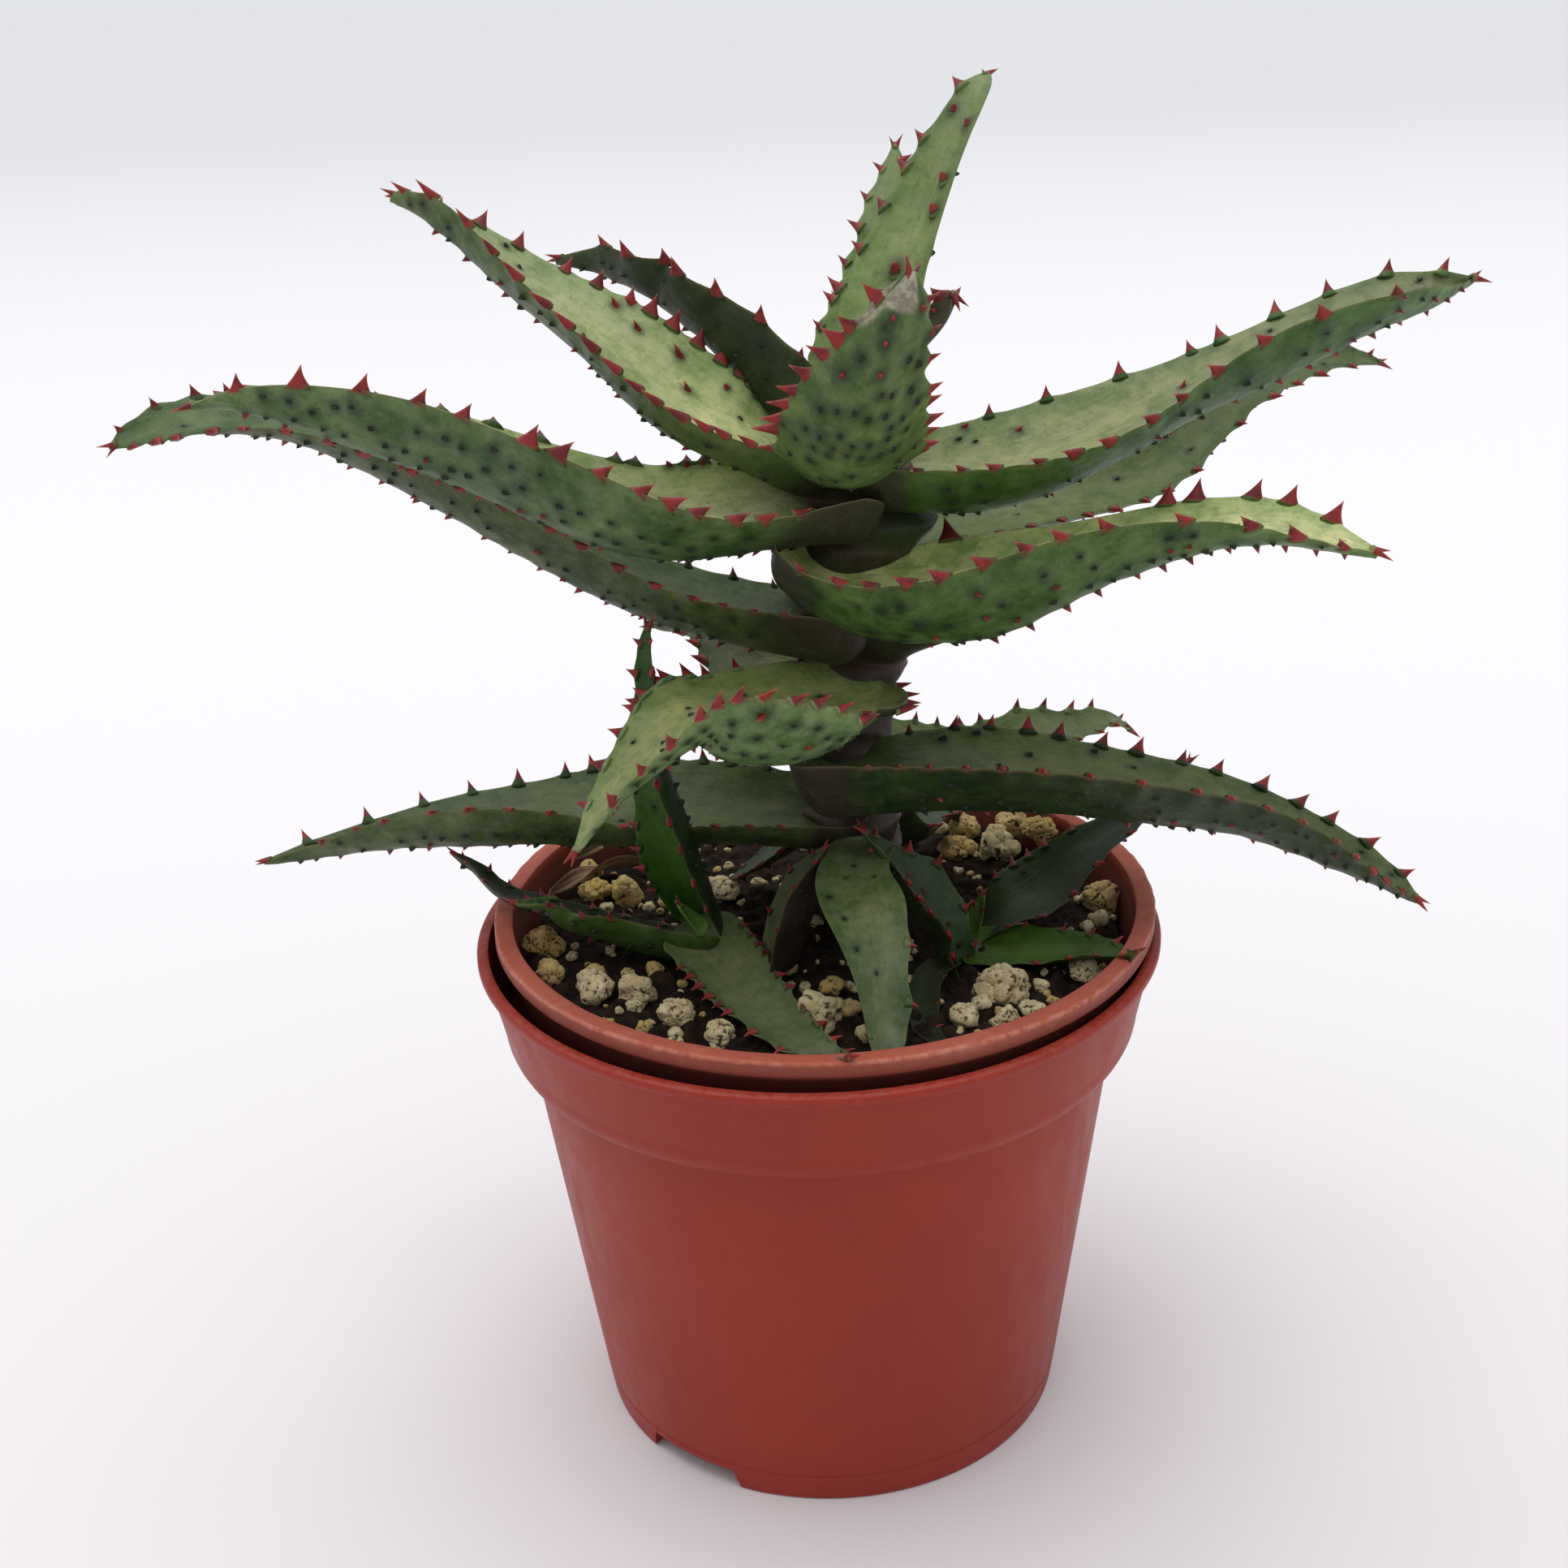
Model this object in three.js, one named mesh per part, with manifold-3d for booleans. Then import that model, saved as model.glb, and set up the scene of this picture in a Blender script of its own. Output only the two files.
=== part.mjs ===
// A potted aloe hybrid: one stem with nineteen thick channelled leaves, two offsets at its foot,
// dark soil with pumice grains, and two nested plastic nursery pots. Millimetres, +Z up.
// The outer pot stands on z = 0. The pots' own axis is x = y = 0 until the last lines centre the group.
import * as THREE from "three";
import { mergeVertices } from "three/addons/utils/BufferGeometryUtils.js";
import Module from "manifold-3d";

const wasm = await Module();
wasm.setup();

// ---------- driving dimensions ----------
const GAP = 0.35; // clearance between neighbouring pieces
const POT_HEIGHT = 81.1; // outer pot, table to lip
const LIP_R = 52.5; // outer radius of the lip (105 mm pot)
const LIP_WIDTH = 1.8;
const LIP_DROP = 1.5; // height of the lip bead
const COLLAR_TOP_R = 51.4;
const COLLAR_LOW_R = 49.3; // where the shoulder starts to round
const COLLAR_LOW_Z = 69.2;
const STEP_R = 46.72; // foot of the shoulder
const STEP_Z = 65.1;
const STEP_IN = 1.0; // how far the body wall sits inside the shoulder
const BASE_R = 37.14; // body wall at the table
const WALL = 1.1;
const FOOT_H = 4.8; // foot ring below the seam line
const FLOOR_Z = 3.6; // underside of the floor
const FLOOR_T = 1.3;
const NOTCH_H = 3.5; // the two cut-outs in the foot ring
const NOTCH_W = 17;
const NOTCH_AZ = [-127, 53]; // degrees from +X
const HOLES = 8; // drainage holes in each floor
const HOLE_R = 3.0;
const HOLE_RING_R = 24;
const INNER_X = 1.0; // the inner pot sits a little off the outer one's axis
const INNER_Y = 0.6;
const INNER_TOP = 85.0;
const INNER_RIM_R = 50.6;
const INNER_RIM_IN = 47.7;
const INNER_RIM_H = 2.6;
const SOIL_TOP = 78.0;
const SEG = 48; // facets round the pots

// Main stem: centre line and radius at each height.
const STEM = [
  [5.9, 6.2, 52, 5.2],
  [5.8, 6.0, 92, 6.0],
  [5.6, 6.0, 118, 6.2],
  [5.6, 5.6, 140, 7.3],
  [7.2, 5.4, 152, 7.0],
  [8.2, 6.6, 163, 5.2],
  [8.5, 6.9, 167.5, 3.4],
  [8.7, 7.1, 171, 1.3],
];
// Stems of the two offsets: centre, foot, top, radius.
const PUP_STEMS = {
  pup_a_stem: [-18.2, -3.4, 66, 83.5, 3.4],
  pup_b_stem: [24.6, -4.2, 66, 80.5, 3.2],
};

// Leaves: seven stations from base to tip, each x, y, z, half width, depth of the keel below the
// margins, and roll in degrees of the channel about the leaf's own line.
const LEAVES = {
  leaf_01: [[8.35552, 7.6, 165.117, 8.1, 4.5, 18], [10.7512, 10.7, 170.776, 7.2, 4.2, 14.5], [13.0911, 14.1, 176.64, 6.25, 3.7, 10.2], [17.0077, 17.9, 184.814, 5.7, 3.2, 6.5], [21.7841, 21.7, 193.7, 4.5, 2.4, 5.2], [26.5132, 25.8, 200.671, 2.8, 1.42, 3.4], [28.6909, 30, 202.482, 0.31, 0.28, 0.7]],
  leaf_02: [[7.32, 14.01, 169.93, 4.01, 2.03, -0.21], [9.31, 16.65, 173.85, 3.7, 1.85, -0.2], [10.44, 19.3, 177.85, 3.29, 1.64, -0.15], [11.83, 22.09, 181.52, 2.75, 1.37, -0.25], [12.8, 25.97, 185.19, 2.4, 1.04, -0.26], [14.6, 29.98, 188.9, 1.84, 0.63, -0.24], [15.41, 34, 192.87, 0.25, 0.2, -0.09]],
  leaf_03: [[6.56899, -2, 154.17, 8.5, 4, 0], [6.37756, -12, 158.201, 10.1, 5.4, 0], [6.80137, -20, 163.338, 9.7, 5.7, 0], [8.41707, -26, 169.743, 8.2, 4.9, 0], [10.6095, -30, 175.426, 5.8, 3.7, 0], [12.7217, -31.5, 180.433, 3.8, 2.6, 0], [14.1965, -31, 184.813, 0.8, 0.6, 0]],
  leaf_04: [[13, -2, 168.35, 3.75, 2.07, 0.09], [15.14, -3, 170.08, 3.37, 1.86, -0.21], [17.12, -3.98, 171.9, 2.96, 1.62, -0.52], [18.78, -4.94, 173.94, 2.46, 1.34, -0.83], [19.53, -6.06, 176.21, 1.84, 0.99, -1.08], [20.44, -7.07, 177.89, 1.07, 0.59, -1.24], [21.47, -7.95, 176.86, 0.25, 0.2, -1.33]],
  leaf_05: [[1.35, -0.98, 155.83, 10.54, 7.18, -9.08], [-6.92, -3.22, 161.21, 10.67, 7.84, -7.25], [-15.47, -1.52, 166.21, 10.25, 8.41, -5.91], [-25.39, 1.97, 173.54, 8.94, 6.75, -5.81], [-37.01, 5.61, 181.27, 6.8, 5.01, 4.57], [-47.31, 8.96, 188.77, 3.99, 3.55, 21.31], [-56.18, 11.62, 190.81, 0.44, 1.14, 36.46]],
  leaf_06: [[3.16, 8.11, 160.82, 8.13, 7.37, 41.58], [-4.55, 10.83, 168.18, 7.25, 6.43, 35.57], [-11.37, 12.93, 174.12, 6.44, 5.69, 31.61], [-17.18, 16.66, 177.3, 5.65, 4.9, 28.35], [-21.26, 17.65, 178.54, 4.71, 3.94, 28.24], [-26.61, 21.91, 179.72, 3.22, 3.43, 33.92], [-35.25, 23.77, 179.31, 0.34, 1.03, 32.99]],
  leaf_07: [[7.17, -5.37, 148.81, 9, 5.76, 19.2], [-6.94, -6.8, 151.39, 11.5, 8.7, -5.05], [-20.24, -7.88, 153.59, 12.5, 10.83, 4.43], [-37.04, -7.65, 159.92, 11.37, 9.87, 13.82], [-54.39, -7.63, 166.13, 8.7, 8.34, 14.83], [-72.18, -10.54, 169.1, 4.74, 4.02, 14.3], [-82.01, -14.03, 167.47, 0.25, 0.2, 13.18]],
  leaf_08: [[5.05, -4.27, 133.02, 10.92, 8.3, 10.66], [-18, -0.04, 136.93, 9.76, 7.2, 7.46], [-36.84, 2.04, 146.01, 8.43, 6.49, 10.94], [-55.58, 3.05, 155.53, 6.97, 5.09, 1.54], [-73.09, 3.54, 162.12, 5.32, 3.64, -10.92], [-89.02, 1.92, 162.29, 3.74, 1.96, -30.25], [-97.45, -0.4, 159.09, 0.3, 0.29, -50.28]],
  leaf_09: [[10.114, -2.262, 154.877, 11.571, 8.119, -4.215], [28.504, -2.51, 156.447, 11.216, 9.404, 4.789], [46.978, -0.624, 161.395, 9.908, 6.884, 3.785], [65.146, 0.991, 169.859, 7.506, 6.905, -9.287], [81.94, 4.477, 174.446, 6.71, 5.415, -2.443], [89.107, 6.011, 174.862, 3.305, 4.066, 10.615], [96.405, 9.924, 174.2, -0.195, 2.541, 45.879]],
  leaf_10: [[8.99, 12, 140.18, 8.29, 5.84, 9.77], [25.56, 17.58, 140.91, 7.61, 5.35, 15.79], [41.76, 22.98, 142.14, 6.84, 4.79, 21.94], [55.58, 28.84, 144.8, 5.88, 4.08, 28.5], [67.67, 33.97, 153.26, 4.49, 3.13, 33.65], [82.1, 38.98, 157.53, 3.01, 1.91, 39.58], [93.39, 43.97, 154.97, 0.32, 0.41, 43.49]],
  leaf_11: [[0.22, -8.33, 142.59, 9.56, 6.25, -13.14], [7.26, -10.31, 140.71, 11.15, 9.01, -5.89], [21.77, -11.45, 142.77, 11.87, 12.45, -5.26], [39.04, -13.17, 146.75, 10.17, 8.76, -11.42], [55.38, -15.3, 148.9, 7.48, 5.67, -3.09], [67.02, -17.96, 147.5, 5, 3.34, 7.89], [77.06, -19.91, 143.52, 0.37, 1.18, 14.23]],
  leaf_12: [[10.51, -11.88, 122.28, 7.68, 2.84, 7.39], [2.12, -12.7, 123.56, 11.96, 8.92, -3.93], [-7.12, -19.81, 126.8, 13.6, 10.48, 7.06], [-15.95, -24.58, 128.74, 11.51, 8.11, 10.3], [-22.76, -27.95, 123.4, 8.21, 5.32, 7.2], [-28.25, -30.53, 116.85, 4.21, 2.82, 7.74], [-32.79, -33.5, 108.78, 0.25, 0.2, 7.66]],
  leaf_13: [[-0.96, 12, 116.57, 7.62, 4.61, -10.88], [-5.57, 14.66, 116.88, 6.97, 4.19, -10.9], [-9.87, 17.23, 117.69, 6.19, 3.69, -10.83], [-12.62, 20.16, 119.54, 5.16, 3.07, -10.39], [-15.82, 23.3, 121.29, 3.83, 2.26, -9.72], [-20.41, 26.64, 121.07, 2.21, 1.3, -9.34], [-25.48, 30, 119.89, 0.29, 0.24, -9.06]],
  leaf_14: [[4.5, 0.16, 100.36, 9.82, 7.36, 2.82], [-12.01, 2.12, 101.75, 10.35, 7.97, -3.52], [-27.73, 3.9, 101.74, 10.46, 8.42, -4.68], [-42.12, 2.67, 102.4, 9.15, 7.63, 8.29], [-57.56, 1.4, 101.77, 7.06, 6.36, 14.45], [-72.07, 1.59, 97.87, 4.03, 3.59, 15.09], [-84.4, -0.24, 94.14, 0.36, 0.47, 7.88]],
  leaf_15: [[2.38, -9.1, 112.35, 12.23, 9.31, -14.56], [25.26, -11.64, 113.82, 11.46, 9.36, -6.48], [46.07, -9.98, 109.48, 10.18, 8.28, -6.72], [63.82, -8.8, 104.15, 8.41, 6.77, -8.11], [76.84, -9.45, 97.23, 6.12, 5, -8.35], [84.28, -11.79, 91.83, 3.42, 2.79, -3.66], [88.63, -14.15, 88.05, 0.31, 0.68, 1.12]],
  leaf_16: [[9.57, 12, 106.72, 6.58, 3.32, 17.96], [18.92, 17.33, 102.66, 5.99, 3, 19.36], [28.09, 22.68, 99.89, 5.3, 2.66, 20.95], [36.25, 28.04, 100.7, 4.54, 2.22, 23.21], [43.82, 33.27, 99.05, 3.34, 1.64, 24.04], [50.47, 38.74, 97.93, 1.83, 0.93, 24.06], [54.93, 43.94, 93.03, 0.27, 0.2, 24.37]],
  leaf_17: [[7.42, 14, 95.09, 7.63, 4.61, -1.36], [10.37, 18, 92.41, 7.02, 4.32, -2.12], [13.26, 21.95, 87.72, 6.25, 4.01, -2.73], [16.04, 26.03, 85.47, 5.23, 3.36, -2.71], [18.99, 29.34, 85.6, 3.88, 2.34, -2.02], [22.13, 32.67, 84.33, 2.23, 1.28, -1.16], [25.17, 36, 82.52, 0.28, 0.2, -0.23]],
  leaf_18: [[7.09, -10.03, 98.24, 4.99, 2.6, 2.55], [5.34, -17.72, 97.33, 5.59, 2.83, 3.08], [6.47, -25.03, 96.34, 6.23, 2.9, 3.11], [7.67, -30.34, 93.23, 5.17, 2.58, 1.09], [8.75, -35.48, 87.83, 3.8, 1.97, -0.45], [9.03, -40.76, 81.78, 2.53, 1.19, -1.13], [8.18, -46.01, 81.35, 0.36, 0.27, -1.16]],
  leaf_19: [[-0.37, 8, 95.14, 6.46, 2.94, -12], [-2.59, 9.17, 92.85, 6.07, 2.74, -12], [-4.84, 10.33, 90.53, 5.55, 2.48, -12], [-7.11, 11.5, 88.19, 4.77, 2.12, -12], [-9.41, 12.67, 85.82, 3.63, 1.6, -12], [-11.74, 13.83, 83.44, 2.1, 0.93, -12], [-14.1, 15, 81.03, 0.29, 0.2, -12]],
  pup_a_leaf_1: [[-18.47, -4.53, 82.92, 5.16, 4.75, -15.22], [-21.79, -9.62, 93.46, 5.88, 5.95, -16.7], [-23.2, -11.89, 103.14, 5.03, 5.27, -22.63], [-24.01, -13.96, 112.17, 3.56, 4.03, -27.7], [-23.16, -14.99, 120.61, 2.53, 2.63, -20.83], [-23.21, -13.81, 128.47, 1.56, 1.39, -10.75], [-22.18, -13.02, 134.92, 0.32, 0.24, 0.12]],
  pup_a_leaf_2: [[-17.2, -5.91, 81.5, 5.44, 3.58, 31.57], [-25.11, -6.5, 83.2, 5.1, 3.7, 32.15], [-32.03, -7.55, 86.17, 4.54, 3.39, 29.55], [-37.25, -7.7, 87.4, 3.7, 2.66, 22.59], [-39.64, -8.34, 89.75, 2.65, 1.77, 14.26], [-42.74, -8.05, 89.73, 1.47, 0.91, 5.68], [-45.88, -7.99, 89.62, 0.25, 0.2, -2.59]],
  pup_a_leaf_3: [[-17.21, -5, 79.75, 4.31, 2.59, 0.79], [-25.54, -3.65, 81.39, 3.96, 2.38, 0.08], [-33.67, -2.29, 83.18, 3.59, 2.17, -0.71], [-41.2, -1.06, 85.37, 3.14, 1.92, -1.68], [-47.52, -1.97, 88.81, 2.54, 1.65, -2.9], [-51.39, -2.09, 92.92, 1.6, 1.09, -3.91], [-55.04, -2.94, 95.94, 0.29, 0.29, -4.31]],
  pup_a_leaf_4: [[-17.86, -8.62, 83.82, 6.66, 4, 9.18], [-14.05, -14, 81.84, 6.05, 3.68, 4.34], [-11.02, -21.39, 81.51, 5.61, 3.36, 2.54], [-7.53, -28.04, 81.19, 4.92, 2.96, 2.19], [-4.19, -35.66, 81.69, 4.12, 2.35, 3.44], [-0.15, -42.88, 82.93, 2.57, 1.45, 3.37], [3.99, -50.45, 86.03, 0.31, 0.32, 1.47]],
  pup_a_leaf_5: [[-7.91, -13.83, 81.82, 4.28, 4.88, -9.04], [-7, -13.57, 86.46, 4.49, 5.3, -11.06], [-5.61, -13.28, 90.48, 4.45, 5.43, -11.7], [-4.08, -13.22, 93.85, 3.85, 4.56, -11.05], [-2.27, -12.98, 96.04, 2.84, 3.29, -8.8], [-0.22, -12.18, 97.42, 1.61, 1.82, -5.47], [1.78, -11.98, 99.28, 0.27, 0.32, -1.59]],
  pup_a_leaf_6: [[-17.23, -9.5, 85.25, 1.98, 1.59, -0], [-17.86, -9.58, 86.05, 1.76, 1.41, -0], [-18.49, -9.67, 86.84, 1.52, 1.22, -0], [-19.11, -9.75, 87.63, 1.26, 1, -0], [-19.73, -9.83, 88.42, 0.95, 0.76, 0], [-20.35, -9.92, 89.2, 0.61, 0.49, 0], [-20.97, -10, 89.98, 0.25, 0.21, 0]],
  pup_b_leaf_1: [[25.31, -6.96, 79.31, 7.91, 4.47, 15.09], [30.53, -4.92, 84.32, 7.66, 4.09, 14.84], [34.34, -1.21, 86.71, 6.49, 3.52, 11.41], [40.42, 0.98, 91.13, 5.03, 2.77, 8.1], [47.38, 4, 94.34, 3.43, 1.92, 4], [53.56, 7.01, 97.78, 1.89, 1.04, 0.93], [58.81, 10, 101.91, 0.26, 0.2, -2.07]],
  pup_b_leaf_2: [[22.682, -13.179, 78.121, 4.4, 5.298, -2.353], [21.593, -13.381, 82.029, 2.7, 4.8, -25.118], [20.509, -13.408, 87.159, 3.241, 6.324, -16.688], [16.984, -13.21, 92.789, 4.855, 5.101, -8.961], [14.027, -13.283, 95.836, 3.199, 3.13, -9.737], [10.196, -12.955, 99.191, 1.871, 1.714, 0.768], [6.81, -12.052, 101.75, 0.276, 0.294, -3.342]],
  pup_b_leaf_3: [[24.18, -9.01, 80.46, 5.03, 3.07, 10.59], [29.25, -11.07, 81.38, 4.82, 2.95, 11.48], [34.05, -12.91, 82.07, 4.36, 2.68, 10.85], [38.1, -15.08, 82.92, 3.61, 2.23, 8.66], [41.34, -18.29, 84.2, 2.64, 1.64, 5.81], [43.84, -21.67, 85.06, 1.51, 0.96, 2.83], [45.93, -25, 87.13, 0.26, 0.21, -0.15]],
  pup_b_leaf_4: [[18.76, -14, 80.5, 2.8, 1.66, 5.87], [16.32, -18.33, 81.07, 2.47, 1.54, 5.34], [15.16, -22.66, 80.47, 2.39, 1.45, 4.11], [14.67, -27, 79.65, 2.27, 1.33, 2.7], [14.92, -31.34, 79.07, 1.94, 1.1, 1.34], [16.18, -35.67, 79.55, 1.26, 0.72, -0.05], [15.12, -40, 80.87, 0.28, 0.23, -1.33]],
  pup_b_leaf_5: [[23.09, -8, 82.49, 2.08, 1.67, -0], [23.44, -7.83, 83.51, 1.85, 1.48, -0], [23.78, -7.67, 84.53, 1.6, 1.28, 0], [24.12, -7.5, 85.55, 1.32, 1.05, 0], [24.46, -7.33, 86.57, 1, 0.79, 0], [24.8, -7.17, 87.59, 0.64, 0.51, 0], [25.13, -7, 88.61, 0.25, 0.21, 0]],
};

// Steep young leaves: the way their channelled face looks, where straight up would be ill defined.
const FACING = {
  leaf_03: [0, 0.7, 0.7],
  pup_a_leaf_1: [-0.45, -0.85, 0.2],
  pup_a_leaf_5: [-0.6, -0.2, 0.75],
  pup_a_leaf_6: [0.5, -0.3, 0.8],
  pup_b_leaf_2: [0.6, -0.2, 0.75],
  pup_b_leaf_5: [-0.4, -0.3, 0.85],
};

// Pumice grains: x, y, z of the centre, mean radius, seed.
const STONES = [
  [-42.4, -2.2, 79.6, 3.0, 0.7],
  [-40.5, -12.2, 79.4, 2.4, 2.0],
  [-33.0, -17.3, 79.6, 2.8, 3.3],
  [-26.9, -18.2, 79.6, 2.8, 4.6],
  [-20.8, -25.9, 79.6, 2.7, 5.9],
  [-14.6, -32.0, 79.5, 2.4, 7.2],
  [-35.9, 15.2, 79.8, 2.6, 8.5],
  [-30.6, 14.9, 79.8, 2.8, 9.8],
  [-15.8, 13.8, 79.8, 2.8, 11.1],
  [26.3, -21.3, 80.0, 3.7, 12.4],
  [20.5, -28.9, 79.5, 2.4, 13.7],
  [26.3, -30.7, 79.3, 2.3, 15.0],
  [30.4, -26.8, 79.2, 1.7, 16.3],
  [39.5, -16.3, 79.4, 2.4, 17.6],
  [44.4, 6.4, 79.8, 2.8, 18.9],
  [30.5, 26.2, 80.6, 3.6, 20.2],
  [25.6, 33.0, 80.8, 2.9, 21.5],
  [23.8, 26.9, 79.8, 2.6, 22.8],
  [32.9, 30.5, 82.6, 2.7, 24.1],
  [37.1, 25.3, 83.4, 2.8, 25.4],
  [-0.1, -27.6, 79.8, 3.3, 26.7],
];

// Two dried leaf strips lying on the soil: points along each, half width.
const STRIPS = {
  dry_leaf_1: [[[-43.0, 15.0, 80.4], [-38.0, 18.5, 81.2], [-32.0, 21.5, 81.6], [-26.5, 23.0, 80.8]], 1.9],
  dry_leaf_2: [[[-40.5, 20.5, 83.6], [-35.0, 23.8, 84.4], [-29.5, 26.8, 84.2], [-24.0, 28.0, 82.6]], 1.5],
};

// Colour and roughness of each piece; nothing here is metal.
const FINISH = [
  [/^outer_pot$/, 0x8a3226, 0.45],
  [/^inner_pot$/, 0x8c4a3c, 0.7],
  [/^soil$/, 0x2e2018, 0.95],
  [/stem$/, 0x4a3a36, 0.6],
  [/^dry_leaf/, 0xa08a6a, 0.8],
  [/^pumice_(01|02|07|08|15|17|18|19|20)$/, 0xcdb682, 0.9],
  [/^pumice/, 0xdcd3bc, 0.9],
  [/^pup_[ab]_leaf_[14]$/, 0x3c5230, 0.5],
  [/^pup_/, 0x4f6b38, 0.5],
  [/^leaf_(03|14|15|17)$/, 0x4c5e40, 0.55],
  [/^leaf_(04|06)$/, 0x3e4634, 0.55],
  [/^leaf_12$/, 0x86865a, 0.5],
  [/^leaf_/, 0x72815a, 0.55],
];

// ---------- helpers ----------
function solid(geometry, near = 1e-4) {
  const plain = new THREE.BufferGeometry();
  plain.setAttribute("position", geometry.getAttribute("position"));
  if (geometry.index) plain.setIndex(geometry.index);
  const g = mergeVertices(plain, near);
  return new wasm.Manifold(
    new wasm.Mesh({
      numProp: 3,
      vertProperties: new Float32Array(g.attributes.position.array),
      triVerts: new Uint32Array(g.index.array),
    }),
  );
}
function bare(s) {
  const m = s.getMesh();
  const g = new THREE.BufferGeometry();
  const n = m.numProp;
  const v = new Float32Array(m.numVert * 3);
  for (let i = 0; i < m.numVert; i++) v.set(m.vertProperties.subarray(i * n, i * n + 3), i * 3);
  g.setAttribute("position", new THREE.BufferAttribute(v, 3));
  g.setIndex(new THREE.BufferAttribute(new Uint32Array(m.triVerts), 1));
  return g;
}
function meshOf(name, s) {
  const [, colour, roughness] = FINISH.find(([like]) => like.test(name));
  const mesh = new THREE.Mesh(bare(s), new THREE.MeshStandardMaterial({ color: colour, roughness, metalness: 0 }));
  mesh.name = name;
  return mesh;
}
function largest(s) {
  let best = null;
  for (const b of s.decompose()) if (!best || b.volume() > best.volume()) best = b;
  return best;
}
// The final body: hair-thin slivers from the cuts removed, near points joined, one closed shell kept.
const tidy = (s) => largest(solid(bare(largest(s.simplify(0.03))), 2e-3));
// A solid of revolution about +Z from (radius, height) pairs, listed so that the faces look outwards.
function lathe(profile, seg = SEG) {
  const pts = profile.map(([r, z]) => new THREE.Vector2(r, z));
  const g = new THREE.LatheGeometry(pts, seg);
  g.rotateX(Math.PI / 2);
  let s = solid(g);
  if (s.volume() < 0) {
    const g2 = new THREE.LatheGeometry(pts.slice().reverse(), seg);
    g2.rotateX(Math.PI / 2);
    s = solid(g2);
  }
  return s;
}
function box(w, d, h, x, y, z, turn = 0) {
  const g = new THREE.BoxGeometry(w, d, h);
  g.translate(x, y, z);
  g.rotateZ(turn);
  return solid(g);
}
function rod(r, h, x, y, z, seg = 16) {
  const g = new THREE.CylinderGeometry(r, r, h, seg);
  g.rotateX(Math.PI / 2);
  g.translate(x, y, z);
  return solid(g);
}
// Natural cubic spline through equally spaced rows; returns the row at s in 0..1.
function spline(rows) {
  const n = rows.length;
  const dim = rows[0].length;
  const second = rows.map(() => new Array(dim).fill(0));
  for (let c = 0; c < dim; c++) {
    const a = new Array(n).fill(0);
    const b = new Array(n).fill(0);
    for (let i = 1; i < n - 1; i++) {
      const rhs = 6 * (rows[i + 1][c] - 2 * rows[i][c] + rows[i - 1][c]);
      const p = 4 - a[i - 1];
      a[i] = 1 / p;
      b[i] = (rhs - b[i - 1]) / p;
    }
    for (let i = n - 2; i > 0; i--) second[i][c] = b[i] - a[i] * second[i + 1][c];
  }
  return (s) => {
    const x = Math.min(Math.max(s, 0), 1) * (n - 1);
    const i = Math.min(Math.floor(x), n - 2);
    const u = x - i;
    const w = 1 - u;
    return rows[i].map(
      (v, c) =>
        w * v + u * rows[i + 1][c] + (((w * w * w - w) * second[i][c] + (u * u * u - u) * second[i + 1][c]) / 6),
    );
  };
}
function frameAt(curve, s, facing = [0, 0, 1]) {
  const e = 0.004;
  const a = curve(Math.max(0, s - e));
  const b = curve(Math.min(1, s + e));
  const T = new THREE.Vector3(b[0] - a[0], b[1] - a[1], b[2] - a[2]).normalize();
  const U = new THREE.Vector3(...facing).normalize();
  const N = U.clone().addScaledVector(T, -T.dot(U)).normalize();
  const B = new THREE.Vector3().crossVectors(T, N);
  const row = curve(s);
  const roll = (row[5] * Math.PI) / 180;
  const N2 = N.clone().multiplyScalar(Math.cos(roll)).addScaledVector(B, Math.sin(roll));
  const B2 = B.clone().multiplyScalar(Math.cos(roll)).addScaledVector(N, -Math.sin(roll));
  return { C: new THREE.Vector3(row[0], row[1], row[2]), T, N: N2, B: B2, w: Math.max(row[3], 0.25), k: Math.max(row[4], 0.22) };
}
// The outline of each crescent section of a leaf, from its rounded foot to its blunt tip.
function leafRings(rows, count, across, fat, facing) {
  const curve = spline(rows);
  const stations = [];
  const foot = frameAt(curve, 0, facing);
  for (const d of [0.92, 0.62]) stations.push([foot, -d * (0.45 * foot.w + fat), Math.sqrt(1 - d * d)]);
  for (let i = 0; i < count; i++) {
    const s = i / (count - 1);
    stations.push([frameAt(curve, s, facing), i === count - 1 ? 0.25 + fat : 0, 1]);
  }
  return stations.map(([f, along, scale]) => {
    const w = f.w * scale + fat;
    const at = (t, depth) =>
      f.C.clone().addScaledVector(f.T, along).addScaledVector(f.B, t * w).addScaledVector(f.N, -depth);
    const top = [];
    const low = [];
    for (let i = 0; i <= across; i++) {
      const t = -1 + (2 * i) / across;
      top.push(at(t, 0.42 * f.k * scale * (1 - t * t) - fat));
      const deep = f.k * scale * (1 - Math.pow(Math.abs(t), 1.8)) + fat;
      if (fat > 0 || (i > 0 && i < across)) low.push(at(t, deep)); // the grown copy has blunt margins
    }
    return { f, top, low, all: [...top, ...low.reverse()] };
  });
}
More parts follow.
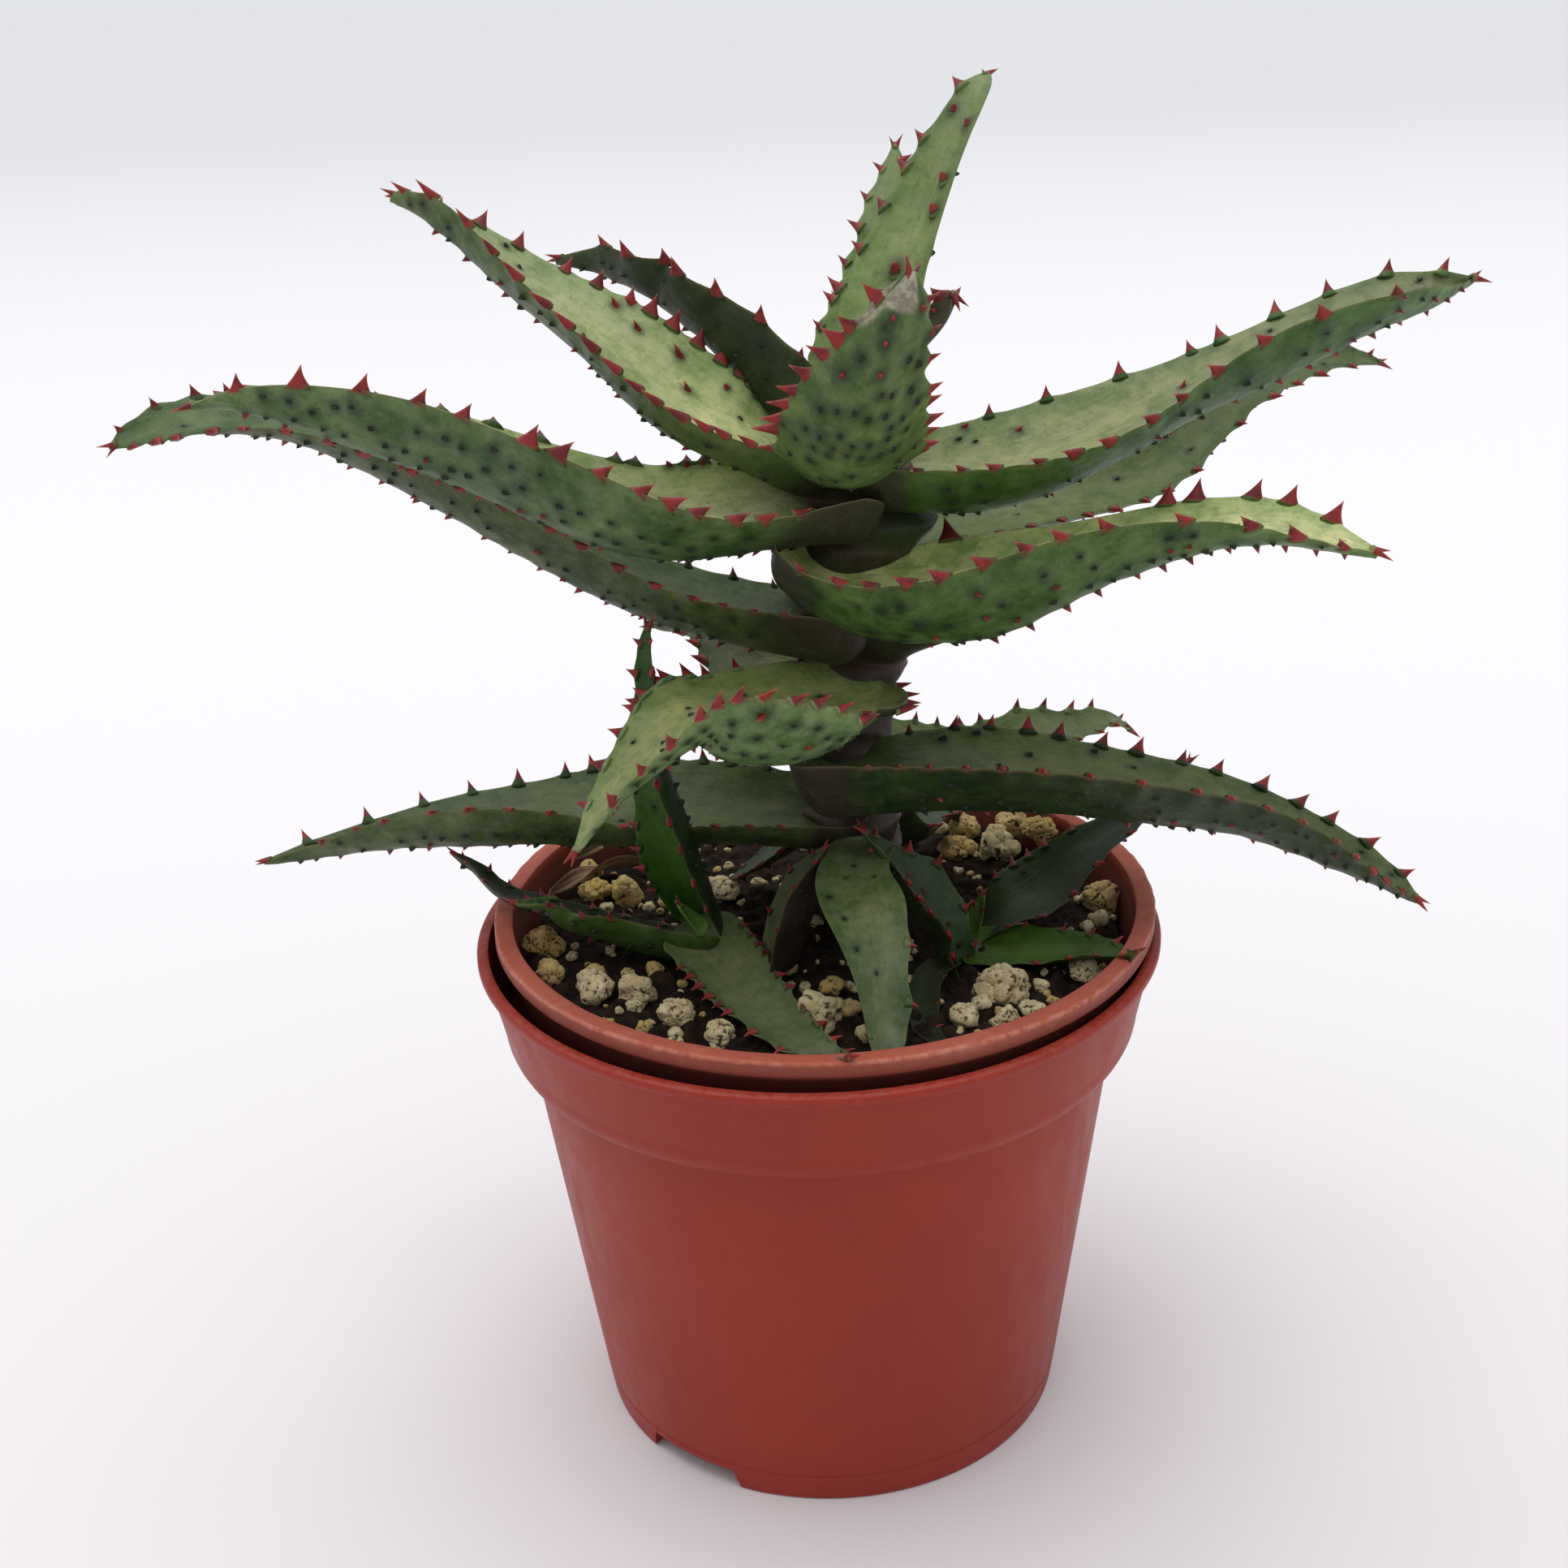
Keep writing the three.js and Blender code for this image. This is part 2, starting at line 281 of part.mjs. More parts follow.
// A run of sections skinned into one closed body.
function skin(run) {
  const m = run[0].all.length;
  const across = run[0].top.length - 1;
  const pos = [];
  for (const r of run) for (const p of r.all) pos.push(p.x, p.y, p.z);
  const idx = [];
  for (let i = 0; i + 1 < run.length; i++)
    for (let j = 0; j < m; j++) {
      const n = (j + 1) % m;
      idx.push(i * m + j, i * m + n, (i + 1) * m + n, i * m + j, (i + 1) * m + n, (i + 1) * m + j);
    }
  const blunt = m > 2 * across;
  const under = (i) => (blunt ? 2 * across + 1 - i : i <= 0 ? 0 : i >= across ? across : 2 * across - i); // lower point below upper point i
  const end = (run.length - 1) * m;
  for (let i = 0; i < across; i++) {
    const quad = [i, i + 1, under(i + 1), under(i)];
    for (const [p, q, r] of [
      [quad[0], quad[2], quad[1]],
      [quad[0], quad[3], quad[2]],
    ]) {
      if (p === q || q === r || r === p) continue;
      idx.push(p, q, r);
      idx.push(end + p, end + r, end + q);
    }
  }
  const make = (order) => {
    const g = new THREE.BufferGeometry();
    g.setAttribute("position", new THREE.BufferAttribute(new Float32Array(pos), 3));
    g.setIndex(order);
    return solid(g);
  };
  const s = make(idx);
  if (s.volume() > 0) return s;
  for (let i = 0; i < idx.length; i += 3) [idx[i + 1], idx[i + 2]] = [idx[i + 2], idx[i + 1]];
  return make(idx);
}
// True where two neighbouring sections cross, seen from the wedges between their middles and rims.
const folded = (a, b) => {
  const T = a.f.T.clone().add(b.f.T).normalize();
  const step = b.f.C.clone().sub(a.f.C).length();
  const least = Math.max(0.05, 0.12 * step);
  return a.all.some((p, j) => b.all[j].clone().sub(p).dot(T) < least || b.all[j].clone().sub(p).dot(a.f.T) < 0.02 || b.all[j].clone().sub(p).dot(b.f.T) < 0.02);
};
// A leaf and its copy grown by the clearance, skinned over its sections. Where a tight bend makes two
// sections cross, the slice between them is the hull of both, lapped a little over its neighbours.
function leafPair(rows, count, across, facing) {
  const slim = leafRings(rows, count, across, 0, facing);
  const wide = leafRings(rows, count, across, GAP, facing);
  const parts = [[], []];
  const bend = slim.slice(1).map((r, i) => folded(slim[i], r) || folded(wide[i], wide[i + 1]));
  [slim, wide].forEach((set, n) => {
    let run = [set[0]];
    bend.forEach((hulled, i) => {
      if (hulled) {
        if (run.length > 1) parts[n].push(skin(run));
        run = [set[i + 1]];
        const lap = (r, d) => r.all.map((p) => p.clone().addScaledVector(r.f.T, d));
        const pts = [...set[i].all, ...set[i + 1].all, ...lap(set[i], i === 0 ? 0 : -0.1), ...lap(set[i + 1], 0.1)];
        parts[n].push(wasm.Manifold.hull(pts.map((p) => [p.x, p.y, p.z])));
      } else run.push(set[i + 1]);
    });
    if (run.length > 1) parts[n].push(skin(run));
  });
  const [body, room] = parts.map((list) => wasm.Manifold.union(list));
  const spare = []; // slivers of the leaf that its grown copy misses, with clearance of their own
  for (const left of body.subtract(room).decompose()) {
    const m = left.getMesh();
    const pts = [];
    for (let i = 0; i < m.numVert; i++) {
      const [x, y, z] = m.vertProperties.subarray(i * m.numProp, i * m.numProp + 3);
      for (const d of [-GAP, GAP]) pts.push([x + d, y, z], [x, y + d, z], [x, y, z + d]);
    }
    if (Math.abs(left.volume()) > 1e-5 && left.surfaceArea() < 60) spare.push(wasm.Manifold.hull(pts));
  }
  return [body, spare.length ? room.add(wasm.Manifold.union(spare)) : room];
}
// A round bar along a list of x, y, z, radius rows.
function bar(rows, seg = 14, fat = 0) {
  const n = rows.length;
  const pos = [];
  const idx = [];
  rows.forEach(([x, y, z, r], i) => {
    const zz = z + (i === 0 ? -fat : i === n - 1 ? fat : 0);
    for (let j = 0; j < seg; j++) {
      const a = (2 * Math.PI * j) / seg;
      pos.push(x + (r + fat) * Math.cos(a), y + (r + fat) * Math.sin(a), zz);
    }
  });
  for (let i = 0; i < n - 1; i++)
    for (let j = 0; j < seg; j++) {
      const a = i * seg + j;
      const b = i * seg + ((j + 1) % seg);
      idx.push(a, b, b + seg, a, b + seg, a + seg);
    }
  const lo = pos.length / 3;
  pos.push(rows[0][0], rows[0][1], rows[0][2] - fat);
  const hi = lo + 1;
  pos.push(rows[n - 1][0], rows[n - 1][1], rows[n - 1][2] + fat + 0.8);
  for (let j = 0; j < seg; j++) {
    idx.push(lo, (j + 1) % seg, j);
    idx.push(hi, (n - 1) * seg + j, (n - 1) * seg + ((j + 1) % seg));
  }
  const g = new THREE.BufferGeometry();
  g.setAttribute("position", new THREE.BufferAttribute(new Float32Array(pos), 3));
  g.setIndex(idx);
  return solid(g);
}
// A lumpy grain: a subdivided icosahedron pushed in and out by a few waves.
function grain([x, y, z, r, seed], fat = 0) {
  const g = new THREE.IcosahedronGeometry(1, 1);
  const p = g.getAttribute("position");
  const v = new THREE.Vector3();
  for (let i = 0; i < p.count; i++) {
    v.fromBufferAttribute(p, i).normalize();
    const bump =
      0.1 * Math.sin(3.1 * v.x + seed) + 0.09 * Math.sin(3.7 * v.y + 1.7 * seed) + 0.07 * Math.sin(4.3 * v.z + 2.3 * seed);
    v.multiplyScalar(r * (1 + bump) + fat);
    v.z *= 0.86;
    p.setXYZ(i, x + v.x, y + v.y, z + v.z);
  }
  return solid(g);
}
function stripPair(points, half) {
  const rows = points.map((q, i) => [...q, half * (i === 0 || i === points.length - 1 ? 0.55 : 1), 1.1, 0]);
  return leafPair(rows, 7, 4);
}

// ---------- outer pot ----------
const wallR = (z) => BASE_R + ((STEP_R - STEP_IN - BASE_R) * z) / STEP_Z;
const shoulder = (k) => {
  const a = (k * Math.PI) / 8;
  return [STEP_R + (COLLAR_LOW_R - STEP_R) * Math.sin(a), COLLAR_LOW_Z - (COLLAR_LOW_Z - STEP_Z) * Math.cos(a)];
};
const outside = [
  [wallR(0) - 0.5, 0],
  [wallR(0) - 0.12, 0.15],
  [wallR(0), 0.6],
  [wallR(FOOT_H - 0.25), FOOT_H - 0.25],
  [wallR(FOOT_H) - 0.22, FOOT_H],
  [wallR(FOOT_H + 0.25), FOOT_H + 0.25],
  [wallR(STEP_Z - 0.3), STEP_Z - 0.3],
  [STEP_R - 0.25, STEP_Z - 0.2],
  shoulder(0),
  shoulder(1),
  shoulder(2),
  shoulder(3),
  [COLLAR_LOW_R, COLLAR_LOW_Z],
  [COLLAR_TOP_R, POT_HEIGHT - LIP_DROP - 0.3],
  [LIP_R - 0.2, POT_HEIGHT - LIP_DROP],
  [LIP_R, POT_HEIGHT - LIP_DROP + 0.35],
  [LIP_R - 0.1, POT_HEIGHT - 0.3],
  [LIP_R - 0.5, POT_HEIGHT],
  [LIP_R - LIP_WIDTH + 0.3, POT_HEIGHT],
  [LIP_R - LIP_WIDTH, POT_HEIGHT - 0.3],
];
const COLLAR_IN_LOW_R = COLLAR_LOW_R - WALL;
const inside = [
  [COLLAR_IN_LOW_R, COLLAR_LOW_Z],
  [STEP_R - WALL + 0.4, STEP_Z + 1.5],
  [wallR(STEP_Z) - WALL, STEP_Z + 0.9],
  [wallR(FLOOR_Z + FLOOR_T + 1.2) - WALL, FLOOR_Z + FLOOR_T + 1.2],
  [wallR(FLOOR_Z + FLOOR_T) - WALL - 1.2, FLOOR_Z + FLOOR_T],
  [0, FLOOR_Z + FLOOR_T],
];
const underside = [
  [0, FLOOR_Z],
  [wallR(FLOOR_Z) - WALL - 1.1, FLOOR_Z],
  [wallR(0) - 2.4, 0.2],
  [wallR(0) - 2.2, 0],
];
let outerPot = lathe([...underside, ...outside, ...inside]);
for (const az of NOTCH_AZ)
  outerPot = outerPot.subtract(box(9, NOTCH_W, NOTCH_H, BASE_R - 1.5, 0, NOTCH_H / 2 - 0.01, (az * Math.PI) / 180));
function drill(pot, cx, cy, z) {
  for (let i = 0; i < HOLES; i++) {
    const a = ((i + 0.5) * 2 * Math.PI) / HOLES;
    pot = pot.subtract(rod(HOLE_R, 6, cx + HOLE_RING_R * Math.cos(a), cy + HOLE_RING_R * Math.sin(a), z, 12));
  }
  return pot.subtract(rod(HOLE_R, 6, cx, cy, z, 12));
}
outerPot = drill(outerPot, 0, 0, FLOOR_Z + FLOOR_T / 2);

// ---------- inner pot, nested and standing a little proud of the outer lip ----------
const LEAN = Math.hypot(INNER_X, INNER_Y); // sideways shift eats into the clearance
const innerBody = (z) => wallR(z) - WALL - GAP - LEAN;
const IN_STEP_Z = STEP_Z + 4.2;
const IN_FLOOR = FLOOR_Z + FLOOR_T + GAP; // the inner pot's foot stands here
const innerOut = [
  [innerBody(IN_FLOOR) - 2.0, IN_FLOOR],
  [innerBody(IN_FLOOR) - 1.0, IN_FLOOR + 0.4],
  [innerBody(IN_FLOOR + 2), IN_FLOOR + 2],
  [innerBody(STEP_Z), STEP_Z],
  [innerBody(STEP_Z) + 0.5, IN_STEP_Z],
  [COLLAR_IN_LOW_R - GAP - LEAN + 0.1, IN_STEP_Z + 3.2],
  [49.0, POT_HEIGHT],
  [49.2, INNER_TOP - INNER_RIM_H],
  [INNER_RIM_R, INNER_TOP - INNER_RIM_H + 0.3],
  [INNER_RIM_R, INNER_TOP - 0.4],
  [INNER_RIM_R - 0.4, INNER_TOP],
  [INNER_RIM_IN + 0.4, INNER_TOP],
  [INNER_RIM_IN, INNER_TOP - 0.4],
  [INNER_RIM_IN + 0.1, INNER_TOP - INNER_RIM_H],
];
const innerWallIn = (z) => innerBody(z) - WALL;
const innerIn = [
  [COLLAR_IN_LOW_R - GAP - LEAN - 1.0, IN_STEP_Z + 3.4],
  [innerWallIn(STEP_Z) + 0.3, IN_STEP_Z + 0.6],
  [innerWallIn(STEP_Z), STEP_Z],
  [innerWallIn(IN_FLOOR + 5), IN_FLOOR + 5],
  [0, IN_FLOOR + 4.0],
];
const innerUnder = [
  [0, IN_FLOOR + 2.7],
  [innerBody(IN_FLOOR) - 4.4, IN_FLOOR + 2.7],
  [innerBody(IN_FLOOR) - 3.6, IN_FLOOR],
];
let innerPot = lathe([...innerUnder, ...innerOut, ...innerIn]).translate([INNER_X, INNER_Y, 0]);
innerPot = drill(innerPot, INNER_X, INNER_Y, IN_FLOOR + 3.3);

// ---------- plant ----------
const pieces = new Map();
const cutters = [];
const add = (name, s, fatBody) => {
  for (const c of cutters) s = s.subtract(c);
  pieces.set(name, largest(s));
  cutters.push(fatBody);
};
add("stem", bar(STEM), bar(STEM, 14, GAP));
for (const [name, [x, y, z0, z1, r]] of Object.entries(PUP_STEMS)) {
  const rows = [[x, y, z0, r * 0.8], [x, y, (z0 + z1) / 2, r], [x, y, z1, r * 0.75]];
  add(name, bar(rows, 10), bar(rows, 10, GAP));
}
const inner = ["pup_a_leaf_6", "pup_b_leaf_5"]; // the young centres first: the outer leaves wrap them
for (const name of [...inner, ...Object.keys(LEAVES).filter((n) => !inner.includes(n))]) {
  const small = name.startsWith("pup");
  add(name, ...leafPair(LEAVES[name], small ? 8 : 12, 4, FACING[name]));
}
for (const [name, [points, half]] of Object.entries(STRIPS)) add(name, ...stripPair(points, half));
STONES.forEach((st, i) => {
  add("pumice_" + String(i + 1).padStart(2, "0"), grain(st), grain(st, GAP));
});

// ---------- soil: a plug that fills the inner pot, hollowed for whatever stands in it ----------
const soilR = (z) => (z > IN_STEP_Z + 3.4 ? COLLAR_IN_LOW_R - GAP - LEAN - 1.0 + (z - IN_STEP_Z - 3.4) * 0.02 : innerWallIn(Math.min(z, STEP_Z))) - GAP;
let soil = lathe(
  [
    [0, IN_FLOOR + 4.0 + GAP],
    [innerWallIn(IN_FLOOR + 5) - GAP - 0.6, IN_FLOOR + 5.6],
    [soilR(STEP_Z - 0.3), STEP_Z - 0.3],
    [soilR(STEP_Z - 0.3), IN_STEP_Z + 0.2],
    [soilR(IN_STEP_Z + 3.5), IN_STEP_Z + 3.6],
    [soilR(SOIL_TOP), SOIL_TOP - 0.9],
    [soilR(SOIL_TOP) - 2.2, SOIL_TOP - 0.1],
    [soilR(SOIL_TOP) - 9, SOIL_TOP + 0.4],
    [20, SOIL_TOP],
    [10, SOIL_TOP + 0.9],
    [0, SOIL_TOP + 1.1],
  ],
  40,
).translate([INNER_X, INNER_Y, 0]);
for (const c of cutters) soil = soil.subtract(c);
soil = tidy(largest(soil));

// ---------- trim whatever meets the pots ----------
const ringOf = (profile) => lathe([...profile, profile[0]]);
const WALL_IN_LOW = COLLAR_IN_LOW_R - GAP - LEAN - 1.0;
const rimCutter = ringOf([
  [WALL_IN_LOW - GAP, IN_STEP_Z + 3.0],
  [LIP_R - LIP_WIDTH - LEAN - 0.1, IN_STEP_Z + 3.0],
  [LIP_R - LIP_WIDTH - LEAN - 0.1, POT_HEIGHT],
  [INNER_RIM_R + GAP, POT_HEIGHT],
  [INNER_RIM_R + GAP, INNER_TOP + GAP],
  [INNER_RIM_IN - GAP, INNER_TOP + GAP],
  [INNER_RIM_IN + 0.1 - GAP, INNER_TOP - INNER_RIM_H],
])
  .translate([INNER_X, INNER_Y, 0])
  .add(
    ringOf([
      [INNER_RIM_R - 1, COLLAR_LOW_Z],
      [LIP_R + 2 * GAP, COLLAR_LOW_Z],
      [LIP_R + 2 * GAP, POT_HEIGHT + GAP],
      [INNER_RIM_R - 1, POT_HEIGHT + GAP],
    ]),
  );
for (const [name, s] of pieces) {
  if (name === "stem") continue;
  pieces.set(name, tidy(largest(s.subtract(rimCutter))));
}

const group = new THREE.Group();
group.add(meshOf("outer_pot", outerPot));
group.add(meshOf("inner_pot", innerPot));
group.add(meshOf("soil", soil));
for (const [name, s] of pieces) group.add(meshOf(name, s));

// The part's origin is the middle of its bounding box in plan, on the table.
const bounds = new THREE.Box3().setFromObject(group);
group.position.set(-(bounds.min.x + bounds.max.x) / 2, -(bounds.min.y + bounds.max.y) / 2, -bounds.min.z);
const root = new THREE.Group();
root.add(group);
export default root;
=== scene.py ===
"""Looks for the potted aloe hybrid: leaves with their spines and warts, sheathed stems, soil,
pumice, dry strips and the two nursery pots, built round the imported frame. Lengths below are in
millimetres with the pots' axis at x = y = 0, and become metres in the row frame on the way out."""

import math

import bpy
import bmesh
import numpy as np
from mathutils import Matrix, Vector


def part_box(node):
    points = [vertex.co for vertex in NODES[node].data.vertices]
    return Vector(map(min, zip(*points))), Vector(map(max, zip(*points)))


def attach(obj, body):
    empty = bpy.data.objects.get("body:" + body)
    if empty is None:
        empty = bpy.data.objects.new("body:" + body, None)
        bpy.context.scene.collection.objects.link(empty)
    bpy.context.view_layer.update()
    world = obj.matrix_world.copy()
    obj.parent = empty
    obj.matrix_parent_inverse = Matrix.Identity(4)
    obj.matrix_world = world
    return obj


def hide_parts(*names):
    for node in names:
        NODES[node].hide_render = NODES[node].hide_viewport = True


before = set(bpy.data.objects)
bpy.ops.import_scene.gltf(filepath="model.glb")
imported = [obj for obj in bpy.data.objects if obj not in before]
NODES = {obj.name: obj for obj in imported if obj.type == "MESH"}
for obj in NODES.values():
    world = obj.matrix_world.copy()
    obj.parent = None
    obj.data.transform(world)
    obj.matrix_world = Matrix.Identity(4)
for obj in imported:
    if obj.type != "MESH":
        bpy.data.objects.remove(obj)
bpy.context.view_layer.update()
lo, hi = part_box("outer_pot")
SHIFT = np.array([(lo.x + hi.x) / 2, (lo.y + hi.y) / 2, lo.z])

# ------------------------------------------------------------------ tables
# Leaves: seven stations from base to tip: x, y, z, half width, keel depth, roll in degrees.
LEAVES = {
    "leaf_01": [[8.35552, 7.6, 165.117, 8.1, 4.5, 18], [10.7512, 10.7, 170.776, 7.2, 4.2, 14.5], [13.0911, 14.1, 176.64, 6.25, 3.7, 10.2], [17.0077, 17.9, 184.814, 5.7, 3.2, 6.5], [21.7841, 21.7, 193.7, 4.5, 2.4, 5.2], [26.5132, 25.8, 200.671, 2.8, 1.42, 3.4], [28.6909, 30, 202.482, 0.31, 0.28, 0.7]],
    "leaf_02": [[7.32, 14.01, 169.93, 4.01, 2.03, -0.21], [9.31, 16.65, 173.85, 3.7, 1.85, -0.2], [10.44, 19.3, 177.85, 3.29, 1.64, -0.15], [11.83, 22.09, 181.52, 2.75, 1.37, -0.25], [12.8, 25.97, 185.19, 2.4, 1.04, -0.26], [14.6, 29.98, 188.9, 1.84, 0.63, -0.24], [15.41, 34, 192.87, 0.25, 0.2, -0.09]],
    "leaf_03": [[6.56899, -2, 154.17, 8.5, 4, 0], [6.37756, -12, 158.201, 10.1, 5.4, 0], [6.80137, -20, 163.338, 9.7, 5.7, 0], [8.41707, -26, 169.743, 8.2, 4.9, 0], [10.6095, -30, 175.426, 5.8, 3.7, 0], [12.7217, -31.5, 180.433, 3.8, 2.6, 0], [14.1965, -31, 184.813, 0.8, 0.6, 0]],
    "leaf_04": [[13, -2, 168.35, 3.75, 2.07, 0.09], [15.14, -3, 170.08, 3.37, 1.86, -0.21], [17.12, -3.98, 171.9, 2.96, 1.62, -0.52], [18.78, -4.94, 173.94, 2.46, 1.34, -0.83], [19.53, -6.06, 176.21, 1.84, 0.99, -1.08], [20.44, -7.07, 177.89, 1.07, 0.59, -1.24], [21.47, -7.95, 176.86, 0.25, 0.2, -1.33]],
    "leaf_05": [[1.35, -0.98, 155.83, 10.54, 7.18, -9.08], [-6.92, -3.22, 161.21, 10.67, 7.84, -7.25], [-15.47, -1.52, 166.21, 10.25, 8.41, -5.91], [-25.39, 1.97, 173.54, 8.94, 6.75, -5.81], [-37.01, 5.61, 181.27, 6.8, 5.01, 4.57], [-47.31, 8.96, 188.77, 3.99, 3.55, 21.31], [-56.18, 11.62, 190.81, 0.44, 1.14, 36.46]],
    "leaf_06": [[3.16, 8.11, 160.82, 8.13, 7.37, 41.58], [-4.55, 10.83, 168.18, 7.25, 6.43, 35.57], [-11.37, 12.93, 174.12, 6.44, 5.69, 31.61], [-17.18, 16.66, 177.3, 5.65, 4.9, 28.35], [-21.26, 17.65, 178.54, 4.71, 3.94, 28.24], [-26.61, 21.91, 179.72, 3.22, 3.43, 33.92], [-35.25, 23.77, 179.31, 0.34, 1.03, 32.99]],
    "leaf_07": [[7.17, -5.37, 148.81, 9, 5.76, 19.2], [-6.94, -6.8, 151.39, 11.5, 8.7, -5.05], [-20.24, -7.88, 153.59, 12.5, 10.83, 4.43], [-37.04, -7.65, 159.92, 11.37, 9.87, 13.82], [-54.39, -7.63, 166.13, 8.7, 8.34, 14.83], [-72.18, -10.54, 169.1, 4.74, 4.02, 14.3], [-82.01, -14.03, 167.47, 0.25, 0.2, 13.18]],
    "leaf_08": [[5.05, -4.27, 133.02, 10.92, 8.3, 10.66], [-18, -0.04, 136.93, 9.76, 7.2, 7.46], [-36.84, 2.04, 146.01, 8.43, 6.49, 10.94], [-55.58, 3.05, 155.53, 6.97, 5.09, 1.54], [-73.09, 3.54, 162.12, 5.32, 3.64, -10.92], [-89.02, 1.92, 162.29, 3.74, 1.96, -30.25], [-97.45, -0.4, 159.09, 0.3, 0.29, -50.28]],
    "leaf_09": [[10.114, -2.262, 154.877, 11.571, 8.119, -4.215], [28.504, -2.51, 156.447, 11.216, 9.404, 4.789], [46.978, -0.624, 161.395, 9.908, 6.884, 3.785], [65.146, 0.991, 169.859, 7.506, 6.905, -9.287], [81.94, 4.477, 174.446, 6.71, 5.415, -2.443], [89.107, 6.011, 174.862, 3.305, 4.066, 10.615], [96.405, 9.924, 174.2, -0.195, 2.541, 45.879]],
    "leaf_10": [[8.99, 12, 140.18, 8.29, 5.84, 9.77], [25.56, 17.58, 140.91, 7.61, 5.35, 15.79], [41.76, 22.98, 142.14, 6.84, 4.79, 21.94], [55.58, 28.84, 144.8, 5.88, 4.08, 28.5], [67.67, 33.97, 153.26, 4.49, 3.13, 33.65], [82.1, 38.98, 157.53, 3.01, 1.91, 39.58], [93.39, 43.97, 154.97, 0.32, 0.41, 43.49]],
    "leaf_11": [[0.22, -8.33, 142.59, 9.56, 6.25, -13.14], [7.26, -10.31, 140.71, 11.15, 9.01, -5.89], [21.77, -11.45, 142.77, 11.87, 12.45, -5.26], [39.04, -13.17, 146.75, 10.17, 8.76, -11.42], [55.38, -15.3, 148.9, 7.48, 5.67, -3.09], [67.02, -17.96, 147.5, 5, 3.34, 7.89], [77.06, -19.91, 143.52, 0.37, 1.18, 14.23]],
    "leaf_12": [[10.51, -11.88, 122.28, 7.68, 2.84, 7.39], [2.12, -12.7, 123.56, 11.96, 8.92, -3.93], [-7.12, -19.81, 126.8, 13.6, 10.48, 7.06], [-15.95, -24.58, 128.74, 11.51, 8.11, 10.3], [-22.76, -27.95, 123.4, 8.21, 5.32, 7.2], [-28.25, -30.53, 116.85, 4.21, 2.82, 7.74], [-32.79, -33.5, 108.78, 0.25, 0.2, 7.66]],
    "leaf_13": [[-0.96, 12, 116.57, 7.62, 4.61, -10.88], [-5.57, 14.66, 116.88, 6.97, 4.19, -10.9], [-9.87, 17.23, 117.69, 6.19, 3.69, -10.83], [-12.62, 20.16, 119.54, 5.16, 3.07, -10.39], [-15.82, 23.3, 121.29, 3.83, 2.26, -9.72], [-20.41, 26.64, 121.07, 2.21, 1.3, -9.34], [-25.48, 30, 119.89, 0.29, 0.24, -9.06]],
    "leaf_14": [[4.5, 0.16, 100.36, 9.82, 7.36, 2.82], [-12.01, 2.12, 101.75, 10.35, 7.97, -3.52], [-27.73, 3.9, 101.74, 10.46, 8.42, -4.68], [-42.12, 2.67, 102.4, 9.15, 7.63, 8.29], [-57.56, 1.4, 101.77, 7.06, 6.36, 14.45], [-72.07, 1.59, 97.87, 4.03, 3.59, 15.09], [-84.4, -0.24, 94.14, 0.36, 0.47, 7.88]],
    "leaf_15": [[2.38, -9.1, 112.35, 12.23, 9.31, -14.56], [25.26, -11.64, 113.82, 11.46, 9.36, -6.48], [46.07, -9.98, 109.48, 10.18, 8.28, -6.72], [63.82, -8.8, 104.15, 8.41, 6.77, -8.11], [76.84, -9.45, 97.23, 6.12, 5, -8.35], [84.28, -11.79, 91.83, 3.42, 2.79, -3.66], [88.63, -14.15, 88.05, 0.31, 0.68, 1.12]],
    "leaf_16": [[9.57, 12, 106.72, 6.58, 3.32, 17.96], [18.92, 17.33, 102.66, 5.99, 3, 19.36], [28.09, 22.68, 99.89, 5.3, 2.66, 20.95], [36.25, 28.04, 100.7, 4.54, 2.22, 23.21], [43.82, 33.27, 99.05, 3.34, 1.64, 24.04], [50.47, 38.74, 97.93, 1.83, 0.93, 24.06], [54.93, 43.94, 93.03, 0.27, 0.2, 24.37]],
    "leaf_17": [[7.42, 14, 95.09, 7.63, 4.61, -1.36], [10.37, 18, 92.41, 7.02, 4.32, -2.12], [13.26, 21.95, 87.72, 6.25, 4.01, -2.73], [16.04, 26.03, 85.47, 5.23, 3.36, -2.71], [18.99, 29.34, 85.6, 3.88, 2.34, -2.02], [22.13, 32.67, 84.33, 2.23, 1.28, -1.16], [25.17, 36, 82.52, 0.28, 0.2, -0.23]],
    "leaf_18": [[7.09, -10.03, 98.24, 4.99, 2.6, 2.55], [5.34, -17.72, 97.33, 5.59, 2.83, 3.08], [6.47, -25.03, 96.34, 6.23, 2.9, 3.11], [7.67, -30.34, 93.23, 5.17, 2.58, 1.09], [8.75, -35.48, 87.83, 3.8, 1.97, -0.45], [9.03, -40.76, 81.78, 2.53, 1.19, -1.13], [8.18, -46.01, 81.35, 0.36, 0.27, -1.16]],
    "leaf_19": [[-0.37, 8, 95.14, 6.46, 2.94, -12], [-2.59, 9.17, 92.85, 6.07, 2.74, -12], [-4.84, 10.33, 90.53, 5.55, 2.48, -12], [-7.11, 11.5, 88.19, 4.77, 2.12, -12], [-9.41, 12.67, 85.82, 3.63, 1.6, -12], [-11.74, 13.83, 83.44, 2.1, 0.93, -12], [-14.1, 15, 81.03, 0.29, 0.2, -12]],
    "pup_a_leaf_1": [[-18.47, -4.53, 82.92, 5.16, 4.75, -15.22], [-21.79, -9.62, 93.46, 5.88, 5.95, -16.7], [-23.2, -11.89, 103.14, 5.03, 5.27, -22.63], [-24.01, -13.96, 112.17, 3.56, 4.03, -27.7], [-23.16, -14.99, 120.61, 2.53, 2.63, -20.83], [-23.21, -13.81, 128.47, 1.56, 1.39, -10.75], [-22.18, -13.02, 134.92, 0.32, 0.24, 0.12]],
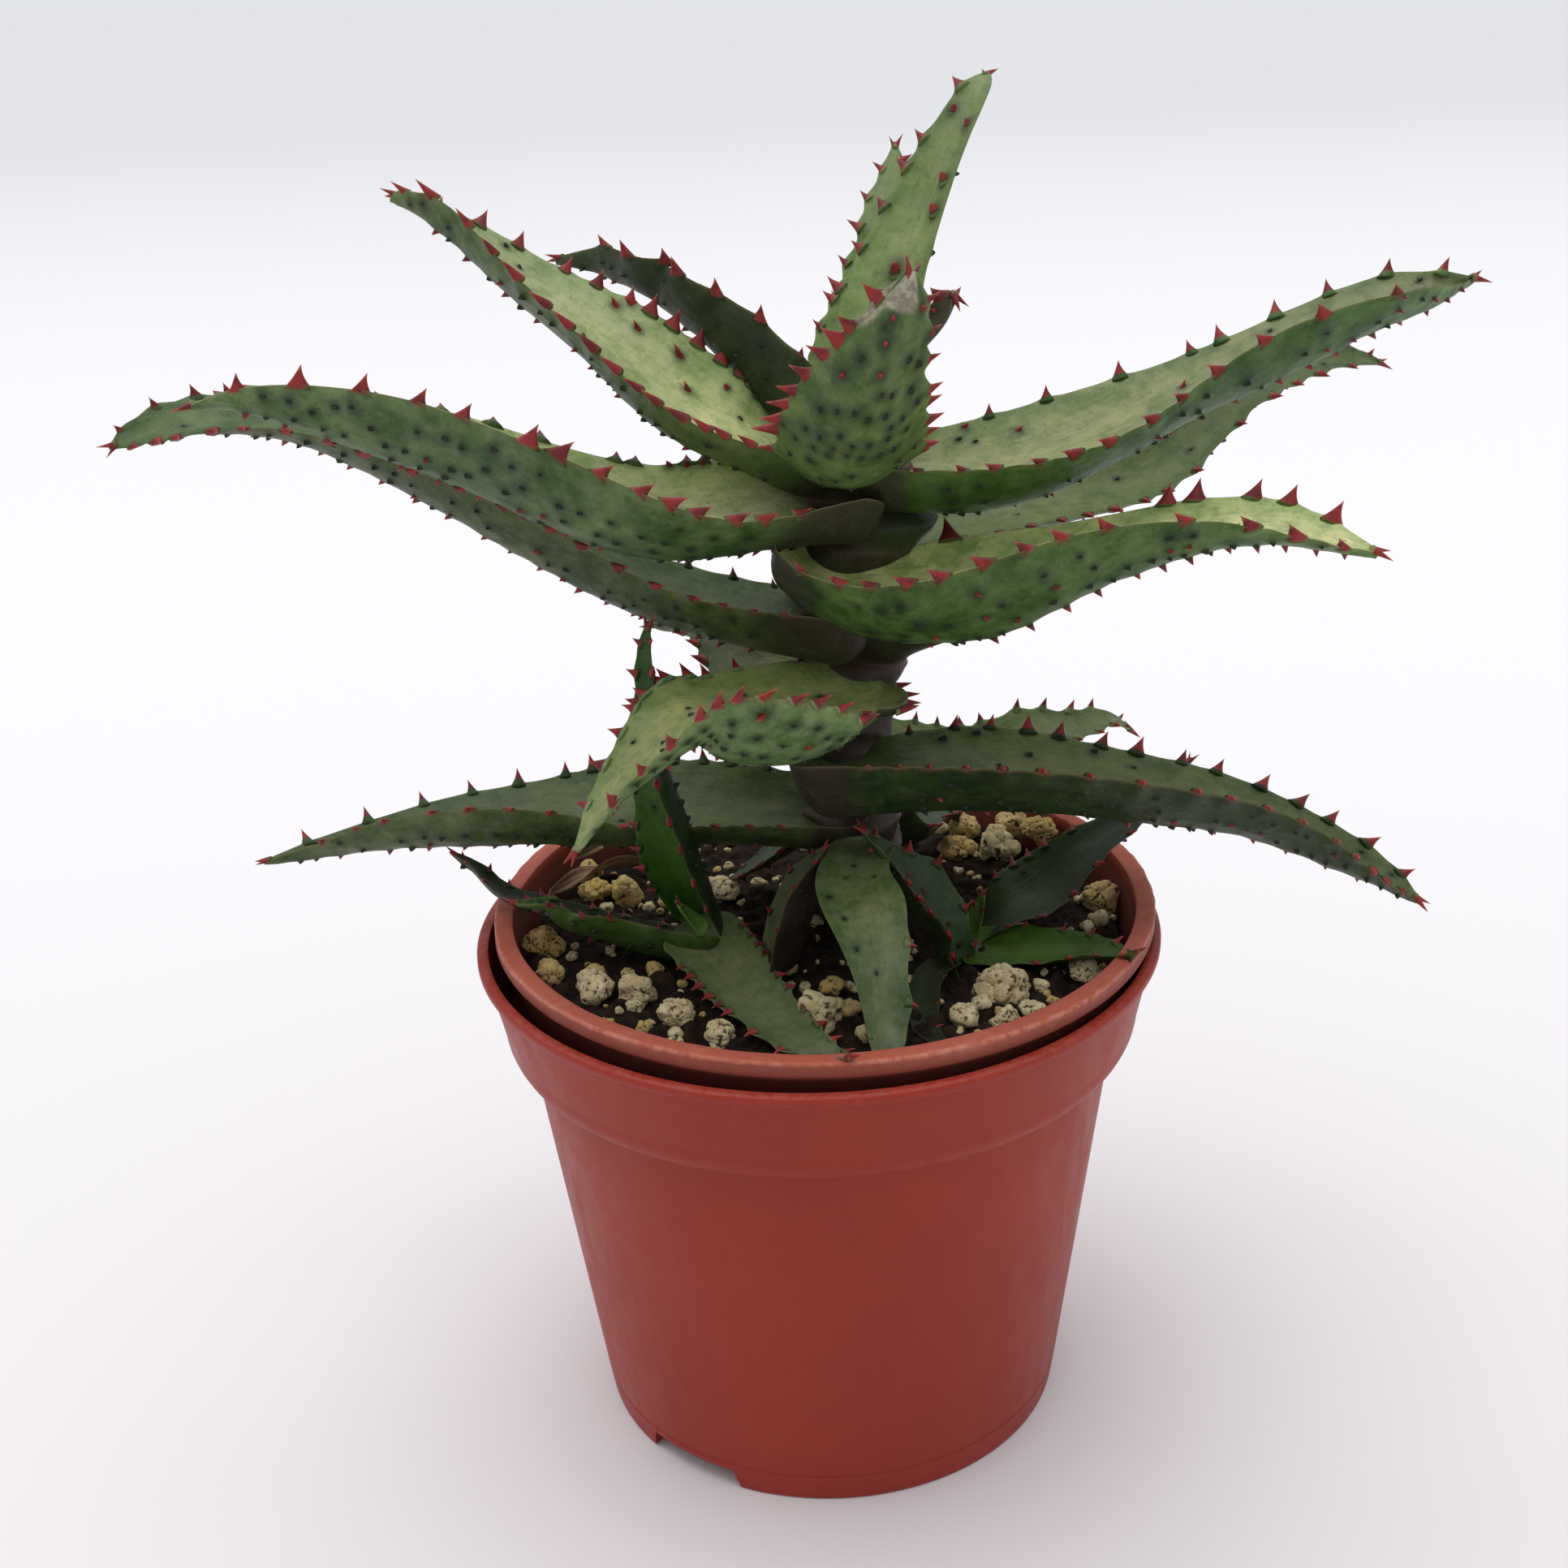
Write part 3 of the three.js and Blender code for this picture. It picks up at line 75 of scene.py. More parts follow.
    "pup_a_leaf_2": [[-17.2, -5.91, 81.5, 5.44, 3.58, 31.57], [-25.11, -6.5, 83.2, 5.1, 3.7, 32.15], [-32.03, -7.55, 86.17, 4.54, 3.39, 29.55], [-37.25, -7.7, 87.4, 3.7, 2.66, 22.59], [-39.64, -8.34, 89.75, 2.65, 1.77, 14.26], [-42.74, -8.05, 89.73, 1.47, 0.91, 5.68], [-45.88, -7.99, 89.62, 0.25, 0.2, -2.59]],
    "pup_a_leaf_3": [[-17.21, -5, 79.75, 4.31, 2.59, 0.79], [-25.54, -3.65, 81.39, 3.96, 2.38, 0.08], [-33.67, -2.29, 83.18, 3.59, 2.17, -0.71], [-41.2, -1.06, 85.37, 3.14, 1.92, -1.68], [-47.52, -1.97, 88.81, 2.54, 1.65, -2.9], [-51.39, -2.09, 92.92, 1.6, 1.09, -3.91], [-55.04, -2.94, 95.94, 0.29, 0.29, -4.31]],
    "pup_a_leaf_4": [[-17.86, -8.62, 83.82, 6.66, 4, 9.18], [-14.05, -14, 81.84, 6.05, 3.68, 4.34], [-11.02, -21.39, 81.51, 5.61, 3.36, 2.54], [-7.53, -28.04, 81.19, 4.92, 2.96, 2.19], [-4.19, -35.66, 81.69, 4.12, 2.35, 3.44], [-0.15, -42.88, 82.93, 2.57, 1.45, 3.37], [3.99, -50.45, 86.03, 0.31, 0.32, 1.47]],
    "pup_a_leaf_5": [[-7.91, -13.83, 81.82, 4.28, 4.88, -9.04], [-7, -13.57, 86.46, 4.49, 5.3, -11.06], [-5.61, -13.28, 90.48, 4.45, 5.43, -11.7], [-4.08, -13.22, 93.85, 3.85, 4.56, -11.05], [-2.27, -12.98, 96.04, 2.84, 3.29, -8.8], [-0.22, -12.18, 97.42, 1.61, 1.82, -5.47], [1.78, -11.98, 99.28, 0.27, 0.32, -1.59]],
    "pup_a_leaf_6": [[-17.23, -9.5, 85.25, 1.98, 1.59, -0], [-17.86, -9.58, 86.05, 1.76, 1.41, -0], [-18.49, -9.67, 86.84, 1.52, 1.22, -0], [-19.11, -9.75, 87.63, 1.26, 1, -0], [-19.73, -9.83, 88.42, 0.95, 0.76, 0], [-20.35, -9.92, 89.2, 0.61, 0.49, 0], [-20.97, -10, 89.98, 0.25, 0.21, 0]],
    "pup_b_leaf_1": [[25.31, -6.96, 79.31, 7.91, 4.47, 15.09], [30.53, -4.92, 84.32, 7.66, 4.09, 14.84], [34.34, -1.21, 86.71, 6.49, 3.52, 11.41], [40.42, 0.98, 91.13, 5.03, 2.77, 8.1], [47.38, 4, 94.34, 3.43, 1.92, 4], [53.56, 7.01, 97.78, 1.89, 1.04, 0.93], [58.81, 10, 101.91, 0.26, 0.2, -2.07]],
    "pup_b_leaf_2": [[22.682, -13.179, 78.121, 4.4, 5.298, -2.353], [21.593, -13.381, 82.029, 2.7, 4.8, -25.118], [20.509, -13.408, 87.159, 3.241, 6.324, -16.688], [16.984, -13.21, 92.789, 4.855, 5.101, -8.961], [14.027, -13.283, 95.836, 3.199, 3.13, -9.737], [10.196, -12.955, 99.191, 1.871, 1.714, 0.768], [6.81, -12.052, 101.75, 0.276, 0.294, -3.342]],
    "pup_b_leaf_3": [[24.18, -9.01, 80.46, 5.03, 3.07, 10.59], [29.25, -11.07, 81.38, 4.82, 2.95, 11.48], [34.05, -12.91, 82.07, 4.36, 2.68, 10.85], [38.1, -15.08, 82.92, 3.61, 2.23, 8.66], [41.34, -18.29, 84.2, 2.64, 1.64, 5.81], [43.84, -21.67, 85.06, 1.51, 0.96, 2.83], [45.93, -25, 87.13, 0.26, 0.21, -0.15]],
    "pup_b_leaf_4": [[18.76, -14, 80.5, 2.8, 1.66, 5.87], [16.32, -18.33, 81.07, 2.47, 1.54, 5.34], [15.16, -22.66, 80.47, 2.39, 1.45, 4.11], [14.67, -27, 79.65, 2.27, 1.33, 2.7], [14.92, -31.34, 79.07, 1.94, 1.1, 1.34], [16.18, -35.67, 79.55, 1.26, 0.72, -0.05], [15.12, -40, 80.87, 0.28, 0.23, -1.33]],
    "pup_b_leaf_5": [[23.09, -8, 82.49, 2.08, 1.67, -0], [23.44, -7.83, 83.51, 1.85, 1.48, -0], [23.78, -7.67, 84.53, 1.6, 1.28, 0], [24.12, -7.5, 85.55, 1.32, 1.05, 0], [24.46, -7.33, 86.57, 1, 0.79, 0], [24.8, -7.17, 87.59, 0.64, 0.51, 0], [25.13, -7, 88.61, 0.25, 0.21, 0]],
}
FACING = {
    "leaf_03": [0, 0.7, 0.7],
    "pup_a_leaf_1": [-0.45, -0.85, 0.2],
    "pup_a_leaf_5": [-0.6, -0.2, 0.75],
    "pup_a_leaf_6": [0.5, -0.3, 0.8],
    "pup_b_leaf_2": [0.6, -0.2, 0.75],
    "pup_b_leaf_5": [-0.4, -0.3, 0.85],
}
# Spines along the two margins, by the share of the leaf's length: seen ones, None where hidden.
TEETH = {
    "leaf_01": [None, [0.018, 0.113, 0.228, 0.271, 0.396, 0.504, 0.602, 0.674, 0.852]],
    "leaf_02": [None, [0.328, 0.542, 0.7, 0.862, 1.0]],
    "leaf_03": [[0.313, 0.356, 0.411, 0.461, 0.524, 0.604, 0.667, 0.722], [0.313, 0.383, 0.471, 0.521, 0.659]],
    "leaf_04": [None, None],
    "leaf_05": [[0.384, 0.44, 0.484, 0.521, 0.579, 0.634, 0.72, 0.795], [0.168, 0.208, 0.239, 0.282, 0.338, 0.381, 0.433, 0.489, 0.546, 0.596, 0.658, 0.714, 0.776, 0.874, 0.958]],
    "leaf_06": [None, [0.083, 0.216, 0.321, 0.567, 0.833]],
    "leaf_07": [[0.247, 0.279, 0.368, 0.395, 0.497, 0.559], [0.1, 0.156, 0.206, 0.268, 0.31, 0.351, 0.405, 0.459, 0.496, 0.581, 0.64, 0.71, 0.785, 0.877]],
    "leaf_08": [[0.791, 0.857, 0.948], [0.043, 0.073, 0.105, 0.137, 0.182, 0.23, 0.281, 0.321]],
    "leaf_09": [[0.051, 0.102, 0.138, 0.187, 0.226, 0.268, 0.325, 0.368, 0.417, 0.475, 0.542, 0.642], [0.161, 0.243, 0.335, 0.42, 0.458, 0.533, 0.608, 0.717, 0.9]],
    "leaf_10": [[0.467, 0.527, 0.637, 0.715, 0.764, 0.815, 0.897], [0.963]],
    "leaf_11": [[0.054, 0.147, 0.199, 0.254, 0.302, 0.363, 0.419, 0.465, 0.52, 0.621, 0.73], [0.314, 0.603, 0.643, 0.733, 0.8, 0.894]],
    "leaf_12": [[0.0, 0.0, 0.314, 0.494, 0.521, 0.582, 0.625, 0.696, 0.788], [0.006, 0.04, 0.29, 0.336, 0.372, 0.423, 0.467, 0.507, 0.55, 0.635, 0.724, 0.835]],
    "leaf_13": [[], [0.339, 0.487, 0.629, 0.771]],
    "leaf_14": [[0.447, 0.531, 0.615, 0.705, 0.802], [0.336, 0.481, 0.544, 0.604, 0.658, 0.866]],
    "leaf_15": [[0.051, 0.081, 0.109, 0.142, 0.174, 0.212, 0.261, 0.323, 0.398, 0.506], [0.323, 0.367, 0.426, 0.476, 0.545, 0.667, 0.755, 0.883]],
    "leaf_16": [None, [0.38, 0.499, 0.586, 0.692, 0.775, 0.925]],
    "leaf_17": [None, None],
    "leaf_18": [[], [0.542, 0.711]],
    "leaf_19": [None, None],
    "pup_a_leaf_1": [[0.197, 0.301, 0.389, 0.512, 0.933], [0.301, 0.814, 0.917]],
    "pup_a_leaf_2": [None, [0.172, 0.332, 0.427, 0.692]],
    "pup_a_leaf_3": [None, None],
    "pup_a_leaf_4": [[0.115, 0.199, 0.271, 0.338, 0.392, 0.446], [0.015, 0.058, 0.106, 0.147, 0.192]],
    "pup_a_leaf_5": [None, None],
    "pup_a_leaf_6": [None, None],
    "pup_b_leaf_1": [None, [0.198, 0.307, 0.375, 0.44, 0.537]],
    "pup_b_leaf_2": [None, [0.182, 0.315, 0.461, 0.563, 0.667]],
    "pup_b_leaf_3": [None, [0.186, 0.381, 0.524, 0.697]],
    "pup_b_leaf_4": [[], None],
    "pup_b_leaf_5": [None, None],
}
# Single spines and warts that stand on the faces: side (1 upper, -1 lower), s, t, radius, height, red
SPOTS = {
    "leaf_03": [[-1, 0.467, 0.647, 0.85, 0.6, 0.0], [-1, 0.489, 0.453, 0.85, 0.6, 0.0], [-1, 0.505, 0.226, 0.85, 0.6, 0.0], [-1, 0.494, 0.0, 0.85, 0.6, 0.0], [-1, 0.505, -0.259, 0.85, 0.6, 0.0], [-1, 0.478, -0.55, 0.85, 0.6, 0.0], [-1, 0.354, 0.938, 0.85, 0.6, 0.0], [-1, 0.392, 0.711, 0.85, 0.6, 0.0], [-1, 0.343, 0.776, 0.85, 0.6, 0.0], [-1, 0.392, 0.517, 0.85, 0.6, 0.0], [-1, 0.424, 0.291, 0.85, 0.6, 0.0], [-1, 0.457, -0.388, 0.85, 0.6, 0.0], [-1, 0.424, -0.647, 0.85, 0.6, 0.0], [-1, 0.354, 0.55, 0.85, 0.6, 0.0], [-1, 0.381, 0.323, 0.85, 0.6, 0.0], [-1, 0.403, 0.097, 0.85, 0.6, 0.0], [-1, 0.408, -0.129, 0.85, 0.6, 0.0], [-1, 0.419, -0.388, 0.85, 0.6, 0.0], [-1, 0.354, 0.356, 0.85, 0.6, 0.0], [-1, 0.36, -0.323, 0.85, 0.6, 0.0], [-1, 0.36, -0.517, 0.85, 0.6, 0.0], [-1, 0.575, -0.259, 0.85, 0.6, 0.0], [-1, 0.57, -0.647, 0.85, 0.6, 0.0], [-1, 0.511, -0.776, 0.85, 0.6, 0.0], [-1, 0.581, -0.065, 0.85, 0.6, 0.0], [-1, 0.694, -0.42, 0.85, 0.6, 0.0], [-1, 0.662, -0.744, 0.85, 0.6, 0.0], [-1, 0.662, 0.55, 0.85, 0.6, 0.0], [-1, 0.775, 0.453, 0.85, 0.6, 0.0], [-1, 0.37, 0.129, 0.85, 0.6, 0.0], [-1, 0.365, -0.065, 0.85, 0.6, 0.0], [-1, 0.3, 0.55, 0.85, 0.6, 0.0], [-1, 0.591, 0.647, 0.85, 0.8, 1.0], [-1, 0.64, 0.097, 0.85, 0.8, 1.0], [-1, 0.732, 0.291, 0.85, 0.8, 1.0], [-1, 0.807, 0.388, 0.85, 0.8, 1.0], [-1, 0.764, -0.97, 0.85, 0.8, 1.0], [-1, 0.861, -0.55, 0.85, 0.8, 1.0]],
    "leaf_05": [[1, 0.532, 0.776, 0.8, 1.6, 3.0], [1, 0.516, 0.938, 0.7, 1.4, 3.0], [1, 0.478, 0.614, 0.8, 1.6, 3.0], [1, 0.392, 0.679, 0.9, 2.2, 3.0], [1, 0.333, 0.291, 0.8, 1.5, 3.0], [1, 0.263, 0.711, 0.7, 0.9, 1.0]],
    "leaf_07": [[1, 0.311, 0.97, 0.8, 1.0, 1.0], [1, 0.279, 0.97, 0.85, 1.2, 3.0], [1, 0.246, 0.97, 0.8, 1.0, 1.0]],
    "leaf_09": [[-1, 0.651, 0.97, 0.6, 0.9, 1.0], [-1, 0.651, 0.744, 0.6, 0.9, 1.0], [1, 0.387, -0.226, 0.7, 1.3, 3.0], [1, 0.122, -0.905, 0.7, 0.9, 1.0], [1, 0.112, -0.744, 0.6, 0.5, 0.0], [1, 0.133, -0.647, 0.6, 0.5, 0.0], [1, 0.193, -0.647, 0.7, 1.2, 3.0]],
    "leaf_12": [[-1, 0.414, -0.873, 1.0, 2.0, 3.0]],
    "leaf_15": [[1, 0.117, -0.808, 0.8, 0.7, 0.0], [1, 0.16, -0.873, 0.8, 0.7, 0.0], [1, 0.225, -0.55, 0.8, 0.7, 0.0], [1, 0.268, -0.97, 0.8, 0.7, 0.0], [1, 0.311, -0.841, 0.8, 0.7, 0.0]],
    "leaf_01": [[1, 0.759, -0.55, 1.0, 0.9, 1.0], [1, 0.726, 0.517, 1.0, 1.0, 1.0], [1, 0.591, 0.453, 1.15, 1.2, 1.0], [1, 0.516, 0.55, 1.2, 1.3, 1.0], [1, 0.36, 0.032, 1.5, 1.6, 1.0]],
    "leaf_18": [[1, 0.09, 0.065, 0.5, 0.35, 0.0], [1, 0.16, 0.194, 0.5, 0.35, 0.0], [1, 0.263, 0.679, 0.5, 0.35, 0.0], [1, 0.387, 0.517, 0.5, 0.35, 0.0], [1, 0.527, 0.517, 0.5, 0.35, 0.0], [1, 0.613, 0.097, 0.5, 0.35, 0.0]],
    "pup_b_leaf_2": [[1, 0.635, -0.129, 0.5, 0.6, 1.0], [1, 0.489, 0.032, 0.5, 0.6, 1.0], [1, 0.295, 0.226, 0.5, 0.6, 1.0], [1, 0.047, 0.711, 0.5, 0.6, 1.0], [-1, 0.155, -0.97, 0.5, 0.6, 1.0]],
}
# Pumice grains: x, y, z, radius, seed, yellow tone
STONES = [
    [-42.4, -2.2, 79.6, 3.0, 0.7, 1.0],
    [-40.5, -12.2, 79.4, 2.4, 2.0, 1.0],
    [-33.0, -17.3, 79.6, 2.8, 3.3, 0.0],
    [-26.9, -18.2, 79.6, 2.8, 4.6, 0.0],
    [-20.8, -25.9, 79.6, 2.7, 5.9, 0.0],
    [-14.6, -32.0, 79.5, 2.4, 7.2, 0.0],
    [-35.9, 15.2, 79.8, 2.6, 8.5, 1.0],
    [-30.6, 14.9, 79.8, 2.8, 9.8, 1.0],
    [-15.8, 13.8, 79.8, 2.8, 11.1, 0.0],
    [26.3, -21.3, 80.0, 3.7, 12.4, 0.0],
    [20.5, -28.9, 79.5, 2.4, 13.7, 0.0],
    [26.3, -30.7, 79.3, 2.3, 15.0, 0.0],
    [30.4, -26.8, 79.2, 1.7, 16.3, 0.0],
    [39.5, -16.3, 79.4, 2.4, 17.6, 0.0],
    [44.4, 6.4, 79.8, 2.8, 18.9, 1.0],
    [30.5, 26.2, 80.6, 3.6, 20.2, 0.0],
    [25.6, 33.0, 80.8, 2.9, 21.5, 1.0],
    [23.8, 26.9, 79.8, 2.6, 22.8, 1.0],
    [32.9, 30.5, 82.6, 2.7, 24.1, 1.0],
    [37.1, 25.3, 83.4, 2.8, 25.4, 1.0],
    [-0.1, -27.6, 79.8, 3.3, 26.7, 0.0],
]
# Per leaf: the channel's and the underside's colour, then dust, spine size, warts per cm2 below,
# how far the purple of the foot runs, how mottled it is. The channels of leaf_07 and leaf_11 are painted lighter, as
# light against the shade of the leaves above
LOOK = {
    "leaf_01": ((132, 148, 94), (92, 110, 66), 0.15, 0.95, 1.0, 0.05, 0.6),
    "leaf_02": ((128, 146, 88), (98, 116, 68), 0.15, 0.85, 0.5, 0.05, 0.5),
    "leaf_03": ((92, 116, 66), (77, 99, 51), 0.30, 1.10, 5.0, 0.00, 0.9),
    "leaf_04": ((86, 78, 60), (76, 68, 54), 0.25, 1.00, 2.0, 0.05, 0.6),
    "leaf_05": ((175, 182, 132), (74, 92, 54), 0.22, 1.00, 6.0, 0.06, 0.8),
    "leaf_06": ((58, 56, 42), (48, 58, 36), 0.20, 1.00, 3.5, 0.05, 0.8),
    # channel colour painted lighter, as light against the shade of the leaves above
    "leaf_07": ((210, 214, 160), (74, 96, 56), 0.25, 1.05, 7.0, 0.20, 1.0),
    "leaf_08": ((96, 116, 70), (62, 76, 40), 0.30, 0.90, 6.0, 0.14, 1.0),
    "leaf_09": ((134, 139, 98), (60, 90, 41), 0.28, 1.00, 5.0, 0.08, 1.0),
    "leaf_10": ((96, 110, 64), (62, 82, 42), 0.30, 0.85, 5.5, 0.06, 0.9),
    # channel colour painted lighter, as light against the shade of the leaves above
    "leaf_11": ((218, 221, 158), (69, 96, 45), 0.25, 1.05, 7.0, 0.08, 1.0),
    "leaf_12": ((158, 164, 108), (102, 126, 82), 0.15, 0.95, 9.0, 0.02, 0.8),
    "leaf_13": ((84, 92, 52), (70, 80, 44), 0.15, 0.95, 2.0, 0.06, 0.6),
    "leaf_14": ((90, 102, 60), (60, 76, 38), 0.35, 0.85, 5.0, 0.08, 0.9),
    "leaf_15": ((88, 98, 54), (30, 48, 14), 0.20, 1.00, 6.0, 0.08, 1.0),
    "leaf_16": ((104, 116, 72), (84, 98, 60), 0.25, 0.90, 1.5, 0.05, 0.6),
    "leaf_17": ((62, 74, 46), (52, 64, 38), 0.35, 0.70, 1.5, 0.06, 0.7),
    "leaf_18": ((104, 114, 76), (88, 98, 64), 0.45, 0.65, 4.0, 0.06, 1.0),
    "leaf_19": ((62, 74, 46), (52, 64, 38), 0.35, 0.70, 1.5, 0.06, 0.7),
    "pup_a_leaf_1": ((48, 82, 24), (32, 50, 18), 0.00, 0.75, 5.0, 0.00, 0.5),
    "pup_a_leaf_2": ((80, 110, 50), (62, 86, 38), 0.05, 0.70, 4.0, 0.00, 0.6),
    "pup_a_leaf_3": ((52, 54, 38), (46, 50, 34), 0.15, 0.55, 1.0, 0.00, 0.5),
    "pup_a_leaf_4": ((112, 120, 84), (70, 80, 50), 0.20, 0.80, 1.0, 0.00, 0.6),
    "pup_a_leaf_5": ((96, 98, 72), (46, 38, 34), 0.20, 0.50, 1.5, 0.00, 0.5),
    "pup_a_leaf_6": ((104, 140, 62), (90, 124, 56), 0.00, 0.40, 0.0, 0.00, 0.2),
    "pup_b_leaf_1": ((40, 52, 18), (38, 50, 16), 0.05, 0.60, 3.0, 0.00, 0.6),
    "pup_b_leaf_2": ((70, 88, 62), (44, 60, 32), 0.10, 0.75, 5.0, 0.00, 0.6),
    "pup_b_leaf_3": ((66, 96, 24), (48, 72, 20), 0.00, 0.60, 3.0, 0.00, 0.5),
    "pup_b_leaf_4": ((50, 56, 38), (44, 50, 34), 0.25, 0.40, 1.0, 0.00, 0.5),
    "pup_b_leaf_5": ((96, 120, 58), (84, 108, 52), 0.00, 0.45, 0.0, 0.00, 0.2),
}
# Marginal spines that don't simply point outwards: for the P and the M margin, how much they lean out,
# up, and towards the tip (near the base, near the tip), their height and half their foot
CLAWS = {
    "leaf_01": [(0.9, 0.3, 0.1, 0.1, 0.9, 1.1), (0.95, 0.2, 0.30, 0.45, 2.6, 1.45)],
    "leaf_02": [None, (0.95, 0.2, 0.5, 0.6, 2.6, 1.3)],
    "leaf_03": [(1.0, -0.1, 0.05, 0.25, 3.0, 1.45), (0.9, 0.1, 0.5, 0.6, 2.2, 1.1)],
    "leaf_05": [(0.35, 0.95, 0.1, 0.1, 2.4, 1.6), (0.6, 0.4, 0.85, 0.6, 3.3, 1.3)],
    "leaf_07": [(0.8, 0.5, 0.0, 0.1, 2.0, 1.6), (0.4, 0.9, -0.85, -0.05, 2.7, 1.75)],
    "leaf_08": [(0.35, 0.95, 0.1, 0.1, 2.1, 1.5), (0.7, 0.5, -0.7, -0.2, 2.1, 1.5)],
    "leaf_09": [(0.5, 0.75, -0.6, -0.2, 2.3, 1.5), (0.35, 0.95, 0.0, 0.1, 2.3, 1.6)],
    "leaf_10": [(0.8, 0.4, 0.0, 0.2, 1.8, 1.3), (0.35, 0.95, 0.0, 0.1, 2.0, 1.4)],
    "leaf_11": [(0.5, 0.8, -0.7, -0.45, 2.5, 1.6), (0.35, 0.95, -0.1, 0.05, 2.9, 1.9)],
    "leaf_12": [(0.6, 0.75, 0.2, 0.1, 2.3, 1.5), (0.5, 0.8, -0.8, -0.1, 2.7, 1.4)],
    "leaf_14": [(0.35, 0.95, 0.05, 0.05, 3.0, 1.7), (0.8, 0.45, -0.5, 0.0, 1.7, 1.4)],
    "leaf_15": [(0.85, 0.3, 0.0, 0.2, 0.9, 1.1), (0.35, 0.95, 0.0, 0.25, 2.5, 1.7)],
    "leaf_16": [(0.9, 0.3, 0.2, 0.2, 1.4, 1.1), (0.35, 0.95, -0.1, 0.1, 2.2, 1.5)],
    "pup_a_leaf_4": [(1.0, 0.1, 0.3, 0.3, 2.2, 1.3), (1.0, 0.1, 0.2, 0.2, 2.0, 1.3)],
}
# Margins whose teeth are green, with only their tips red: leaf, margin, and how much of the height is green
GREEN = {("leaf_14", 0): 0.4, ("leaf_18", 0): 0.5, ("leaf_18", 1): 0.5, ("leaf_16", 0): 0.35, ("leaf_16", 1): 0.5, ("leaf_15", 1): 0.2, ("leaf_08", 0): 0.25, ("leaf_07", 0): 0.3, ("leaf_09", 1): 0.25, ("leaf_10", 1): 0.25, ("leaf_12", 0): 0.1}
# Margins on which only the listed spines stand: 0 the P margin, 1 the M margin
START = {}  # where a hidden leaf foot begins, if not at its first row
BARE = {("leaf_01", 0), ("leaf_09", 0), ("leaf_09", 1), ("leaf_11", 1), ("leaf_18", 0), ("leaf_18", 1), ("pup_b_leaf_4", 0)}
# Leaves with a row of small teeth on the keel: from, to, spacing and height in millimetres
KEELS = {
    "leaf_05": (0.30, 0.90, 6.0, 1.0), "leaf_07": (0.35, 0.93, 5.5, 1.0), "leaf_08": (0.15, 0.95, 5.0, 1.15),
    "leaf_09": (0.20, 0.93, 5.5, 1.1), "leaf_10": (0.25, 0.92, 5.5, 1.1), "leaf_11": (0.30, 0.96, 5.0, 1.3),
    "leaf_12": (0.45, 0.92, 5.0, 0.9), "leaf_14": (0.25, 0.92, 6.5, 0.8), "leaf_15": (0.35, 0.95, 6.5, 0.9),
    "leaf_01": (0.45, 0.92, 7.0, 0.8), "leaf_06": (0.30, 0.90, 6.5, 0.8),
}
STEM = [
    [5.9, 6.2, 52, 5.2],
    [5.8, 6.0, 92, 6.0],
    [5.6, 6.0, 118, 6.2],
    [5.6, 5.6, 140, 7.3],
    [7.2, 5.4, 152, 7.0],
    [8.2, 6.6, 163, 5.2],
    [8.5, 6.9, 167.5, 3.4],
    [8.7, 7.1, 171, 1.3],
]
PUP_STEMS = {
    "pup_a_stem": [-18.2, -3.4, 66, 83.5, 3.4],
    "pup_b_stem": [24.6, -4.2, 66, 80.5, 3.2],
}
STRIPS = {
    "dry_leaf_1": [[[-43.0, 15.0, 80.4], [-38.0, 18.5, 81.2], [-32.0, 21.5, 81.6], [-26.5, 23.0, 80.8]], 1.9],
    "dry_leaf_2": [[[-40.5, 20.5, 83.6], [-35.0, 23.8, 84.4], [-29.5, 26.8, 84.2], [-24.0, 28.0, 82.6]], 1.5],
}
# pots, as in the frame
GAP = 0.35
POT_HEIGHT, LIP_R, LIP_WIDTH, LIP_DROP = 81.1, 52.5, 1.8, 1.5
COLLAR_TOP_R, COLLAR_LOW_R, COLLAR_LOW_Z = 51.4, 49.3, 69.2
STEP_R, STEP_Z, STEP_IN, BASE_R, WALL = 46.72, 65.1, 1.0, 37.14, 1.1
FOOT_H, FLOOR_Z, FLOOR_T, NOTCH_H, NOTCH_W = 4.8, 3.6, 1.3, 3.5, 17.0
NOTCH_AZ = [-127, 53]
HOLES, HOLE_R, HOLE_RING_R = 8, 3.0, 24.0
INNER_X, INNER_Y, INNER_TOP = 1.0, 0.6, 85.0
INNER_RIM_R, INNER_RIM_IN, INNER_RIM_H = 50.6, 47.7, 2.6
SOIL_TOP = 78.0
LEAN = math.hypot(INNER_X, INNER_Y)
COLLAR_IN_LOW_R = COLLAR_LOW_R - WALL
IN_STEP_Z = STEP_Z + 4.2
IN_FLOOR = FLOOR_Z + FLOOR_T + GAP


# ------------------------------------------------------------------ small tools
def lin(r, g, b):
    """A displayed 0..255 colour as a linear one."""
    return tuple((c / 255 / 12.92) if c / 255 < 0.04045 else ((c / 255 + 0.055) / 1.055) ** 2.4 for c in (r, g, b))


def lattice(ix, iy, iz, seed):
    h = (ix.astype(np.int64) * 374761393 + iy.astype(np.int64) * 668265263 + iz.astype(np.int64) * 2147483647 + seed * 974634777) & 0xFFFFFFFF
    h = ((h ^ (h >> 13)) * 1274126177) & 0xFFFFFFFF
    h = h ^ (h >> 16)
    return (h & 0xFFFF) / 65535.0


def vnoise(p, seed=0):
    """Smooth value noise in 0..1 at points p (n x 3)."""
    p = np.asarray(p, float)
    i = np.floor(p).astype(np.int64)
    f = p - i
    f = f * f * (3 - 2 * f)
    out = np.zeros(len(p))
    for dx in (0, 1):
        for dy in (0, 1):
            for dz in (0, 1):
                w = (f[:, 0] if dx else 1 - f[:, 0]) * (f[:, 1] if dy else 1 - f[:, 1]) * (f[:, 2] if dz else 1 - f[:, 2])
                out += w * lattice(i[:, 0] + dx, i[:, 1] + dy, i[:, 2] + dz, seed)
    return out


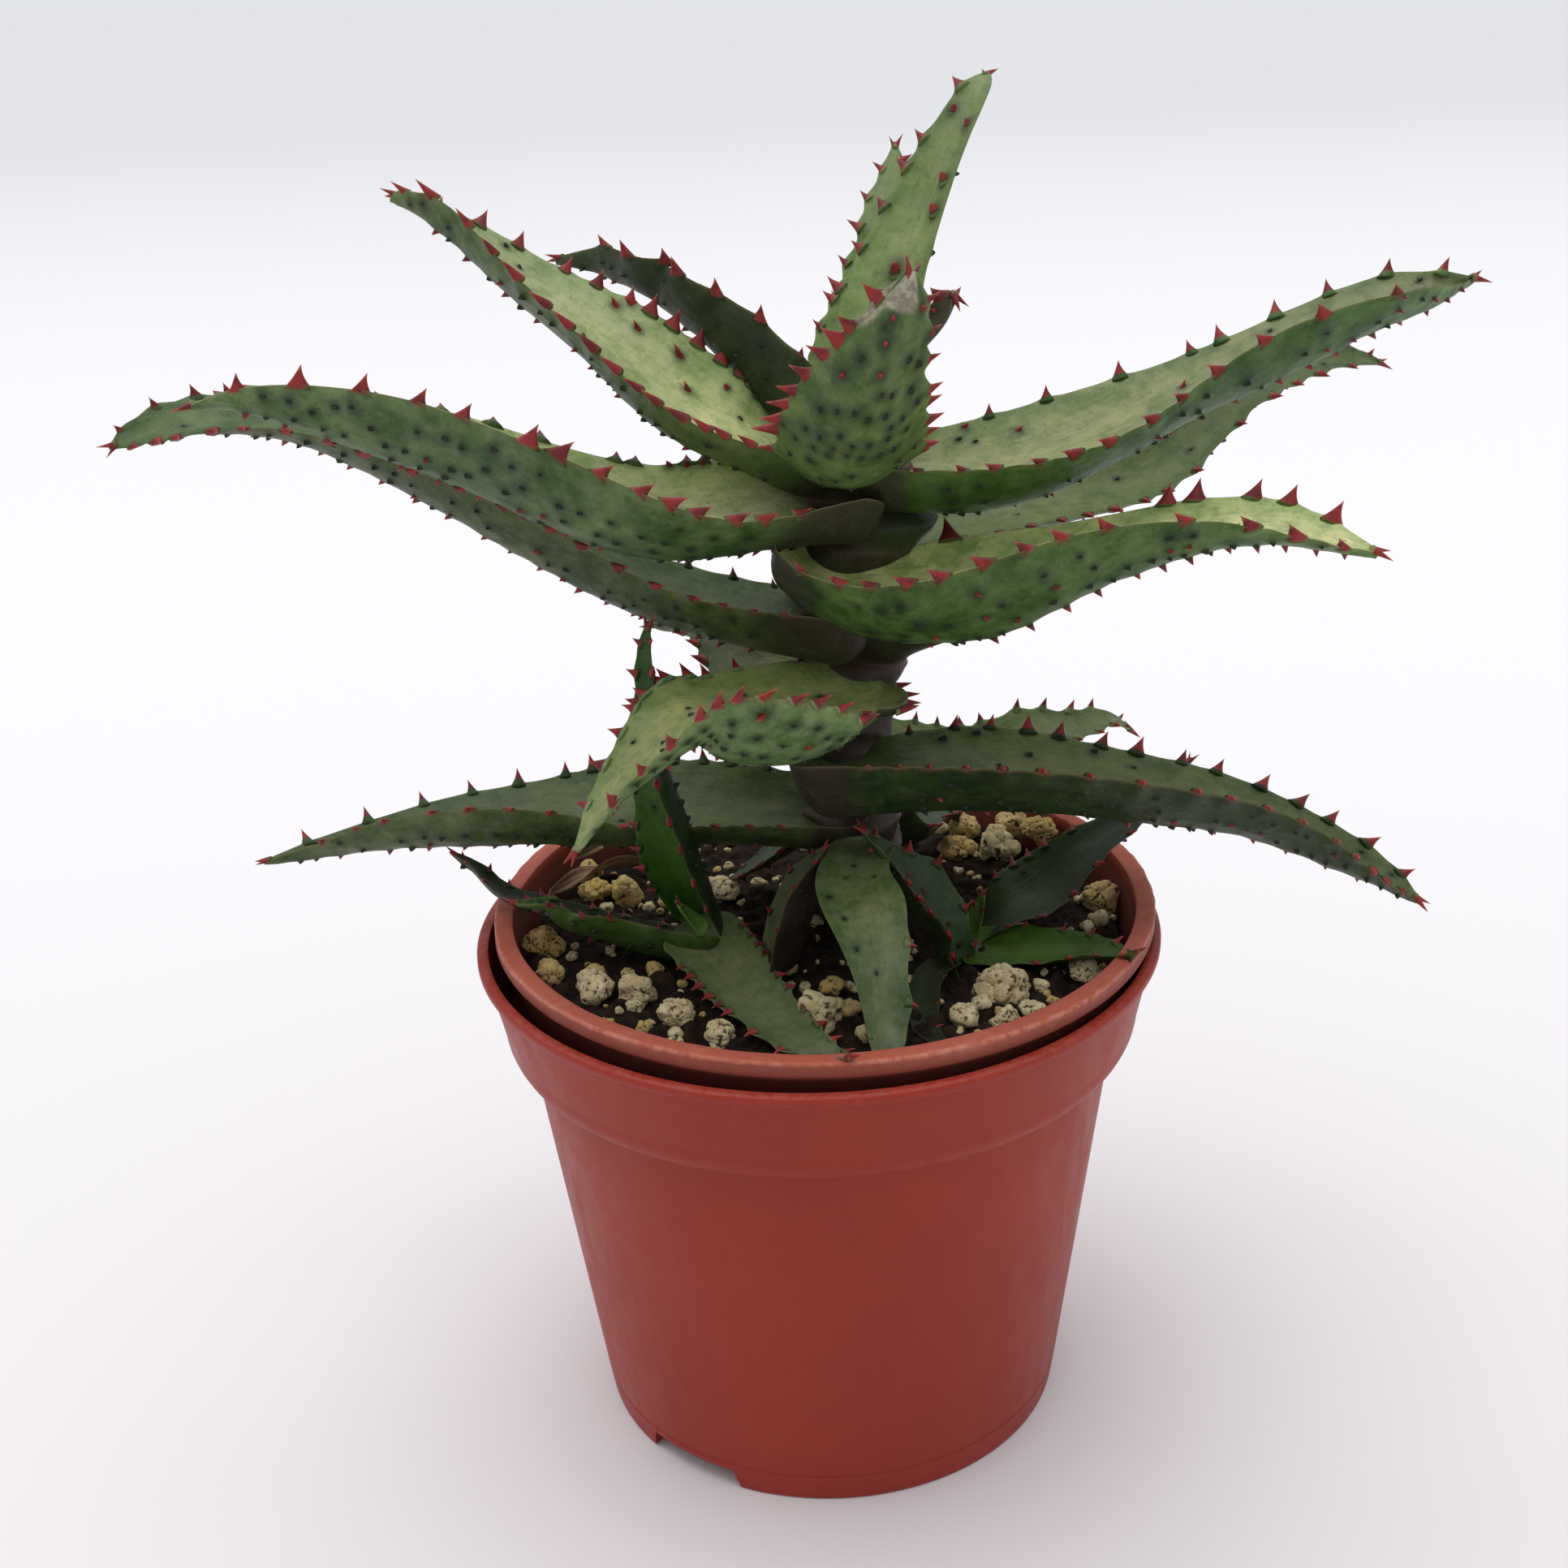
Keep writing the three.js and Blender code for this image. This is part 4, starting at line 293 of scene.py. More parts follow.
def fbm(p, seed=0, octaves=3):
    out, amp, tot = 0, 1.0, 0.0
    p = np.asarray(p, float)
    for o in range(octaves):
        out = out + amp * vnoise(p * 2**o + 17.3 * o, seed + o)
        tot += amp
        amp *= 0.5
    return out / tot


def smooth(a, b, x):
    t = np.clip((x - a) / (b - a), 0, 1)
    return t * t * (3 - 2 * t)


def unit(v):
    v = np.asarray(v, float)
    return v / np.maximum(np.linalg.norm(v, axis=-1, keepdims=True), 1e-12)


class Spline:
    """Natural cubic spline through equally spaced rows, over s in 0..1."""

    def __init__(self, rows):
        self.r = np.array(rows, float)
        n, dim = self.r.shape
        m = np.zeros((n, dim))
        a = np.zeros(n)
        b = np.zeros((n, dim))
        for i in range(1, n - 1):
            rhs = 6 * (self.r[i + 1] - 2 * self.r[i] + self.r[i - 1])
            p = 4 - a[i - 1]
            a[i] = 1 / p
            b[i] = (rhs - b[i - 1]) / p
        for i in range(n - 2, 0, -1):
            m[i] = b[i] - a[i] * m[i + 1]
        self.m = m

    def __call__(self, s):
        s = np.atleast_1d(np.asarray(s, float))
        n = len(self.r)
        x = np.clip(s, 0, 1) * (n - 1)
        i = np.minimum(np.floor(x).astype(int), n - 2)
        u = (x - i)[:, None]
        w = 1 - u
        return w * self.r[i] + u * self.r[i + 1] + ((w**3 - w) * self.m[i] + (u**3 - u) * self.m[i + 1]) / 6


class Geo:
    """Collects shells, with per-point values, into one mesh."""

    def __init__(self, *names, colours=()):
        self.names = names
        self.colours = colours
        self.c = {k: [] for k in colours}
        self.v, self.q, self.t, self.n = [], [], [], 0
        self.a = {k: [] for k in names}

    def add(self, v, quads=None, tris=None, **attrs):
        v = np.asarray(v, float).reshape(-1, 3)
        if quads is not None and len(quads):
            self.q.append(np.asarray(quads, int) + self.n)
        if tris is not None and len(tris):
            self.t.append(np.asarray(tris, int) + self.n)
        for k in self.names:
            x = attrs.get(k, 0.0)
            self.a[k].append(np.broadcast_to(np.asarray(x, float), (len(v),)).copy())
        for k in self.colours:
            self.c[k].append(np.broadcast_to(np.asarray([*attrs[k], 1.0], float), (len(v), 4)).copy())
        self.v.append(v)
        self.n += len(v)

    def make(self, name, sharp=None):
        me = bpy.data.meshes.new(name)
        v = (np.vstack(self.v) * 0.001 + SHIFT).astype(np.float32)
        q = np.vstack(self.q) if self.q else np.zeros((0, 4), int)
        t = np.vstack(self.t) if self.t else np.zeros((0, 3), int)
        loops = np.concatenate([q.ravel(), t.ravel()]).astype(np.int32)
        starts = np.concatenate([np.arange(len(q)) * 4, len(q) * 4 + np.arange(len(t)) * 3]).astype(np.int32)
        me.vertices.add(len(v))
        me.vertices.foreach_set("co", v.ravel())
        me.loops.add(len(loops))
        me.loops.foreach_set("vertex_index", loops)
        me.polygons.add(len(starts))
        me.polygons.foreach_set("loop_start", starts)
        me.polygons.foreach_set("use_smooth", np.ones(len(starts), bool))
        me.update(calc_edges=True)
        me.validate()
        for k in self.names:
            at = me.attributes.new(k, "FLOAT", "POINT")
            at.data.foreach_set("value", np.concatenate(self.a[k]).astype(np.float32))
        for k in self.colours:
            at = me.attributes.new(k, "FLOAT_COLOR", "POINT")
            at.data.foreach_set("color", np.vstack(self.c[k]).astype(np.float32).ravel())
        if sharp:
            me.set_sharp_from_angle(angle=math.radians(sharp))
        ob = bpy.data.objects.new(name, me)
        bpy.context.scene.collection.objects.link(ob)
        return ob


def outward(v, quads):
    """Turns the faces round if the closed shell's volume comes out negative."""
    a, b, c, d = (v[quads[:, k]] for k in range(4))
    vol = np.einsum("ij,ij->i", a, np.cross(b, c)).sum() + np.einsum("ij,ij->i", a, np.cross(c, d)).sum()
    return quads if vol > 0 else quads[:, ::-1]


def tube_faces(n, m):
    """Quads of n rings of m points, closed round."""
    i, j = np.meshgrid(np.arange(n - 1), np.arange(m), indexing="ij")
    a = i * m + j
    b = i * m + (j + 1) % m
    return np.stack([a, b, b + m, a + m], -1).reshape(-1, 4)


# ------------------------------------------------------------------ leaves
def spine(geo, base, axis, along, height, half_len, half_thick, bend=0.0, rings=7, sides=8, sink=0.6, red=1.0, spot=0.0, green=0.0, dome=0.0, **keep):
    """A closed, flattened, flared thorn: its foot is sunk in the leaf."""
    axis = unit(axis)
    along = unit(along - axis * np.dot(along, axis))
    side = np.cross(axis, along)
    h = np.linspace(0, 1, rings + 1)[:-1]
    full = height + sink
    fl = (0.42 * (1 - h) ** 2.8 + 0.58 * (1 - h) ** 1.05) * (1 - dome) + dome * (1 - h**1.7) ** 0.7
    ring = np.linspace(0, 2 * np.pi, sides, endpoint=False)
    v = []
    for k, hh in enumerate(h):
        c = base + axis * (-sink + full * hh) + along * bend * hh * hh
        v.append(c + np.outer(np.cos(ring), along) * half_len * fl[k] + np.outer(np.sin(ring), side) * half_thick * (1 - hh) ** 0.9)
    v = np.vstack(v)
    n = len(v)
    tip = base + axis * height + along * bend
    foot = base - axis * sink
    v = np.vstack([v, tip, foot])
    quads = tube_faces(rings, sides)
    last = (rings - 1) * sides
    j = np.arange(sides)
    tris = np.vstack([np.stack([last + j, last + (j + 1) % sides, np.full(sides, n)], -1), np.stack([(j + 1) % sides, j, np.full(sides, n + 1)], -1)])
    a, b, c, d = (v[quads[:, k]] - foot for k in range(4))
    if np.einsum("ij,ij->i", a, np.cross(b, c)).sum() + np.einsum("ij,ij->i", a, np.cross(c, d)).sum() < 0:
        quads, tris = quads[:, ::-1], tris[:, ::-1]
    up = np.concatenate([np.repeat(np.clip((full * h - sink * 0.5) / height, 0, 1), sides), [1.0, 0.0]])
    geo.add(v, quads, tris, tooth=np.clip((up - green) / (1 - green), 0, 1) * red, spot=spot * np.clip(up * 3, 0, 1), **keep)


def frames(curve, s, facing):
    e = 0.004
    T = unit(curve(np.minimum(1, s + e))[:, :3] - curve(np.maximum(0, s - e))[:, :3])
    U = unit(np.array(facing, float))
    N = unit(U - T * (T @ U)[:, None])
    B = np.cross(T, N)
    row = curve(s)
    roll = np.radians(row[:, 5])[:, None]
    N2 = np.cos(roll) * N + np.sin(roll) * B
    B2 = np.cos(roll) * B - np.sin(roll) * N
    return row[:, :3], T, N2, B2, np.maximum(row[:, 3], 0.25), np.maximum(row[:, 4], 0.22)


def depths(t, k, edge):
    """Depth below the margins' plane of the upper and the lower face, with a rounded margin."""
    up = 0.42 * k * (1 - t**2)
    low = k * (1 - np.abs(t) ** 1.8)
    mid, half = (up + low) / 2, (low - up) / 2
    b = np.minimum(edge / (0.29 * k), 0.9)
    half = half * (1 - b) + edge * np.sqrt(np.clip(1 - t**2, 0, 1))
    return mid - half, mid + half


def fill_teeth(seen, rng, length, first=0.05, last=0.95):
    """The seen spine places, with evenly spaced ones put where a stretch is hidden."""
    step = lambda s: (3.6 + 3.2 * s) / length
    out = sorted(x for x in (seen or []) if x <= 1.0)
    merged = []
    for x in out:
        if not merged or x - merged[-1] > 1.4 / length:
            merged.append(x)
    out = merged
    marks = [first - step(first) * 0.6, *out, last + step(last) * 0.6]
    extra = []
    for a, b in zip(marks[:-1], marks[1:]):
        gap = b - a
        n = int(round(gap / step((a + b) / 2) * 0.92)) - 1
        if gap > 2.0 * step((a + b) / 2) and n > 0:
            for i in range(n):
                s = a + gap * (i + 1) / (n + 1) + rng.uniform(-0.15, 0.15) * gap / (n + 1)
                extra.append((s, 0))
    full = [(x, 1) for x in out if first * 0.4 < x < 0.975] + [(s, k) for s, k in extra if first < s < last]
    return sorted(full)


LEAF_ATTRS = ("tooth", "spot", "halo", "side", "s", "across", "arc", "edge", "scar", "dust", "mottle", "foot")


def leaf(name):
    rows = np.array(LEAVES[name], float)
    facing = FACING.get(name, [0, 0, 1])
    top_rgb, low_rgb, dust, size, warts, foot_len, mottle = LOOK[name]
    pup = name.startswith("pup")
    seed = sum(ord(c) * (i + 3) for i, c in enumerate(name))
    rng = np.random.default_rng(seed)
    curve = Spline(rows)
    fine = np.linspace(0, 1, 400)
    pts = curve(fine)[:, :3]
    arc_f = np.concatenate([[0], np.cumsum(np.linalg.norm(np.diff(pts, axis=0), axis=1))])
    length = arc_f[-1]
    wmax = rows[:, 3].max()
    n = int(np.clip(length / 0.6, 34, 190))
    s = np.interp(np.linspace(0, length, n), arc_f, fine)
    begin = START.get(name, 0.0)
    s = begin + s * (1 - begin)
    nt = int(np.clip(2 * wmax / 0.72, 12, 34))
    tt = np.concatenate([[-1, -0.996, -0.984, -0.965], np.linspace(-0.94, 0.94, nt), [0.965, 0.984, 0.996, 1]])
    # round once: upper face from M margin to P margin, then the lower face back
    t = np.concatenate([tt, tt[-2:0:-1]])
    upper = np.concatenate([np.ones(len(tt)), np.zeros(len(tt) - 2)])
    m = len(t)
    C, T, N, B, w, k = frames(curve, s, facing)
    foot = np.array([0.995, 0.97, 0.92, 0.84, 0.73, 0.6, 0.45, 0.28, 0.12])
    C0 = C[:1] - T[:1] * (foot * 0.45 * w[0])[:, None]
    rep = lambda a: np.concatenate([np.repeat(a[:1], len(foot), 0), a])
    C = np.concatenate([C0, C])
    T, N, B = rep(T), rep(N), rep(B)
    scale = np.concatenate([np.sqrt(1 - foot**2), np.ones(n)])
    w, k = rep(w) * scale, rep(k) * scale
    arc = np.concatenate([np.interp(begin, fine, arc_f) - foot * 0.45 * rows[0, 3], np.interp(s, fine, arc_f)])
    s_all = np.concatenate([np.zeros(len(foot)), s])
    edge = np.minimum(0.46 if not pup else 0.34, 0.5 * w)
    tp, tm = (fill_teeth(TEETH[name][i], rng, length) if (name, i) not in BARE else [(x, 1) for x in TEETH[name][i] or []] for i in (0, 1))
    if name == "pup_a_leaf_6":
        tp, tm = [], []
    tp, tm = ([q for q in row if q[0] > begin] for row in (tp, tm))
    # scalloped outline: a low swelling under each spine, drawn in a little between them
    W = np.repeat(w[:, None], m, 1)
    halo = np.zeros((len(w), m))
    for places, sign in ((tp, 1), (tm, -1)):
        bump = np.zeros(len(w))
        for x, _ in places:
            a0 = np.interp(x, fine, arc_f)
            bump = np.maximum(bump, np.exp(-(((arc - a0) / 1.7) ** 2)))
        near = np.clip(t * sign, 0, 1)[None, :] ** 6
        W = W + (bump[:, None] * 1.0 - 0.35) * size * near * np.minimum(1, w / 3)[:, None]
        halo = np.maximum(halo, bump[:, None] * np.clip(t * sign, 0, 1)[None, :] ** 14)
    up, low = depths(t[None, :], k[:, None], edge[:, None])
    depth = np.where(upper[None, :] > 0, up, low)
    P = C[:, None] + B[:, None] * (t[None, :] * W)[..., None] - N[:, None] * depth[..., None]
    # surface normals from the grid
    du = np.gradient(P, axis=0)
    dv = np.roll(P, -1, 1) - np.roll(P, 1, 1)
    nor = unit(np.cross(dv, du))
    mid = C - N * (0.7 * k)[:, None]
    if (nor * (P - mid[:, None])).sum() < 0:
        nor = -nor
    # soft unevenness, long shallow grooves, and thumb-size dents
    q = np.stack([np.repeat(arc[:, None], m, 1) / 9.0, t[None, :] * w[:, None] / 5.0 + upper[None, :] * 7.0, np.full((len(arc), m), seed % 97)], -1).reshape(-1, 3)
    body = smooth(0, 0.06, s_all)[:, None] * np.minimum(1, w / 4)[:, None]
    d = (fbm(q, seed % 1000, 2).reshape(len(arc), m) - 0.5) * 0.55
    q2 = q * [0.35, 5.2, 1.0]
    d = d + (fbm(q2, seed % 1000 + 5, 2).reshape(len(arc), m) - 0.5) * 0.16
    d = d * body * (1 - np.abs(t[None, :]) ** 8)
    # warts, keel teeth and the listed face spots, gathered as lumps
    spot = np.zeros((len(arc), m))
    scar = np.zeros((len(arc), m))
    lay = arc[:, None], t[None, :] * w[:, None] * 1.12
    lumps = []
    area = length * wmax * 2 * 0.8 / 100
    for _ in range(int(area * warts)):  # warts below, in loose rows
        for _try in range(12):
            ss = rng.uniform(0.08, 0.93)
            cr = round(rng.uniform(-0.82, 0.82) * 5) / 5 + rng.uniform(-0.05, 0.05)
            a0 = np.interp(ss, fine, arc_f)
            ww = float(curve(ss)[0][3])
            if all(abs(a0 - o[2]) > 2.1 or abs(cr - o[4]) * ww > 1.7 or o[0] > 0 for o in lumps):
                break
        else:
            continue
        lumps.append([-1, ss, a0, ww, cr, rng.uniform(0.5, 0.8), rng.uniform(0.35, 0.6), 1.0 if rng.random() < 0.12 else 0.0])
    for _ in range(int(area * warts * 0.1)):  # a few on the upper face
        ss, cr = rng.uniform(0.1, 0.9), rng.uniform(-0.75, 0.75)
        lumps.append([1, ss, np.interp(ss, fine, arc_f), float(curve(ss)[0][3]), cr, rng.uniform(0.45, 0.65), rng.uniform(0.2, 0.35), 0.0])
    if name in KEELS:  # small teeth along the keel
        k0, k1, gap, tall = KEELS[name]
        pos = k0 * length
        while pos < k1 * length:
            ss = float(np.interp(pos, arc_f, fine))
            cr = rng.uniform(-0.07, 0.07)
            lumps = [o for o in lumps if o[0] > 0 or abs(o[2] - pos) > 2.2 or abs(o[4] - cr) * o[3] > 2.0]
            lumps.append([-1, ss, pos, float(curve(ss)[0][3]), cr, 1.0, tall * rng.uniform(0.8, 1.15), 2.0])
            pos += gap * rng.uniform(0.75, 1.25)
    placed = []
    for side_, ss, cr, r_, h_, red_ in SPOTS.get(name, []):
        lumps = [o for o in lumps if o[0] != side_ or abs(o[1] - ss) * length > 2.6 or abs(o[4] - cr) * o[3] > 2.2]
        placed.append([side_, ss, np.interp(ss, fine, arc_f), float(curve(ss)[0][3]), cr, r_, h_, red_])
    lumps += placed
    lumps = [o for o in lumps if o[1] > begin + 0.02]
    for side_, ss, a0, ww, cr, r_, h_, red_ in lumps:
        dd = ((lay[0] - a0) / 1.15) ** 2 + (lay[1] - cr * ww * 1.12) ** 2
        g = np.exp(-dd / (r_ * 1.6) ** 2) * (upper[None, :] == (1.0 if side_ > 0 else 0.0))
        d = d + 0.4 * min(h_, 0.6) * g
        spot = np.maximum(spot, 0.7 * g)
    if name == "leaf_03":  # an old grey graze near the tip
        g = np.exp(-(((s_all[:, None] - 0.93) / 0.10) ** 4) - ((t[None, :] - 0.35) / 0.75) ** 4) * (upper[None, :] == 0)
        g = np.maximum(g, np.exp(-(((s_all[:, None] - 0.84) / 0.12) ** 2) - ((t[None, :] - 0.95) / 0.25) ** 2))
        scar = g
        d = d - 0.45 * g + 0.35 * g * (fbm(q * [5.0, 5.0, 1.0], 77, 3).reshape(len(arc), m) - 0.5)
    P = P + nor * d[..., None]
    geo = Geo(*LEAF_ATTRS, colours=("top", "low"))
    keep = dict(dust=dust, mottle=mottle, top=lin(*top_rgb), low=lin(*low_rgb))
    quads = tube_faces(len(arc), m)
    V = P.reshape(-1, 3)
    end = len(V)
    V = np.vstack([V, C[-1] + T[-1] * 0.2, C[0] - T[0] * 0.02 - N[0] * 0.5 * k[0]])
    j = np.arange(m)
    last = (len(arc) - 1) * m
    tris = np.vstack([np.stack([last + j, last + (j + 1) % m, np.full(m, end)], -1), np.stack([(j + 1) % m, j, np.full(m, end + 1)], -1)])
    c = V.mean(0)
    a_, b_, c_, d_ = (V[quads[:, x]] - c for x in range(4))
    if np.einsum("ij,ij->i", a_, np.cross(b_, c_)).sum() + np.einsum("ij,ij->i", a_, np.cross(c_, d_)).sum() < 0:
        quads, tris = quads[:, ::-1], tris[:, ::-1]
    full = lambda g, e=0.0: np.concatenate([np.asarray(g, float).reshape(-1), [e, e]])
    geo.add(
        V, quads, tris,
        side=full(np.repeat(upper[None, :], len(arc), 0)),
        s=full(np.repeat(s_all[:, None], m, 1), 1.0),
        across=full(t[None, :] * w[:, None]),
        arc=full(np.repeat(arc[:, None], m, 1)),
        edge=full(np.repeat(np.abs(t)[None, :], len(arc), 0), 1.0),
        halo=full(halo), spot=full(spot), scar=full(scar),
        foot=full(np.repeat((1 - smooth(0, 1, arc / max(foot_len * length, 0.1)))[:, None], m, 1)) if foot_len else 0.0,
        **keep,
    )

    def at(ss, cr, side_):
        c, tt_, nn, bb, ww, kk = frames(curve, np.array([ss]), facing)
        e = min(0.46, 0.5 * ww[0])
        u_, l_ = depths(np.array([cr]), kk[0], e)
        h = 0.02
        u2, l2 = depths(np.array([cr + (h if cr < 0.97 else -h)]), kk[0], e)
        dep, dep2 = (u_[0], u2[0]) if side_ > 0 else (l_[0], l2[0])
        slope = (dep2 - dep) / ((h if cr < 0.97 else -h) * ww[0])
        p = c[0] + bb[0] * cr * ww[0] - nn[0] * dep
        n_ = unit(nn[0] + bb[0] * slope) * (1 if side_ > 0 else -1)
        return p, tt_[0], n_, bb[0], nn[0], ww[0], kk[0]

    # marginal spines
    for n_edge, (places, sign) in enumerate(((tp, 1), (tm, -1))):
        claw = CLAWS.get(name, (None, None))[n_edge]
        for x, seen in places:
            p, T_, n_, B_, N_, w_, k_ = at(x, 0.0, 1)
            base = curve(x)[0][:3] + B_ * sign * (w_ + 0.15 * size)
            grow = (0.55 + 0.45 * smooth(0.0, 0.25, x)) * (1 - 0.25 * smooth(0.8, 1.0, x)) * size * rng.uniform(0.85, 1.12)
            rise = min(1.32 * k_ / w_, 1.25) * 0.75
            lean = rng.uniform(0.28, 0.5)
            if claw:
                out_, up_, fore, fore_tip, tall, half = claw
                fore += (fore_tip - fore) * float(smooth(0.25, 0.55, x))
                j1, j2 = rng.uniform(-0.12, 0.12), rng.uniform(-0.15, 0.15)
                axis = unit(B_ * sign * out_ + N_ * (up_ + j1) + T_ * (fore + j2))
            else:
                axis = unit(B_ * sign + N_ * rise + T_ * lean)
                fore, tall, half = 0.4, 2.2, 1.6
            bend = (0.35 if fore >= 0 else -0.45) * grow
            spine(geo, base - B_ * sign * 0.1 - T_ * fore * 0.5 * grow, axis, T_, tall * grow, half * grow, 0.75 * grow, bend=bend, sink=0.55, green=GREEN.get((name, n_edge), 0.0), s=x, edge=0.9, side=0.0, across=sign * w_, arc=x * length, **keep)
    # warts and spines on the faces: 0 a green wart, 1 a red-tipped one, 2 a keel tooth, 3 a red spine
    for side_, ss, a0, ww, cr, r_, h_, red_ in lumps:
        p, T_, n_, B_, N_, w_, k_ = at(ss, cr, side_)
        own = dict(s=ss, side=float(side_ > 0), across=cr * w_, arc=a0, **keep)
        if red_ > 2.5:
            spine(geo, p + n_ * 0.2, unit(n_ + T_ * 0.5), T_, h_, r_, r_ * 0.62, bend=0.3 * h_, rings=6, sides=8, sink=0.6, red=1.0, spot=1.0, dome=0.2, **own)
        elif red_ > 1.5:
            spine(geo, p + n_ * 0.15, unit(n_ + T_ * 0.35), T_, h_, r_, r_ * 0.6, bend=0.2, rings=5, sides=8, sink=0.6, red=0.9, spot=0.9, green=0.4, dome=0.2, **own)
        elif red_ > 0.5:
            spine(geo, p, unit(n_ + T_ * 0.5), T_, max(h_, 0.7) + 0.25, r_ * 1.05, r_ * 0.85, bend=0.15, rings=5, sides=8, sink=0.4, red=0.9, spot=1.0, green=0.35, dome=0.4, **own)
        else:
            spine(geo, p, unit(n_ + T_ * 0.35), T_, h_ + 0.25, r_ * 1.05, r_ * 0.9, bend=0.12, rings=5, sides=8, sink=0.4, red=0.0, spot=1.0, dome=0.75, **own)
    if name == "leaf_12":  # a fringe of spines round the clasping foot
        C_, T_, N_, B_, w_, k_ = (a[0] for a in frames(curve, np.array([0.0]), facing))
        for t_ in (0.95, 0.62, 0.25, -0.15, -0.55):
            p = C_ + B_ * t_ * w_ - T_ * 0.42 * w_ * math.sqrt(1 - 0.8 * t_**2) - N_ * 0.42 * k_ * (1 - t_**2)
            spine(geo, p, unit(-T_ + N_ * rng.uniform(0.0, 0.3) + B_ * rng.uniform(-0.1, 0.25)), B_, 2.4 * rng.uniform(0.85, 1.1), 1.2, 0.7, bend=0.2, sink=0.8, s=0.0, edge=1.0, side=0.5, arc=0.0, **keep)
    # the tip ends in a pair of spines
    p, T_, n_, B_, N_, w_, k_ = at(0.985, 0.0, 1)
    tip = curve(1.0)[0][:3]
    for sign, big in ((1, 1.0), (-1, 0.85)):
        z = size * big * (1.25 if not pup else 1.5)
        spine(geo, tip - T_ * 0.5 + B_ * sign * 0.25, unit(T_ + B_ * sign * 0.42 + N_ * 0.12), B_, 2.1 * z, 0.6 * z, 0.5 * z, bend=0.1 * sign, sink=0.7, s=1.0, edge=1.0, side=0.5, arc=length, **keep)
    ob = geo.make("look_" + name)
    return ob


# ------------------------------------------------------------------ materials
class Tree:
    """Short hand for building a node tree."""

    def __init__(self, name):
        self.mat = bpy.data.materials.new(name)
        self.mat.use_nodes = True
        self.nt = self.mat.node_tree
        self.nt.nodes.clear()
        self.out = self.nt.nodes.new("ShaderNodeOutputMaterial")
        self.bsdf = self.nt.nodes.new("ShaderNodeBsdfPrincipled")
        self.nt.links.new(self.bsdf.outputs[0], self.out.inputs[0])

    def put(self, sock, val):
        if isinstance(val, bpy.types.NodeSocket):
            self.nt.links.new(val, sock)
        elif val is not None:
            if sock.type == "RGBA" and len(val) == 3:
                val = (*val, 1.0)
            sock.default_value = val

    def attr(self, name):
        n = self.nt.nodes.new("ShaderNodeAttribute")
        n.attribute_type = "GEOMETRY"
        n.attribute_name = name
        return n.outputs["Fac"]

    def tint(self, name):
        n = self.nt.nodes.new("ShaderNodeAttribute")
        n.attribute_type = "GEOMETRY"
        n.attribute_name = name
        return n.outputs["Color"]

    def coords(self):
        return self.nt.nodes.new("ShaderNodeTexCoord").outputs["Object"]

    def math(self, op, a, b=None, c=None, clamp=False):
        n = self.nt.nodes.new("ShaderNodeMath")
        n.operation = op
        n.use_clamp = clamp
        self.put(n.inputs[0], a)
        if b is not None:
            self.put(n.inputs[1], b)
        if c is not None:
            self.put(n.inputs[2], c)
        return n.outputs[0]

    def mul(self, a, b, clamp=False):
        return self.math("MULTIPLY", a, b, clamp=clamp)

    def add(self, a, b, clamp=False):
        return self.math("ADD", a, b, clamp=clamp)

    def range(self, x, a, b, c=0.0, d=1.0):
        n = self.nt.nodes.new("ShaderNodeMapRange")
        n.interpolation_type = "SMOOTHSTEP"
        self.put(n.inputs["Value"], x)
        for k, v in zip(("From Min", "From Max", "To Min", "To Max"), (a, b, c, d)):
            n.inputs[k].default_value = v
        return n.outputs["Result"]

    def mix(self, fac, a, b, blend="MIX"):
        n = self.nt.nodes.new("ShaderNodeMix")
        n.data_type = "RGBA"
        n.blend_type = blend
        n.clamp_factor = True
        self.put(n.inputs[0], fac)
        self.put(n.inputs[6], a)
        self.put(n.inputs[7], b)
        return n.outputs[2]

    def noise(self, vec, scale, detail=3.0, rough=0.55, dist=0.0):
        n = self.nt.nodes.new("ShaderNodeTexNoise")
        self.put(n.inputs["Vector"], vec)
        n.inputs["Scale"].default_value = scale
        n.inputs["Detail"].default_value = detail
        n.inputs["Roughness"].default_value = rough
        n.inputs["Distortion"].default_value = dist
        return n.outputs["Fac"]

    def voronoi(self, vec, scale, feature="F1"):
        n = self.nt.nodes.new("ShaderNodeTexVoronoi")
        n.feature = feature
        self.put(n.inputs["Vector"], vec)
        n.inputs["Scale"].default_value = scale
        return n.outputs["Distance"]

    def vec(self, x, y, z):
        n = self.nt.nodes.new("ShaderNodeCombineXYZ")
        for i, v in enumerate((x, y, z)):
            self.put(n.inputs[i], v)
        return n.outputs[0]

    def scale(self, vec, s):
        n = self.nt.nodes.new("ShaderNodeVectorMath")
        n.operation = "MULTIPLY"
        self.put(n.inputs[0], vec)
        n.inputs[1].default_value = s
        return n.outputs[0]

    def split(self, vec):
        n = self.nt.nodes.new("ShaderNodeSeparateXYZ")
        self.put(n.inputs[0], vec)
        return n.outputs

    def bump(self, height, strength, distance, normal=None):
        n = self.nt.nodes.new("ShaderNodeBump")
        n.inputs["Strength"].default_value = strength
        n.inputs["Distance"].default_value = distance
        self.put(n.inputs["Height"], height)
        if normal is not None:
            self.put(n.inputs["Normal"], normal)
        return n.outputs[0]

    def finish(self, colour, rough, normal=None, **sockets):
        self.put(self.bsdf.inputs["Base Color"], colour)
        self.put(self.bsdf.inputs["Roughness"], rough)
        if normal is not None:
            self.put(self.bsdf.inputs["Normal"], normal)
        for k, v in sockets.items():
            self.bsdf.inputs[k.replace("_", " ")].default_value = v
        return self.mat


